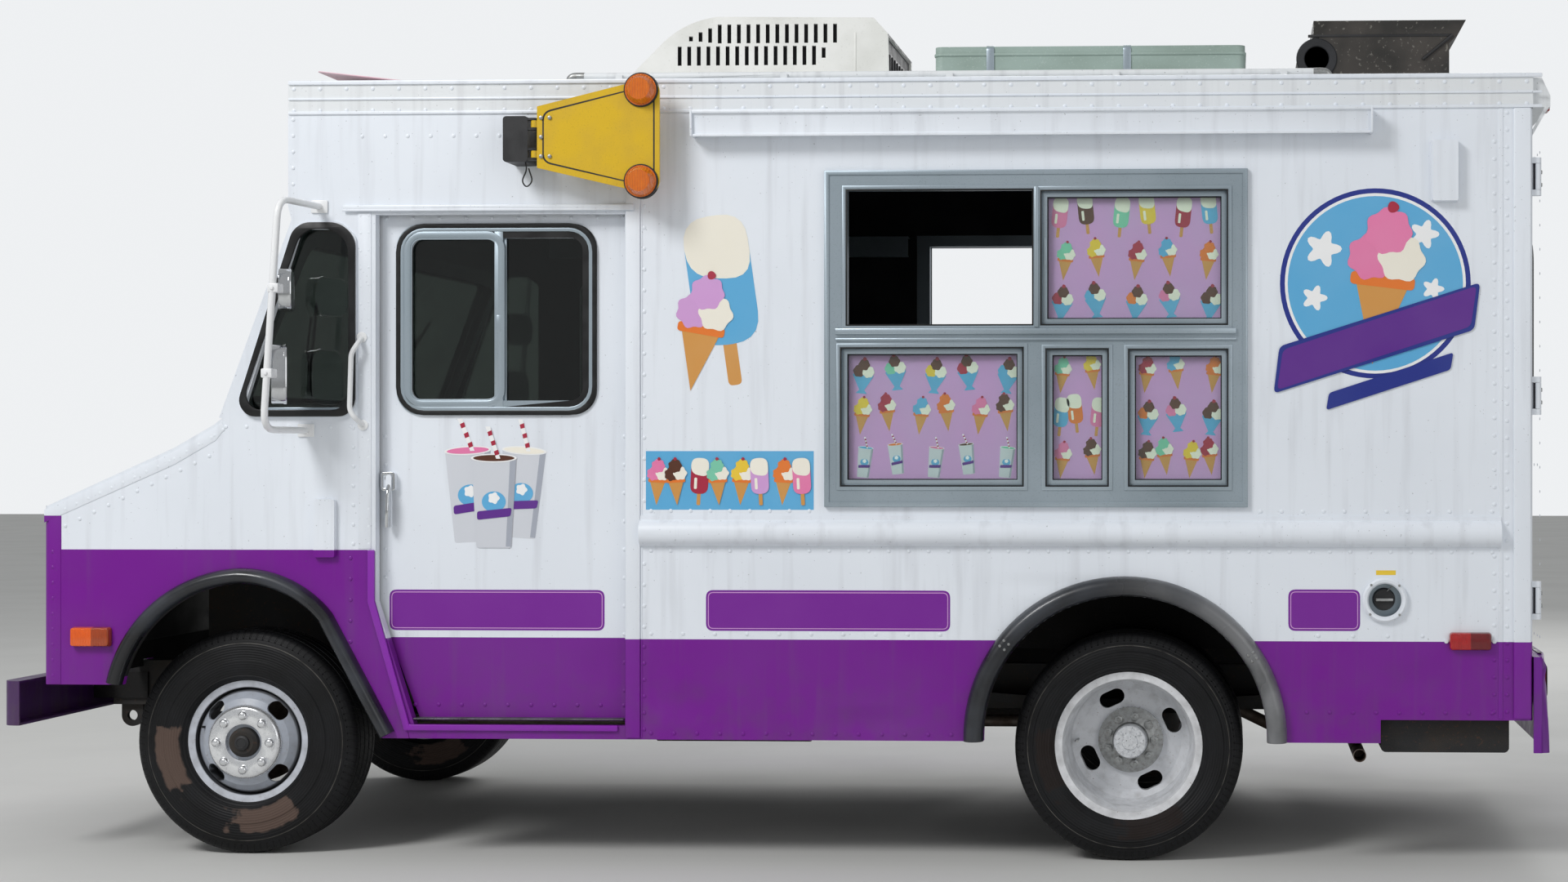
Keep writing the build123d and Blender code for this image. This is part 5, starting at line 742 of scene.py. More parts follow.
class Bench:
    """Modelling moves that the sub-assemblies share, each made with Blender's own operators."""

    @staticmethod
    def clear() -> None:
        """Deselect everything, so that an operator meets only its own piece."""
        bpy.ops.object.select_all(action="DESELECT")

    @staticmethod
    def pick(obj: Piece) -> Piece:
        """Make one object the only selected and the active one."""
        Bench.clear()
        obj.select_set(True)
        bpy.context.view_layer.objects.active = obj
        return obj

    @staticmethod
    def bake_place(obj: Piece) -> Piece:
        """Put an object's place into its mesh, so that the object sits at the origin."""
        Bench.pick(obj)
        bpy.ops.object.transform_apply(location=True, rotation=True, scale=True)
        return obj

    @staticmethod
    def modify(obj: Piece, kind: str, **settings: object) -> Piece:
        """Add a modifier and apply it.

        Args:
            obj: the piece.
            kind: the modifier's type.
            **settings: the modifier's properties.

        Returns:
            The piece.
        """
        Bench.pick(obj)
        modifier = obj.modifiers.new(kind.lower(), kind)
        for name, setting in settings.items():
            setattr(modifier, name, setting)
        bpy.ops.object.modifier_apply(modifier=modifier.name)
        return obj

    @staticmethod
    def soften(obj: Piece, width: float, segments: int = 2) -> Piece:
        """Round a piece's sharp edges."""
        return Bench.modify(obj, "BEVEL", width=width, segments=segments, limit_method="ANGLE")

    @staticmethod
    def edit(obj: Piece, *moves: tuple[str, dict[str, object]]) -> Piece:
        """Run mesh operators on the whole of a piece, one after another.

        Args:
            obj: the piece.
            *moves: each operator's name and settings; a delete takes what the move before it left selected.

        Returns:
            The piece.
        """
        Bench.pick(obj)
        bpy.ops.object.mode_set(mode="EDIT")
        for name, settings in moves:
            if name != "delete":
                bpy.ops.mesh.select_all(action="SELECT")
            getattr(bpy.ops.mesh, name)(**settings)
        bpy.ops.object.mode_set(mode="OBJECT")
        return obj

    @staticmethod
    def drawn(runs: Sequence[Sequence[Place]], closed: bool, **settings: object) -> Piece:
        """Draw runs of points as a curve and turn it into a mesh.

        Args:
            runs: the runs of points, in two or three dimensions.
            closed: whether each run joins its own start.
            **settings: the curve's properties.

        Returns:
            The drawn piece.
        """
        curve = bpy.data.curves.new("drawing", "CURVE")
        for name, setting in settings.items():
            setattr(curve, name, setting)
        for run in runs:
            spline = curve.splines.new("POLY")
            spline.points.add(len(run) - 1)
            for target, point in zip(spline.points, run):
                target.co = (*Vector(point).to_3d(), 1)
            spline.use_cyclic_u = closed
        obj = bpy.data.objects.new("drawing", curve)
        bpy.context.scene.collection.objects.link(obj)
        Bench.pick(obj)
        bpy.ops.object.convert(target="MESH")
        return bpy.context.object

    @staticmethod
    def stand(obj: Piece, edge: float, place: Matrix) -> Piece:
        """Soften a piece that was modelled at the origin, and move it to its place."""
        if edge:
            Bench.soften(obj, edge)
        obj.matrix_world = place
        return Bench.bake_place(obj)

    @staticmethod
    def block(low: Place, high: Place, edge: float = 0.003, segments: int = 2) -> Piece:
        """Make a block between two corners with rounded edges.

        Args:
            low: the lowest corner.
            high: the highest corner.
            edge: how wide its rounded edges are.
            segments: how many faces round each edge.

        Returns:
            The block.
        """
        Bench.clear()
        a, b = Vector(low), Vector(high)
        bpy.ops.mesh.primitive_cube_add(size=1, location=(a + b) / 2, scale=b - a)
        obj = Bench.bake_place(bpy.context.object)
        return Bench.soften(obj, edge, segments) if edge else obj

    @staticmethod
    def disc(
        at: Place, radius: float, depth: float, facing: Facing = Facing.DRIVER, sides: int = 32,
        edge: float = 0.0, top: float = 1.0,
    ) -> Piece:
        """Make a round plate or boss that stands out from a surface.

        Args:
            at: the middle of its foot.
            radius: its radius at the foot.
            depth: how far it stands out.
            facing: which way it stands out.
            sides: how many sides it has; six make a nut.
            edge: how wide its rounded edges are.
            top: its outer radius as a share of the foot's.

        Returns:
            The disc.
        """
        Bench.clear()
        bpy.ops.mesh.primitive_cone_add(
            vertices=sides, radius1=radius, radius2=radius * top, depth=depth, location=(0, 0, depth / 2)
        )
        return Bench.stand(Bench.bake_place(bpy.context.object), edge, facing.place(at))

    @staticmethod
    def ring(
        at: Place, size: Point, corner: float, band: float, depth: float, edge: float = 0.002,
        facing: Facing = Facing.DRIVER,
    ) -> Piece:
        """Make a rounded rectangular ring, such as a sash or a gasket.

        Args:
            at: the middle of its foot.
            size: its outer width and height.
            corner: how far from a corner its rounding starts.
            band: how wide the ring is.
            depth: how far it stands out.
            edge: how wide its rounded edges are.
            facing: which way it faces.

        Returns:
            The ring.
        """
        Bench.clear()
        bpy.ops.mesh.primitive_plane_add(size=1)
        obj = bpy.context.object
        obj.scale = (*size, 1.0)
        Bench.bake_place(obj)
        if corner:
            Bench.edit(obj, ("bevel", {"offset": corner, "segments": 6, "affect": "VERTICES"}))
        Bench.edit(
            obj, ("inset", {"thickness": band, "depth": 0}), ("delete", {"type": "FACE"}),
            ("extrude_region_move", {"TRANSFORM_OT_translate": {"value": (0, 0, depth)}}),
            ("normals_make_consistent", {"inside": False}),
        )
        return Bench.stand(obj, edge, facing.place(at))

    @staticmethod
    def outline(
        runs: Sequence[Sequence[Place]], depth: float, at: Place, facing: Facing = Facing.DRIVER,
        edge: float = 0.0,
    ) -> Piece:
        """Make a flat plate from its drawn outline, with holes where a second run lies inside the first.

        Args:
            runs: closed runs of points, in the plate's own right and up.
            depth: how thick the plate is.
            at: where the drawing's origin goes.
            facing: which way it faces.
            edge: how wide its rounded edges are.

        Returns:
            The plate.
        """
        obj = Bench.drawn(runs, True, dimensions="2D", fill_mode="BOTH", extrude=depth / 2)
        Bench.edit(
            obj, ("remove_doubles", {"threshold": 1e-6}), ("normals_make_consistent", {"inside": False})
        )
        return Bench.stand(obj, edge, facing.place(at) @ Matrix.Translation((0, 0, depth / 2)))

    @staticmethod
    def tube(points: Sequence[Place], radius: float, closed: bool = False, sides: int = 3) -> Piece:
        """Bend a round tube along a run of points.

        Args:
            points: the tube's middle line.
            radius: the tube's radius.
            closed: whether it joins its own start.
            sides: how fine its round section is.

        Returns:
            The tube.
        """
        shape = {"bevel_depth": radius, "bevel_resolution": sides, "use_fill_caps": not closed}
        return Bench.bake_place(Bench.drawn([points], closed, dimensions="3D", **shape))

    @staticmethod
    def spun(profile: Sequence[Point], at: Place, axis: Place = (0, 1, 0), steps: int = 72) -> Piece:
        """Turn a profile round an axis, as on a lathe.

        Args:
            profile: closed run of (radius, distance along the axis).
            at: a point on the axis from which the distances count.
            axis: the axis.
            steps: how many stretches a full turn has.

        Returns:
            The turned piece.
        """
        centre, line = Vector(at), Vector(axis).normalized()
        out = line.orthogonal().normalized()
        run = [centre + out * radius + line * along for radius, along in profile]
        return Bench.edit(
            Bench.bake_place(Bench.drawn([run], True, dimensions="3D")),
            ("spin", {"steps": steps, "angle": 2 * math.pi, "center": centre, "axis": line}),
            ("remove_doubles", {"threshold": 1e-5}), ("normals_make_consistent", {"inside": False}),
        )

    @staticmethod
    def copy(obj: Piece, change: Matrix) -> Piece:
        """Copy a piece with its own mesh, moved by a matrix."""
        twin = obj.copy()
        twin.data = obj.data.copy()
        bpy.context.scene.collection.objects.link(twin)
        twin.data.transform(change)
        if change.determinant() < 0:
            twin.data.flip_normals()
        return twin

    @staticmethod
    def row(obj: Piece, start: Place, end: Place, pitch: float) -> Piece:
        """Repeat a copy of a piece along a line at an even pitch.

        Args:
            obj: the piece, modelled at the origin.
            start: where the first copy goes.
            end: where the last copy goes.
            pitch: about how far apart the copies are.

        Returns:
            The whole row as one piece.
        """
        run = Vector(end) - Vector(start)
        count = max(2, round(run.length / pitch) + 1)
        made = Bench.copy(obj, Matrix.Translation(Vector(start)))
        step = run / (count - 1)
        return Bench.modify(
            made, "ARRAY", count=count, use_relative_offset=False, use_constant_offset=True,
            constant_offset_displace=step,
        )

    @staticmethod
    def circle(obj: Piece, at: Place, axis: Place, count: int) -> Piece:
        """Repeat a piece evenly round an axis, as one piece."""
        made = [obj]
        centre = Matrix.Translation(Vector(at))
        for index in range(1, count):
            turn = Matrix.Rotation(2 * math.pi * index / count, 4, Vector(axis))
            made.append(Bench.copy(obj, centre @ turn @ centre.inverted()))
        return Bench.join(made)

    @staticmethod
    def join(parts: Piece | Iterable[Piece]) -> Piece:
        """Join pieces into the first one, keeping their materials; one piece alone comes back as it is."""
        parts = [parts] if isinstance(parts, Piece) else list(parts)
        Bench.clear()
        for obj in parts:
            obj.select_set(True)
        bpy.context.view_layer.objects.active = parts[0]
        if len(parts) > 1:
            bpy.ops.object.join()
        return parts[0]

    @staticmethod
    def both_sides(parts: Piece | Iterable[Piece]) -> Piece:
        """Join pieces and add their mirror image on the other side of the truck."""
        return Bench.modify(
            Bench.join(parts), "MIRROR", use_axis=(False, True, False), use_mirror_merge=False
        )

    @staticmethod
    def opposite(obj: Piece) -> Piece:
        """Copy a piece to the other side of the truck, for the matching body there."""
        return Bench.copy(obj, Matrix.Diagonal((1, -1, 1, 1)))

    @staticmethod
    def coat(obj: Piece, finish: Finish) -> Piece:
        """Give a part-made piece its finish."""
        obj.data.materials.clear()
        obj.data.materials.append(finish.material())
        return obj

    @staticmethod
    def coat_where(
        obj: Piece, finishes: Sequence[Finish], choose: Callable[[Vector, Vector], int]
    ) -> Piece:
        """Give a piece several finishes, face by face.

        Args:
            obj: the piece.
            finishes: the finishes, in order.
            choose: takes a face's middle and its normal, and returns which finish it gets.

        Returns:
            The piece.
        """
        obj.data.materials.clear()
        for finish in finishes:
            obj.data.materials.append(finish.material())
        for face in obj.data.polygons:
            face.material_index = choose(face.center, face.normal)
        return obj

    @staticmethod
    def merged(obj: Piece) -> Piece:
        """Copy a CAD piece with its triangles joined into whole faces, ready for modelling."""
        flat = {"angle_limit": math.radians(0.5)}
        twin = Bench.copy(obj, Matrix())
        return Bench.edit(twin, ("remove_doubles", {"threshold": 1e-5}), ("dissolve_limited", flat))

    @staticmethod
    def fit(
        parts: Piece | Iterable[Piece], name: str, body: str, slot: str, finish: Finish | None = None,
        angle: float = 35,
    ) -> Piece:
        """Join a piece's parts, name it, shade it, give it its finish and let it ride on its body.

        Args:
            parts: the parts, or the piece itself.
            name: its name.
            body: the CAD body that carries it.
            slot: the record's material slot that it belongs to; not used.
            finish: its finish, if it hasn't got one yet.
            angle: the sharpest edge in degrees that still looks smooth.

        Returns:
            The piece.
        """
        obj = Bench.pick(Bench.join(parts))
        bpy.ops.object.shade_smooth_by_angle(angle=math.radians(angle))
        if finish is not None:
            Bench.coat(obj, finish)
        obj.name = name
        obj.data.name = name
        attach(obj, body)
        LOG.info("%s rides on %s", name, body)
        return obj

    @staticmethod
    def fit_both(
        parts: Piece | Iterable[Piece], name: str, slot: str, finish: Finish | None = None,
        angle: float = 35,
    ) -> Piece:
        """Fit a piece of the body and its mirror image as one; the arguments are those of fit."""
        return Bench.fit(Bench.both_sides(parts), name, "truck", slot, finish, angle)

    @staticmethod
    def fit_doors(
        parts: Piece | Iterable[Piece], name: str, slot: str, finish: Finish | None = None,
        angle: float = 35,
    ) -> None:
        """Fit a piece to the left cab door and its mirror image to the right one."""
        left = Bench.join(parts)
        for side, piece in (("left", left), ("right", Bench.opposite(left))):
            Bench.fit(piece, f"{side}_door_{name}", f"{side}_door", slot, finish, angle)


@dataclass(frozen=True)
class Layout:
    """Stations of the truck, read from the frame."""

    front_axle: float
    rear_axle: float
    front_radius: float
    rear_radius: float
    skin: float
    roof_top: float
    door_skin: float
    tail: float

    @classmethod
    def from_frame(cls) -> "Layout":
        """Read the stations from the CAD nodes."""
        front_low, front_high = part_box("front_tyre_left")
        rear_low, rear_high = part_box("rear_tyres_left")
        return cls(
            front_axle=(front_low.x + front_high.x) / 2, rear_axle=(rear_low.x + rear_high.x) / 2,
            front_radius=(front_high.z - front_low.z) / 2, rear_radius=(rear_high.z - rear_low.z) / 2,
            skin=-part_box("nose")[0].y, roof_top=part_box("roof")[1].z,
            door_skin=-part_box("left_door_glass")[0].y + 12 * MM, tail=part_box("rear_frame")[1].x,
        )

    def aft(self, distance_mm: float) -> float:
        """Return the station a distance behind the front axle."""
        return self.front_axle + distance_mm * MM


# Sub-assemblies


@dataclass
class Studio:
    """Camera, lamps, floor and world, none of them part of the truck."""

    layout: Layout
    lens: float = 55.26
    shift: Point = (-0.2201, 0.0067)
    camera_aft_mm: float = 3538
    camera_side: float = -9.562
    camera_height: float = 1.4465
    yaw: float = 2.43

    def build(self) -> None:
        """Set up the photograph's view under plain soft light."""
        scene = bpy.context.scene
        scene.view_settings.view_transform = "Standard"
        camera = bpy.data.cameras.new("view")
        camera.lens = self.lens
        camera.sensor_width = 36
        camera.shift_x, camera.shift_y = self.shift
        camera.clip_end = 200
        holder = bpy.data.objects.new("view", camera)
        holder.location = (self.layout.aft(self.camera_aft_mm), self.camera_side, self.camera_height)
        holder.rotation_euler = (math.radians(90), 0, math.radians(self.yaw))
        scene.collection.objects.link(holder)
        scene.camera = holder
        self.lamp("key", (-5.0, -7.5, 8.0), 3.0, 560)
        self.lamp("fill", (7.0, -8.0, 3.5), 6.0, 110)
        self.lamp("back", (2.0, 9.0, 7.0), 5.0, 330)
        self.floor()
        self.world()

    def lamp(self, name: str, at: Place, size: float, power: float) -> None:
        """Hang a square soft lamp that looks at the truck's middle."""
        light = bpy.data.lights.new(name, "AREA")
        light.size = size
        light.energy = power
        holder = bpy.data.objects.new(name, light)
        holder.location = at
        holder.rotation_euler = (Vector((0, 0, 1.2)) - Vector(at)).to_track_quat("-Z", "Y").to_euler()
        bpy.context.scene.collection.objects.link(holder)

    def floor(self) -> None:
        """Lay a pale floor with a fine speckle."""
        Bench.clear()
        bpy.ops.mesh.primitive_plane_add(size=90, location=(0, 0, -0.001))
        ground = Bench.bake_place(bpy.context.object)
        ground.name = "studio_floor"
        stone = Weathered(
            "pale_floor", "#d9d9d6", "#cfcfcc", "#c4c4c0", clouds=(900, 0.4), specks=(9, 0.15),
            grain=(5, 0.0002), rough=(0.7, 0.85),
        )
        Bench.coat(ground, stone)

    def world(self) -> None:
        """Fill the shadows evenly, and show a pale background to the camera, metal and glass."""
        world = bpy.data.worlds.new("studio")
        bpy.context.scene.world = world
        world.use_nodes = True
        tree = world.node_tree
        tree.nodes.clear()
        rays = add_node(tree, "LightPath")
        seen = add_node(
            tree, "Math", {0: rays.outputs["Is Camera Ray"], 1: rays.outputs["Is Transmission Ray"]},
            operation="MAXIMUM",
        ).outputs[0]
        strength = add_node(
            tree, "MapRange", {"Value": seen, "To Min": 0.45, "To Max": 0.95}
        ).outputs["Result"]
        sky = add_node(tree, "Background", {"Color": linear("#f4f6f8"), "Strength": strength})
        add_node(tree, "OutputWorld", {"Surface": sky.outputs[0]})


@dataclass
class Assembly:
    """A sub-assembly of the truck, with the stations and the CAD nodes that it works from."""

    layout: Layout
    nodes: dict[str, Piece]

    def coat(self, finish: Finish, *names: str) -> None:
        """Give some CAD nodes one finish."""
        for name in names:
            Bench.coat(self.nodes[name], finish)


@dataclass
class Coachwork(Assembly):
    """Walls, nose, doors, roof and tail: their paint, rivets, seams and trim."""

    belt_line: float = 0.787
    deck: float = 0.79
    nose_line: float = 1.099
    rivet_radius: float = 0.0072
    rivet_height: float = 0.0034

    def build(self) -> None:
        """Paint the panels and add what is riveted to them."""
        self.paint()
        self.rivets()
        self.rails()
        self.awnings()
        self.cover_strips()
        self.door_trim()

    def paint(self) -> None:
        """Give each painted CAD node its enamel outside, and lining or underseal inside."""
        lay = self.layout
        dents = (
            Dent(lay.aft(1500), 0.60, 0.10, 0.16, 0.010), Dent(lay.aft(1620), 0.56, 0.16, 0.09, 0.007),
            Dent(lay.aft(2280), 0.50, 0.22, 0.07, 0.008), Dent(lay.aft(4180), 0.64, 0.16, 0.10, 0.006),
            Dent(lay.aft(2900), 0.98, 0.30, 0.05, 0.003),
        )
        wall = CoachEnamel("wall_enamel", line_z=self.belt_line, dents=dents)
        nose = CoachEnamel(
            "nose_enamel", line_z=self.nose_line, front_x=lay.aft(-614), front_lift=0.120,
            dents=(Dent(lay.aft(-560), 0.98, 0.12, 0.08, 0.004),),
        )
        door = CoachEnamel(
            "door_enamel", line_z=self.belt_line, dents=(Dent(lay.aft(1320), 0.68, 0.12, 0.14, 0.006),)
        )
        tail = CoachEnamel("tail_enamel", lower="#7c169a", line_z=self.belt_line, grime=0.4)
        cover = CoachEnamel(
            "cover_enamel", line_z=-1.0, front_x=lay.aft(400), front_lift=1.0 + self.nose_line, grime=0.3
        )

        def inward(middle: Vector, normal: Vector) -> bool:
            """Tell whether a side panel's face looks into the body."""
            return normal.y * middle.y < 0 and abs(normal.y) > 0.5

        def lined(middle: Vector, normal: Vector) -> int:
            """Choose enamel, lining above the deck, or underseal below it and in the arches."""
            if inward(middle, normal) or normal.x < -0.5 and middle.x > lay.tail - 0.12:
                return 1 if middle.z > self.deck else 2
            arch = abs(normal.y) < 0.5 and normal.z < -0.05 and middle.z < 0.96
            return 2 if arch and abs(middle.x - lay.rear_axle) < 0.6 else 0

        def sealed(middle: Vector, normal: Vector) -> int:
            """Choose enamel outside and underseal inside the nose."""
            behind = normal.x > 0.5 and middle.x < lay.aft(-560)
            return 1 if inward(middle, normal) or behind or normal.z < -0.3 else 0

        for name in ("left_wall", "right_wall"):
            Bench.coat_where(self.nodes[name], (wall, Paint.lining, Paint.underseal), lined)

        def framed(middle: Vector, normal: Vector) -> int:
            """Choose as for a wall, but bright sash or rubber on the lip round the window."""
            if abs(middle.y) > lay.door_skin + 0.0005 and 1.55 < middle.z < 2.28:
                return 3 if middle.x < lay.aft(944) else 4
            return lined(middle, normal)

        for name in ("left_door", "right_door"):
            Bench.coat_where(
                self.nodes[name], (door, Paint.lining, Paint.underseal, Paint.anodised, Paint.gasket),
                framed,
            )
        for name in ("rear_frame", "rear_door_left", "rear_door_right"):
            Bench.coat_where(self.nodes[name], (tail, Paint.lining, Paint.underseal), lined)
        Bench.coat_where(self.nodes["nose"], (nose, Paint.underseal), sealed)
        Bench.coat_where(
            self.nodes["windshield_frame"], (Paint.white, Paint.lining, Paint.underseal), lined
        )
        Bench.coat_where(
            self.nodes["roof"], (Paint.roof, Paint.lining), lambda middle, normal: int(normal.z < -0.5)
        )
        self.coat(Paint.white, "hood", "belt_rails")
        filler = Vector((lay.aft(4070), 0.0, 0.931))

        def sunken(middle: Vector, normal: Vector) -> int:
            """Choose enamel, the filler's dark bowl, or the fuel cap in it."""
            reach = (Vector((middle.x, 0.0, middle.z)) - filler).length
            return 2 if reach < 0.041 else int(reach < 0.067)

        Bench.coat_where(self.nodes["side_covers"], (cover, Paint.anodised, Paint.powder), sunken)
        self.coat(Paint.roof, "rear_hood", "roof_conduit")
        bumper_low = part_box("front_bumper")[0]
        purple = CoachEnamel("front_bumper_enamel", upper="#46165c", grime=0.8)
        Bench.coat_where(
            self.nodes["front_bumper"], (purple, Paint.underseal),
            lambda middle, normal: int(middle.x > bumper_low.x + 0.07),
        )
        self.bent_bumper()
        self.flares()

    def bent_bumper(self) -> None:
        """Crumple the left end of the rear bumper, as a knock has left it."""
        lay = self.layout
        bumper = Bench.merged(self.nodes["rear_bumper"])
        low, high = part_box("rear_bumper")
        cuts = [((0, low.y + offset, 0), (0, 1, 0)) for offset in (0.03, 0.07, 0.11, 0.15, 0.20)]
        cuts += [((0, 0, z), (0, 0, 1)) for z in (0.46, 0.52, 0.58, 0.64, 0.69)]
        cuts += [((high.x - offset, 0, 0), (1, 0, 0)) for offset in (0.02, 0.04)]
        Bench.edit(bumper, *[("bisect", {"plane_co": at, "plane_no": across}) for at, across in cuts])
        for point in bumper.data.vertices:
            near = max(0.0, 1.0 - (point.co.y - low.y) / 0.22)
            if near > 0 and point.co.x > lay.tail + 0.004:
                top = max(0.0, (point.co.z - 0.50) / 0.24)
                ripple = 0.010 * math.sin(point.co.z * 95 + point.co.y * 40)
                point.co.x -= near * (0.012 * top + 0.5 * ripple + 0.006)
                point.co.z -= near**2 * 0.045 * top
                point.co.y += near**2 * (0.010 + ripple)
        enamel = CoachEnamel("tail_bumper_enamel", upper="#701092", grime=0.6, gloss=0.36)
        Bench.coat_where(
            bumper, (enamel, Paint.underseal),
            lambda middle, normal: int(middle.x < lay.tail and abs(middle.y) < 1.0),
        )
        Bench.fit(bumper, "rear_bumper_knocked", "truck", "rear_bumper_paint", angle=28)
        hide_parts("rear_bumper")

    def flares(self) -> None:
        """Sweep half-round rubber flares over the arches, and rivet the two lap joints of each rear one."""
        lay = self.layout
        heel = Vector((538, 434))
        front = [
            *arc((-393, 619), (-215, 893), (30, 979)), *arc((30, 979), (190, 944), (317, 846))[1:], heel
        ]
        centre = Vector(((lay.rear_axle - lay.front_axle) / MM - 8, 447))
        rear = [
            centre + Vector((-math.cos(turn), math.sin(turn))) * 495
            for turn in (math.radians(-1.5 + 183 * i / 48) for i in range(49))
        ]
        made = []
        # Half their widths in mm; both stand out 45 mm.
        for run, half in ((front, 27.5), (rear, 35.0)):
            path = []
            for index, point in enumerate(run):
                along = (run[min(index + 1, len(run) - 1)] - run[max(index - 1, 0)]).normalized()
                spot = point + Vector((-along.y, along.x)) * half
                path.append((lay.aft(spot.x), 0.0, spot.y * MM))
            roll = Bench.tube(path, half * MM, sides=6)
            roll.data.transform(Matrix.Diagonal((1, 45 / half, 1, 1)))
            roll.data.transform(Matrix.Translation((0, -lay.skin, 0)))
            cut = {
                "plane_co": (0, 0.002 - lay.skin, 0), "plane_no": (0, 1, 0), "clear_outer": True,
                "use_fill": True,
            }
            made.append(Bench.edit(roll, ("bisect", cut)))
        # The sun has turned the rear ones chalky from their crown backwards.
        rubber = Weathered(
            "moulded_flare_rubber", "#141519", "#3b4049", "#08080a", clouds=(200, 0.6), specks=(5, 0.3),
            grain=(2, 0.00015), rough=(0.26, 0.48), coat=0.3, chalk="#8f9092",
            chalk_x=(lay.rear_axle - 0.10, lay.rear_axle + 0.45),
        )
        flares = Bench.fit_both(made, "rounded_flares", "flare_rubber", rubber, angle=50)
        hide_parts("flares")
        seed = Bench.disc((0, 0, 0), 0.0055, 0.003, sides=10, top=0.7)
        rivets = []
        for angle in (math.radians(142), math.radians(33)):
            for across in (-0.010, 0.010):
                for along in (-0.012, 0.012):
                    reach = 0.530 + across
                    turn = angle + along / reach
                    x = lay.rear_axle - 0.008 + reach * math.cos(turn)
                    at = (x, -lay.skin - 0.0425, 0.447 + reach * math.sin(turn))
                    rivets.append(Bench.copy(seed, Matrix.Translation(at)))
        bpy.data.objects.remove(seed)
        Bench.fit_both(rivets, "flare_rivets", "flare_rubber", Paint.zinc)

    def rivet(self, facing: Facing = Facing.DRIVER) -> Piece:
        """Model one domed rivet at the origin."""
        foot = Bench.disc(
            (0, 0, 0), self.rivet_radius, self.rivet_height * 0.55, facing, sides=10, top=0.86
        )
        rise = Vector(facing.value[2]) * self.rivet_height * 0.55
        dome = Bench.disc(
            rise, self.rivet_radius * 0.86, self.rivet_height * 0.45, facing, sides=10, top=0.45
        )
        return Bench.join([foot, dome])

    def rows(self, seed: Piece, lines: Iterable[Sequence[float]], face: float) -> list[Piece]:
        """Set rows of rivets on a side, each from front and bottom to rear and top at a pitch, all in mm."""
        lay = self.layout
        return [
            Bench.row(
                seed, (lay.aft(front), face, bottom * MM), (lay.aft(rear), face, top * MM), pitch * MM
            )
            for front, bottom, rear, top, pitch in lines
        ]

    def rivets(self) -> None:
        """Set the rows of rivets that hold the panels, on both sides."""
        lay = self.layout
        wall_rows = [
            # front, bottom, rear, top in mm aft of the axle and mm up, pitch in mm
            (225, 2652, 4560, 2652, 95), (225, 2728, 4560, 2728, 95), (222, 2335, 222, 2620, 58),
            (465, 1590, 465, 2280, 62), (494, 1120, 494, 2280, 62), (470, 2560, 1450, 2560, 80),
            (1476, 830, 1476, 2530, 75), (1476, 470, 1476, 760, 60), (4448, 545, 4448, 2520, 60),
            (4492, 545, 4492, 2620, 60), (1500, 1238, 2060, 1238, 70), (3640, 1238, 4440, 1238, 70),
            (1500, 1098, 4440, 1098, 70), (1500, 806, 2520, 806, 110), (3840, 806, 4440, 806, 110),
            (1500, 456, 2560, 456, 80), (3800, 540, 4440, 540, 80),
            (4552, 820, 4552, 2620, 70), (4552, 545, 4552, 770, 70),
        ]
        nose_rows = [
            (-646, 650, -646, 1090, 58), (-600, 1242, -222, 1412, 47), (-205, 1421, -72, 1496, 47),
            (-60, 1504, -30, 1524, 40), (-20, 1534, 430, 1534, 75), (438, 1120, 438, 1530, 68),
            (428, 700, 428, 1070, 68), (-600, 1182, -80, 1430, 60),
        ]
        seed = self.rivet()
        enamel = CoachEnamel(
            "rivet_enamel", line_z=self.belt_line, front_x=lay.aft(440), front_lift=0.312, grime=0.2
        )
        rows = self.rows(seed, wall_rows + nose_rows, -lay.skin)
        Bench.fit_both(rows, "body_rivets", "coachwork_paint", enamel, angle=60)
        door_rows = [
            (560, 548, 1390, 548, 85), (1392, 600, 1392, 1500, 95), (535, 1000, 535, 1500, 95),
            (540, 2275, 1390, 2275, 95),
        ]
        enamel = CoachEnamel("door_rivet_enamel", line_z=self.belt_line, grime=0.2)
        Bench.fit_doors(
            self.rows(seed, door_rows, -lay.door_skin), "rivets", "door_paint", enamel, angle=60
        )
        bpy.data.objects.remove(seed)

    def rails(self) -> None:
        """Add the drawn edges of the roof rail and the ledges over the doors."""
        lay = self.layout
        front, rear = lay.aft(206), lay.tail
        lips = [
            # bottom, top in mm, how proud in mm, and how round
            (2742, 2757, 7, 3), (2688, 2696, 5, 2), (2637, 2648, 6, 2),
        ]
        parts = [
            Bench.block(
                (front, -lay.skin - proud * MM, low * MM), (rear, -lay.skin + 0.001, high * MM), edge * MM
            )
            for low, high, proud, edge in lips
        ]
        ledge = Bench.block(
            (lay.aft(404), -lay.skin - 0.014, 2.300), (lay.aft(1442), -lay.skin + 0.001, 2.316), 0.004
        )
        drip = Bench.block(
            (lay.aft(404), -lay.skin - 0.014, 2.294), (lay.aft(1442), -lay.skin - 0.010, 2.302), 0.0015
        )
        Bench.fit_both([*parts, ledge, drip], "roof_rail_edges", "roof_paint", Paint.white)

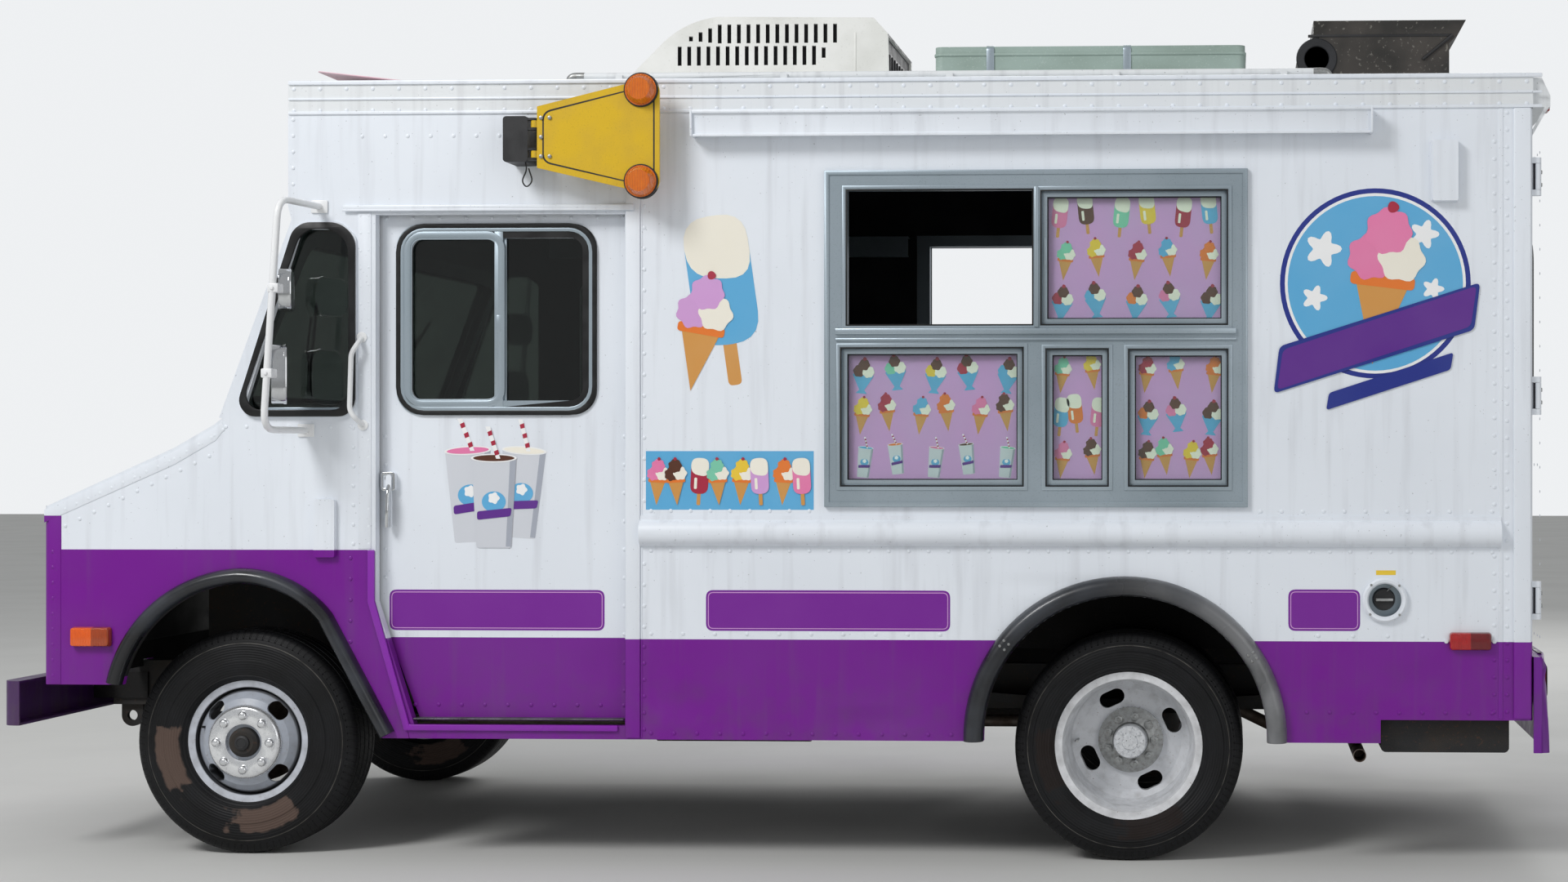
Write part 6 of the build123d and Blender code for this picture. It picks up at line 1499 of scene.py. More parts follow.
    def awnings(self) -> None:
        """Fold the awnings' cases: a leaning face between two bright lips, with a cap at each end."""
        wall = -self.layout.skin - 0.0005
        low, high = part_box("awning_housings")
        case = [
            (wall, high.z), (wall - 0.075, high.z), (wall - 0.075, high.z - 0.010),
            (wall - 0.066, high.z - 0.013), (wall - 0.061, low.z + 0.011), (wall - 0.068, low.z + 0.009),
            (wall - 0.068, low.z), (wall, low.z + 0.008),
        ]
        end = [(wall, high.z), (wall - 0.077, high.z), (wall - 0.072, low.z + 0.001), (wall, low.z + 0.001)]
        parts = [
            Bench.outline([case], high.x - low.x - 0.008, (low.x + 0.004, 0, 0), Facing.REAR, edge=0.0015)
        ]
        for x in (low.x, high.x - 0.008):
            parts.append(Bench.outline([end], 0.008, (x, 0, 0), Facing.REAR, edge=0.002))
        cases = Bench.fit_both(parts, "awning_cases", "coachwork_paint", Paint.white)
        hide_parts("awning_housings")

    def cover_strips(self) -> None:
        """Add the strips that cover the panel joints and posts."""
        lay = self.layout
        skin = -lay.skin
        strips = [
            # front, rear, bottom, top in mm, how proud in mm
            (456, 503, 1103, 2298, 2.5), (1412, 1462, 440, 2636, 7), (4462, 4478, 520, 2636, 2),
            (1464, 1470, 440, 2636, 2),
        ]
        parts = [
            Bench.block(
                (lay.aft(a), skin - proud * MM, low * MM), (lay.aft(b), skin + 0.001, high * MM), 0.0012
            )
            for a, b, low, high, proud in strips
        ]
        post = Bench.block(
            (lay.aft(4514), skin - 0.011, 0.520), (lay.aft(4575), skin + 0.001, 2.636), 0.010, 4
        )
        parts.append(post)
        enamel = CoachEnamel("strip_enamel", lower="#7c169a", line_z=self.belt_line, grime=0.3)
        Bench.fit_both(parts, "joint_strips", "coachwork_paint", enamel)
        hood_edge = [
            (-676, 1240), (-206, 1446), (-62, 1528), (-36, 1550), (-22, 1530), (-56, 1486), (-206, 1400),
            (-676, 1194),
        ]
        run = [(lay.aft(x), z * MM) for x, z in hood_edge]
        band = Bench.outline([run], 0.002, (0, skin, 0), edge=0.0006)
        corner = Bench.block(
            (lay.aft(-660), skin - 0.0016, 0.622), (lay.aft(-616), skin + 0.001, 1.236), 0.0006
        )
        nose_enamel = CoachEnamel("nose_strip_enamel", line_z=1.219)
        Bench.fit_both([band, corner], "hood_edge_caps", "coachwork_paint", nose_enamel)

    def door_trim(self) -> None:
        """Add the bright purple edging down the door's front and along its sill."""
        lay = self.layout
        edge = [
            (491, 1099), (517, 1099), (517, 921), (641, 484), (1384, 484), (1384, 462), (622, 462),
            (491, 916),
        ]
        run = [(lay.aft(x), z * MM) for x, z in edge]
        strip = Bench.outline([run], 0.011, (0, -lay.skin, 0), edge=0.005)
        Bench.fit_both(strip, "door_edge_trim", "coachwork_paint", Paint.trim)
        step = Bench.block(
            (lay.aft(650), -lay.skin + 0.004, 0.5005), (lay.aft(1400), -lay.skin + 0.085, 0.5045), 0.0012
        )
        Bench.fit_both(step, "step_edges", "floor_plate", Paint.tread_plate)


@dataclass
class Glazing(Assembly):
    """Cab glass, gaskets, mirrors, wipers and grab handles."""

    quarter: tuple[Point, ...] = (
        (26, 1617), (61, 1568), (416, 1568), (451, 1611), (451, 2206), (395, 2258), (263, 2258), (222, 2229)
    )

    def build(self) -> None:
        """Dress the glass and add the gaskets, handles, mirrors and wipers."""
        for name in (
            "cab_glass", "left_door_glass", "right_door_glass", "rear_glass_left", "rear_glass_right"
        ):
            Bench.coat(self.nodes[name], Paint.cab_glass)
        self.coat(Paint.hatch_glass, "serving_glass")
        self.quarter_gaskets()
        self.door_gaskets()
        self.windshield()
        self.handles()
        self.mirrors()

    def shrunk(self, inset_mm: float) -> list[Vector]:
        """Return the quarter window's outline moved inwards and rounded."""
        middle = Vector((sum(p[0] for p in self.quarter) / 8, sum(p[1] for p in self.quarter) / 8))
        run = []
        for x, z in self.quarter:
            inward = middle - Vector((x, z))
            reach = Vector((math.copysign(inset_mm, inward.x), math.copysign(inset_mm, inward.y)))
            run.append((self.layout.aft(x + reach.x), (z + reach.y) * MM))
        return rounded(run, 0.045)

    def quarter_gaskets(self) -> None:
        """Seat black rubber round the quarter windows, with a drip channel along the foot of the glass."""
        lay = self.layout
        face = -lay.skin - 0.008
        rubber = Bench.outline([self.shrunk(-2), self.shrunk(25)], 0.008, (0, face, 0), edge=0.003)
        Bench.fit_both(rubber, "quarter_window_gaskets", "flare_rubber", Paint.gasket)
        channel = Bench.block(
            (lay.aft(110), -lay.skin + 0.004, 1.5945), (lay.aft(400), -lay.skin + 0.012, 1.6025), 0.002
        )
        Bench.fit_both(channel, "quarter_window_channels", "bright_trim", Paint.anodised)

    def door_gaskets(self) -> None:
        """Seat the rubber, the thin frame and the front pane's wide sash in each cab door window."""
        lay = self.layout
        skin = -lay.door_skin
        middle = (lay.aft(935.5), skin - 0.007, 1.915)
        rubber = Bench.ring(middle, (0.721, 0.680), 0.100, 0.017, 0.0035, 0.0015)
        frame = Bench.ring(
            (middle[0], skin - 0.004, middle[2]), (0.689, 0.648), 0.084, 0.013, 0.006, 0.0015
        )
        left, right = lay.aft(603), lay.aft(966)
        sash_middle = ((left + right) / 2, skin - 0.004, middle[2])
        sash = Bench.ring(sash_middle, (right - left, 0.624), 0.062, 0.024, 0.006, 0.002)
        bevel = Bench.ring(sash_middle, (right - left - 0.046, 0.578), 0.040, 0.006, 0.004, 0.001)
        stile = Bench.block((lay.aft(928), skin - 0.009, 1.603), (lay.aft(960), skin + 0.006, 2.227), 0.003)
        groove = Bench.block(
            (lay.aft(960), skin + 0.001, 1.603), (lay.aft(970), skin + 0.008, 2.227), 0.0015
        )
        latch = Bench.block((lay.aft(936), skin - 0.0105, 1.87), (lay.aft(952), skin - 0.007, 1.93), 0.001)
        Bench.fit_doors(rubber, "window_gasket", "flare_rubber", Paint.gasket)
        bright = [frame, sash, bevel, stile, groove, latch]
        Bench.fit_doors(bright, "window_sash", "bright_trim", Paint.anodised)

    def windshield(self) -> None:
        """Seat the windshield gaskets, the wipers and their pivots."""
        lay = self.layout
        foot = Vector((lay.aft(-45), 0, 1.565))
        rise = Vector((0.261, 0, 0.702))
        up, out = rise.normalized(), Vector((-rise.z, 0, rise.x)).normalized()
        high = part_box("windshield_frame")[1]
        pane_half = (high.y - 0.0703 - 0.025) / 2
        middle = 0.025 + pane_half
        height = rise.length - 0.14
        right = Vector((0, -1, 0))
        rings = []
        for sign in (-1, 1):
            spot = foot + up * (rise.length / 2) + right * (sign * middle) + out * -0.001
            matrix = Matrix.Translation(spot) @ Matrix((right, up, out)).transposed().to_4x4()
            ring = Bench.ring(
                (0, 0, 0), (2 * pane_half + 0.02, height + 0.02), 0.07, 0.03, 0.007, facing=Facing.UP
            )
            ring.matrix_world = matrix
            rings.append(Bench.bake_place(ring))
        Bench.fit(rings, "windshield_gaskets", "truck", "flare_rubber", Paint.gasket)
        arms = []
        for sign in (-1, 1):
            pivot = foot + up * 0.02 + right * (sign * 0.30) + out * 0.012
            elbow = pivot + up * 0.26 + right * (sign * 0.22) + out * 0.03
            tip = elbow + up * 0.12 + right * (sign * 0.10) - out * 0.012
            arms.append(Bench.tube(rounded([pivot, elbow, tip], 0.03, closed=False), 0.005))
            blade = [
                elbow + up * -0.16 + right * (sign * -0.10) - out * 0.022,
                elbow + up * 0.18 + right * (sign * 0.12) - out * 0.022,
            ]
            arms.append(Bench.tube(blade, 0.006))
            arms.append(Bench.tube([pivot - out * 0.014, pivot + out * 0.008], 0.014))
        Bench.fit(arms, "wipers", "truck", "chassis_steel", Paint.powder)

    def handles(self) -> None:
        """Add the white grab handles on the posts ahead of the doors."""
        lay = self.layout
        skin, stand = -lay.skin, -lay.skin - 0.045
        corners = [(467, 1.822), (447, 1.792), (441, 1.594), (458, 1.566)]
        run = [
            (lay.aft(470), skin, 1.850), *[(lay.aft(x), stand, z) for x, z in corners],
            (lay.aft(474), skin, 1.540),
        ]
        bar = Bench.tube(rounded(run, 0.018, closed=False), 0.009)
        feet = [
            Bench.disc((lay.aft(x), skin - 0.0024, z), 0.019, 0.004, sides=20, edge=0.001)
            for x, z in ((470, 1.850), (474, 1.540))
        ]
        Bench.fit_both([bar, *feet], "cab_grab_handles", "mirror_metal", Paint.arm)

    def mirrors(self) -> None:
        """Build the mirrors: a white tube loop that carries two bright bowls turned towards the driver."""
        lay = self.layout
        wall, stand = -lay.skin - 0.001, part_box("mirrors")[0].y + 0.012
        route = [(318, wall, 2.312), (288, stand, 2.312), (236, stand, 1.521), (270, wall, 1.521)]
        loop = rounded([(lay.aft(x), y, z) for x, y, z in route], 0.07, closed=False)
        arms = [Bench.tube(loop, 0.012, sides=5)]
        for x, _, z in (route[0], route[-1]):
            foot = (lay.aft(x) - 0.030, wall - 0.006, z - 0.023), (lay.aft(x) + 0.030, wall, z + 0.023)
            arms.append(Bench.block(*foot, 0.003))
        heads = [
            # station of the tube, bottom, top, width, depth in mm, and turn in degrees
            (268, 1933, 2077, 184, 40, 18), (246, 1612, 1816, 164, 48, 21),
        ]
        bowls, glasses = [], []
        for station, low, high, width, depth, turn in heads:
            x, z = lay.aft(station), (low + high) / 2 * MM
            half, back = (width / 2 * MM, (high - low) / 2 * MM), depth * MM
            square = ((-1, -1), (1, -1), (1, 1), (-1, 1))
            bowl = Bench.outline(
                [rounded([(u * half[0], v * half[1]) for u, v in square], 0.056)], back, (0, 0, 0),
                Facing.REAR,
            )
            Bench.soften(bowl, 0.014, 4)
            size = (2 * half[0] + 0.004, 2 * half[1] + 0.004)
            rim = Bench.ring((back - 0.010, 0, 0), size, 0.058, 0.009, 0.013, 0.004, facing=Facing.REAR)
            pane = rounded([(u * (half[0] - 0.006), v * (half[1] - 0.006)) for u, v in square], 0.051)
            glass = Bench.outline([pane], 0.0015, (back + 0.0002, 0, 0), Facing.REAR)
            hinge = Matrix.Translation((x, stand, z)) @ Matrix.Rotation(math.radians(turn), 4, "Z")
            for piece in (bowl, rim, glass):
                piece.matrix_world = hinge @ Matrix.Translation((0.016, 0.028 + half[0], 0))
                Bench.bake_place(piece)
            bowls += [bowl, rim]
            glasses.append(glass)
            arms.append(
                Bench.block(
                    (x - 0.015, stand - 0.013, z - 0.016), (x + 0.024, stand + 0.040, z + 0.016), 0.005
                ),
            )
            arms.append(Bench.disc((x + 0.003, stand - 0.013, z), 0.007, 0.005, sides=6, edge=0.001))
        loops = Bench.fit_both(arms, "mirror_arms", "mirror_metal", Paint.arm)
        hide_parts("mirrors")
        Bench.fit_both(bowls, "mirror_bowls", "mirror_metal", Paint.chrome)
        Bench.fit_both(glasses, "mirror_glasses", "glass", Paint.mirror_glass)


@dataclass
class ServingWindow(Assembly):
    """The serving windows: bezel, sliding sashes, gaskets and latches, the same on both sides."""

    lights: tuple[tuple[float, float, float, float], ...] = (
        # front, rear, bottom, top in mm; the first is the open hatch
        (78, 732, 1888, 2361), (760, 1410, 1888, 2356), (58, 698, 1326, 1809), (778, 995, 1326, 1804),
        (1066, 1411, 1326, 1802),
    )
    front_mm: float = 2115
    bezel: float = 0.0135

    def build(self) -> None:
        """Dress the frames and add the sashes."""
        self.coat(Paint.anodised, "serving_windows", "door_tracks")
        lay = self.layout
        sashes, gaskets, screws = [], [], []
        for index, (front, rear, low, high) in enumerate(self.lights):
            x = lay.aft(self.front_mm + (front + rear) / 2)
            z = (low + high) / 2 * MM
            size = ((rear - front) * MM, (high - low) * MM)
            face = -lay.skin - self.bezel
            gaskets.append(
                Bench.ring((x, face, z), (size[0] + 0.004, size[1] + 0.004), 0, 0.005, 0.002, 0.0005)
            )
            sashes.append(
                Bench.ring((x, face, z), (size[0] + 0.03, size[1] + 0.03), 0, 0.012, 0.004, 0.0012)
            )
            if index:
                inner = (size[0] - 0.002, size[1] - 0.002)
                sashes.append(Bench.ring((x, -lay.skin + 0.008, z), inner, 0, 0.020, 0.010, 0.0015))
                gaskets.append(
                    Bench.ring(
                        (x, -lay.skin + 0.0095, z), (inner[0] - 0.038, inner[1] - 0.038), 0, 0.005, 0.003,
                        0.0008,
                    ),
                )
        whole = (lay.aft(self.front_mm + 740), -lay.skin - self.bezel, 1.8415)
        sashes.append(Bench.ring(whole, (1.478, 1.175), 0, 0.016, 0.005, 0.0015))
        track = Bench.block(
            (lay.aft(self.front_mm + 40), -lay.skin - 0.026, 1.856),
            (lay.aft(self.front_mm + 1440), -lay.skin - 0.013, 1.876), 0.002,
        )
        lip = Bench.block(
            (lay.aft(self.front_mm + 40), -lay.skin - 0.022, 1.834),
            (lay.aft(self.front_mm + 1440), -lay.skin - 0.013, 1.842), 0.002,
        )
        stile = Bench.block(
            (lay.aft(self.front_mm + 738), -lay.skin - 0.024, 1.88),
            (lay.aft(self.front_mm + 752), -lay.skin - 0.013, 2.37), 0.002,
        )
        pull = Bench.block(
            (lay.aft(self.front_mm + 768), -lay.skin - 0.004, 2.09),
            (lay.aft(self.front_mm + 780), -lay.skin + 0.004, 2.19), 0.002,
        )
        seed = Bench.disc((0, 0, 0), 0.006, 0.003, sides=10, top=0.7)
        for z in (1.262, 2.421):
            screws.append(
                Bench.row(
                    seed, (lay.aft(self.front_mm + 30), -lay.skin - 0.0138, z),
                    (lay.aft(self.front_mm + 1450), -lay.skin - 0.0138, z), 0.2,
                ),
            )
        for x in (self.front_mm + 9, self.front_mm + 1471):
            screws.append(
                Bench.row(
                    seed, (lay.aft(x), -lay.skin - 0.0138, 1.30), (lay.aft(x), -lay.skin - 0.0138, 2.39),
                    0.2,
                ),
            )
        bpy.data.objects.remove(seed)
        bright = [*sashes, track, lip, stile, pull]
        Bench.fit_both(bright, "serving_sashes", "window_frame_metal", Paint.anodised)
        Bench.fit_both(gaskets, "serving_gaskets", "flare_rubber", Paint.gasket)
        Bench.fit_both(screws, "serving_screws", "window_frame_metal", Paint.zinc)


class Treat(Enum):
    """Generic frozen treats for the printed pictures, as layers of an outline and an ink."""

    LOLLY = "lolly"
    CONE = "cone"
    SUNDAE = "sundae"
    SHAKE = "shake"


@dataclass
class Artwork(Assembly):
    """Blank label plates and generic pictures of frozen treats, printed on film."""

    film: float = 0.0004
    seeds: dict[tuple[Treat, Ink], Piece] = field(default_factory=dict)

    def build(self) -> None:
        """Print the boards, the strip, the badge, the door picture and the label plates."""
        board = PrintedVinyl("menu_board_print", Ink.LILAC.value[0], Ink.LILAC.value[1], 0.35)
        self.coat(board, "menu_boards")
        self.menu_pictures()
        self.treat_strip()
        self.badge()
        self.big_treats()
        self.label_plates()
        for seed in self.seeds.values():
            bpy.data.objects.remove(seed)

    def layer(self, run: Sequence[Place], ink: Ink, level: int, face: float = 0.0) -> Piece:
        """Cut one flat layer of a picture from film, that many films proud of a face on the driver's side."""
        piece = Bench.outline([run], self.film, (0, face - level * self.film, 0))
        return Bench.coat(piece, ink.finish())

    @staticmethod
    def scallop(centre: Point, radius: float, bumps: int, swell: float, squash: float = 1.0) -> list[Point]:
        """Return a round outline with soft bumps.

        Args:
            centre: its middle.
            radius: its mean radius.
            bumps: how many bumps it has.
            swell: how high they are, as a share of the radius.
            squash: its height as a share of its width.

        Returns:
            The outline.
        """
        run = []
        for index in range(40):
            angle = 2 * math.pi * index / 40
            reach = radius * (1 + swell * math.cos(bumps * angle))
            run.append((centre[0] + reach * math.cos(angle), centre[1] + reach * squash * math.sin(angle)))
        return run

    def treat(self, kind: Treat, ink: Ink) -> Piece:
        """Model one treat of unit height, once for each kind and ink.

        Args:
            kind: which treat.
            ink: its flavour.

        Returns:
            The seed from which copies are made.
        """
        known = self.seeds.get((kind, ink))
        if known is not None:
            return known
        if kind is Treat.LOLLY:
            layers = [
                self.layer(
                    rounded([(-0.04, 0.0), (0.04, 0.0), (0.04, 0.3), (-0.04, 0.3)], 0.03), Ink.WAFFLE, 0
                ),
                self.layer(rounded([(-0.19, 0.24), (0.19, 0.24), (0.19, 1.0), (-0.19, 1.0)], 0.17), ink, 1),
                self.layer(
                    rounded([(-0.19, 0.66), (0.19, 0.60), (0.19, 1.0), (-0.19, 1.0)], 0.16), Ink.CREAM, 2
                ),
                self.layer(
                    rounded([(-0.11, 0.34), (-0.05, 0.34), (-0.05, 0.58), (-0.11, 0.58)], 0.025), Ink.CREAM,
                    2,
                ),
            ]
        elif kind is Treat.CONE:
            layers = [
                self.layer([(0.0, 0.0), (0.17, 0.52), (-0.17, 0.52)], Ink.WAFFLE, 0),
                self.layer(
                    rounded([(-0.2, 0.48), (0.2, 0.48), (0.2, 0.56), (-0.2, 0.56)], 0.03), Ink.ORANGE, 1
                ),
                self.layer(self.scallop((-0.09, 0.66), 0.14, 7, 0.08), ink, 2),
                self.layer(self.scallop((0.1, 0.67), 0.14, 6, 0.08), Ink.CREAM, 3),
                self.layer(self.scallop((0.0, 0.83), 0.14, 7, 0.07), ink, 4),
                self.layer(self.scallop((0.01, 0.98), 0.035, 3, 0.05), Ink.BERRY, 5),
            ]
        elif kind is Treat.SUNDAE:
            layers = [
                self.layer(
                    rounded([(-0.16, 0.0), (0.16, 0.0), (0.05, 0.12), (-0.05, 0.12)], 0.03), Ink.SKY, 0
                ),
                self.layer(
                    rounded([(-0.06, 0.08), (0.06, 0.08), (0.3, 0.52), (-0.3, 0.52)], 0.05), Ink.SKY, 1
                ),
                self.layer(self.scallop((-0.12, 0.6), 0.16, 6, 0.06), ink, 2),
                self.layer(self.scallop((0.13, 0.6), 0.16, 7, 0.06), Ink.CREAM, 3),
                self.layer(self.scallop((0.0, 0.78), 0.15, 6, 0.07), Ink.CHOCOLATE, 4),
                self.layer(self.scallop((0.0, 0.94), 0.05, 3, 0.05), Ink.BERRY, 5),
            ]
        else:
            layers = [
                self.layer(
                    rounded([(-0.145, 0.0), (0.145, 0.0), (0.187, 0.74), (-0.187, 0.74)], 0.02), Ink.CUP, 0
                ),
                self.layer([(0.10, 0.01), (0.143, 0.01), (0.185, 0.73), (0.135, 0.73)], Ink.SHADE, 1),
                self.layer(self.scallop((0.0, 0.74), 0.192, 0, 0.0, 0.19), Ink.WHITE, 2),
                self.layer(self.scallop((0.0, 0.74), 0.172, 0, 0.0, 0.15), ink, 3),
                self.layer(self.scallop((0.0, 0.38), 0.10, 0, 0.0, 0.85), Ink.SKY, 2),
                self.layer(
                    rounded([(-0.14, 0.23), (0.14, 0.26), (0.15, 0.33), (-0.14, 0.30)], 0.02), Ink.PURPLE, 3
                ),
                self.layer(self.scallop((0.0, 0.41), 0.045, 5, 0.12), Ink.WHITE, 3),
                self.layer([(0.02, 0.735), (0.055, 0.735), (-0.03, 1.0), (-0.07, 1.0)], Ink.WHITE, 4),
            ]
            for low in (0.76, 0.84, 0.92):
                lean = -0.34 * (low - 0.735)
                stripe = [(0.02, 0.0), (0.054, 0.012), (0.045, 0.05), (0.01, 0.035)]
                layers.append(self.layer([(u + lean, v + low) for u, v in stripe], Ink.BERRY, 5))
        seed = Bench.join(layers)
        self.seeds[(kind, ink)] = seed
        return seed

    def lay(self, kind: Treat, ink: Ink, at: Place, height: float, tilt: float = 0.0) -> Piece:
        """Lay a copy of a treat with its foot at a place.

        Args:
            kind: which treat.
            ink: its flavour.
            at: where its foot goes.
            height: how tall it is.
            tilt: how far it leans, in degrees.

        Returns:
            The copy.
        """
        turn = Matrix.Rotation(math.radians(tilt), 4, "Y")
        size = Matrix.Diagonal((height, 1.0, height, 1.0))
        return Bench.copy(self.treat(kind, ink), Matrix.Translation(Vector(at)) @ turn @ size)

    def menu_pictures(self) -> None:
        """Print rows of treats on the boards behind the glass, another layout on each."""
        lay = self.layout
        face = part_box("menu_boards")[0].y
        flavours = [Ink.PINK, Ink.CHOCOLATE, Ink.MINT, Ink.YELLOW, Ink.BERRY, Ink.SKY, Ink.ORANGE]
        rows = [
            # treat, first and last station, foot in mm, height in mm, count, first flavour
            (Treat.LOLLY, 2930, 3470, 2195, 142, 6, 0), (Treat.CONE, 2950, 3450, 2045, 138, 5, 2),
            (Treat.SUNDAE, 2940, 3460, 1903, 130, 5, 4), (Treat.SUNDAE, 2240, 2750, 1650, 130, 5, 1),
            (Treat.CONE, 2235, 2755, 1505, 136, 6, 3), (Treat.SHAKE, 2245, 2745, 1355, 142, 5, 5),
            (Treat.CONE, 2940, 3060, 1650, 130, 2, 2), (Treat.LOLLY, 2935, 3065, 1500, 136, 3, 5),
            (Treat.CONE, 2940, 3060, 1352, 132, 2, 0), (Treat.CONE, 3235, 3470, 1650, 132, 3, 4),
            (Treat.SUNDAE, 3240, 3465, 1504, 126, 3, 6), (Treat.CONE, 3235, 3470, 1352, 134, 4, 1),
        ]
        made = []
        for kind, first, last, foot, height, count, start in rows:
            for index in range(count):
                x = first + (last - first) * index / (count - 1)
                lift = 12 if index % 2 else 0
                ink = flavours[(start + index) % len(flavours)]
                made.append(
                    self.lay(
                        kind, ink, (lay.aft(x), face, (foot + lift) * MM), height * MM, (-1) ** index * 6
                    ),
                )
        Bench.fit_both(made, "menu_pictures", "menu_print")

    def treat_strip(self) -> None:
        """Print the blue strip under the wall's front part, with treats in a row."""
        lay = self.layout
        low, high = 1.242, 1.448
        front, rear = lay.aft(1482), lay.aft(2076)
        base = Bench.block((front, -lay.skin - 0.0004, low), (rear, -lay.skin + 0.001, high), 0)
        Bench.coat(base, Ink.SKY.finish())
        made = [base]
        inks = [Ink.PINK, Ink.CHOCOLATE, Ink.BERRY, Ink.MINT, Ink.YELLOW, Ink.LILAC, Ink.ORANGE]
        kinds = [
            Treat.CONE, Treat.CONE, Treat.LOLLY, Treat.CONE, Treat.CONE, Treat.LOLLY, Treat.CONE,
            Treat.LOLLY,
        ]
        for index, kind in enumerate(kinds):
            ink = inks[index % len(inks)]
            x = front + (rear - front) * (index + 0.5) / len(kinds)
            level = 1 + 6 * (index % 2)
            made.append(
                self.lay(
                    kind, ink, (x, -lay.skin - level * self.film, low + 0.016), 0.166, (-1) ** index * 3
                ),
            )
        Bench.fit_both(made, "treat_strip", "menu_print")

    def badge(self) -> None:
        """Print the round badge with a scooped cone and a blank ribbon across it."""
        lay = self.layout
        x, z = lay.aft(4037), 2.030
        face = -lay.skin

        def disc(radius: float, ink: Ink, level: int) -> Piece:
            """Cut one round layer of the badge."""
            run = [
                (x + radius * math.cos(a), z + radius * math.sin(a))
                for a in (2 * math.pi * i / 72 for i in range(72))
            ]
            return self.layer(run, ink, level, face)

        made = [disc(0.330, Ink.NAVY, 0), disc(0.313, Ink.WHITE, 1), disc(0.303, Ink.SKY, 2)]
        for dx, dz, size in (
            (-0.18, 0.12, 0.05), (0.17, 0.17, 0.04), (0.2, -0.02, 0.03), (-0.21, -0.05, 0.035)
        ):
            flake = self.scallop((x + dx, z + dz), size, 5, 0.3)
            made.append(self.layer(flake, Ink.WHITE, 3, face))
        made.append(self.lay(Treat.CONE, Ink.PINK, (x - 0.01, face - 4 * self.film, z - 0.28), 0.56, 7))
        ribbon = [(-0.34, -0.33), (0.33, -0.11), (0.35, 0.03), (-0.32, -0.19)]
        for grow, ink, level in ((0.012, Ink.NAVY, 11), (0.0, Ink.PURPLE, 12)):
            run = [
                (x + u + math.copysign(grow, u), z - 0.04 + v + (grow if index > 1 else -grow))
                for index, (u, v) in enumerate(ribbon)
            ]
            made.append(self.layer(rounded(run, 0.02), ink, level, face))
        tail = [(-0.17, -0.40), (0.26, -0.26), (0.27, -0.20), (-0.16, -0.34)]
        run = [(x + u, z - 0.04 + v) for u, v in tail]
        made.append(self.layer(rounded(run, 0.012), Ink.NAVY, 10, face))
        Bench.fit_both(made, "round_badge", "menu_print")

    def big_treats(self) -> None:
        """Print three shakes on each door and a large lolly on the wall."""
        lay = self.layout
        shakes = [
            self.lay(
                Treat.SHAKE, ink, (lay.aft(aft), -lay.door_skin - level * self.film, foot), height, tilt
            )
            for ink, aft, level, foot, height, tilt in (
                (Ink.PINK, 848, 0, 1.125, 0.44, -3), (Ink.CREAM, 1012, 0, 1.140, 0.42, 4),
                (Ink.CHOCOLATE, 925, 6, 1.105, 0.43, 0),
            )
        ]
        Bench.fit_doors(shakes, "picture", "menu_print")
        lollies = [
            self.lay(Treat.LOLLY, Ink.SKY, (lay.aft(1800), -lay.skin, 1.68), 0.60, -8),
            self.lay(Treat.CONE, Ink.LILAC, (lay.aft(1640), -lay.skin - 4 * self.film, 1.66), 0.42, 10),
        ]
        Bench.fit_both(lollies, "wall_picture", "menu_print")

    def label_plates(self) -> None:
        """Fix the blank purple plates with their pale and dark keylines."""
        lay = self.layout
        plates = [
            # front, rear, bottom, top in mm, body
            (549, 1321, 812, 956, "left_door"), (1695, 2556, 817, 960, "truck"), (3736, 3985, 823, 967, "truck"),
        ]
        tag = Bench.block(
            (lay.aft(4040), -lay.skin - 0.0005, 1.018), (lay.aft(4108), -lay.skin + 0.001, 1.034), 0
        )
        walls = [Bench.coat(tag, Ink.YELLOW.finish())]
        for front, rear, low, high, body in plates:
            face = -lay.door_skin if body == "left_door" else -lay.skin
            made = []
            for inset, ink, level in ((0, Ink.MAGENTA, 0), (7, Ink.LILAC, 1), (10, Ink.MAGENTA, 2)):
                run = [
                    (lay.aft(front + inset), (low + inset) * MM),
                    (lay.aft(rear - inset), (low + inset) * MM),
                    (lay.aft(rear - inset), (high - inset) * MM),
                    (lay.aft(front + inset), (high - inset) * MM),
                ]
                made.append(self.layer(rounded(run, (26 - inset) * MM), ink, level, face))
            if body == "truck":
                walls.append(Bench.join(made))
            else:
                Bench.fit_doors(made, "label", "menu_print")
        Bench.fit_both(walls, "wall_labels", "menu_print")


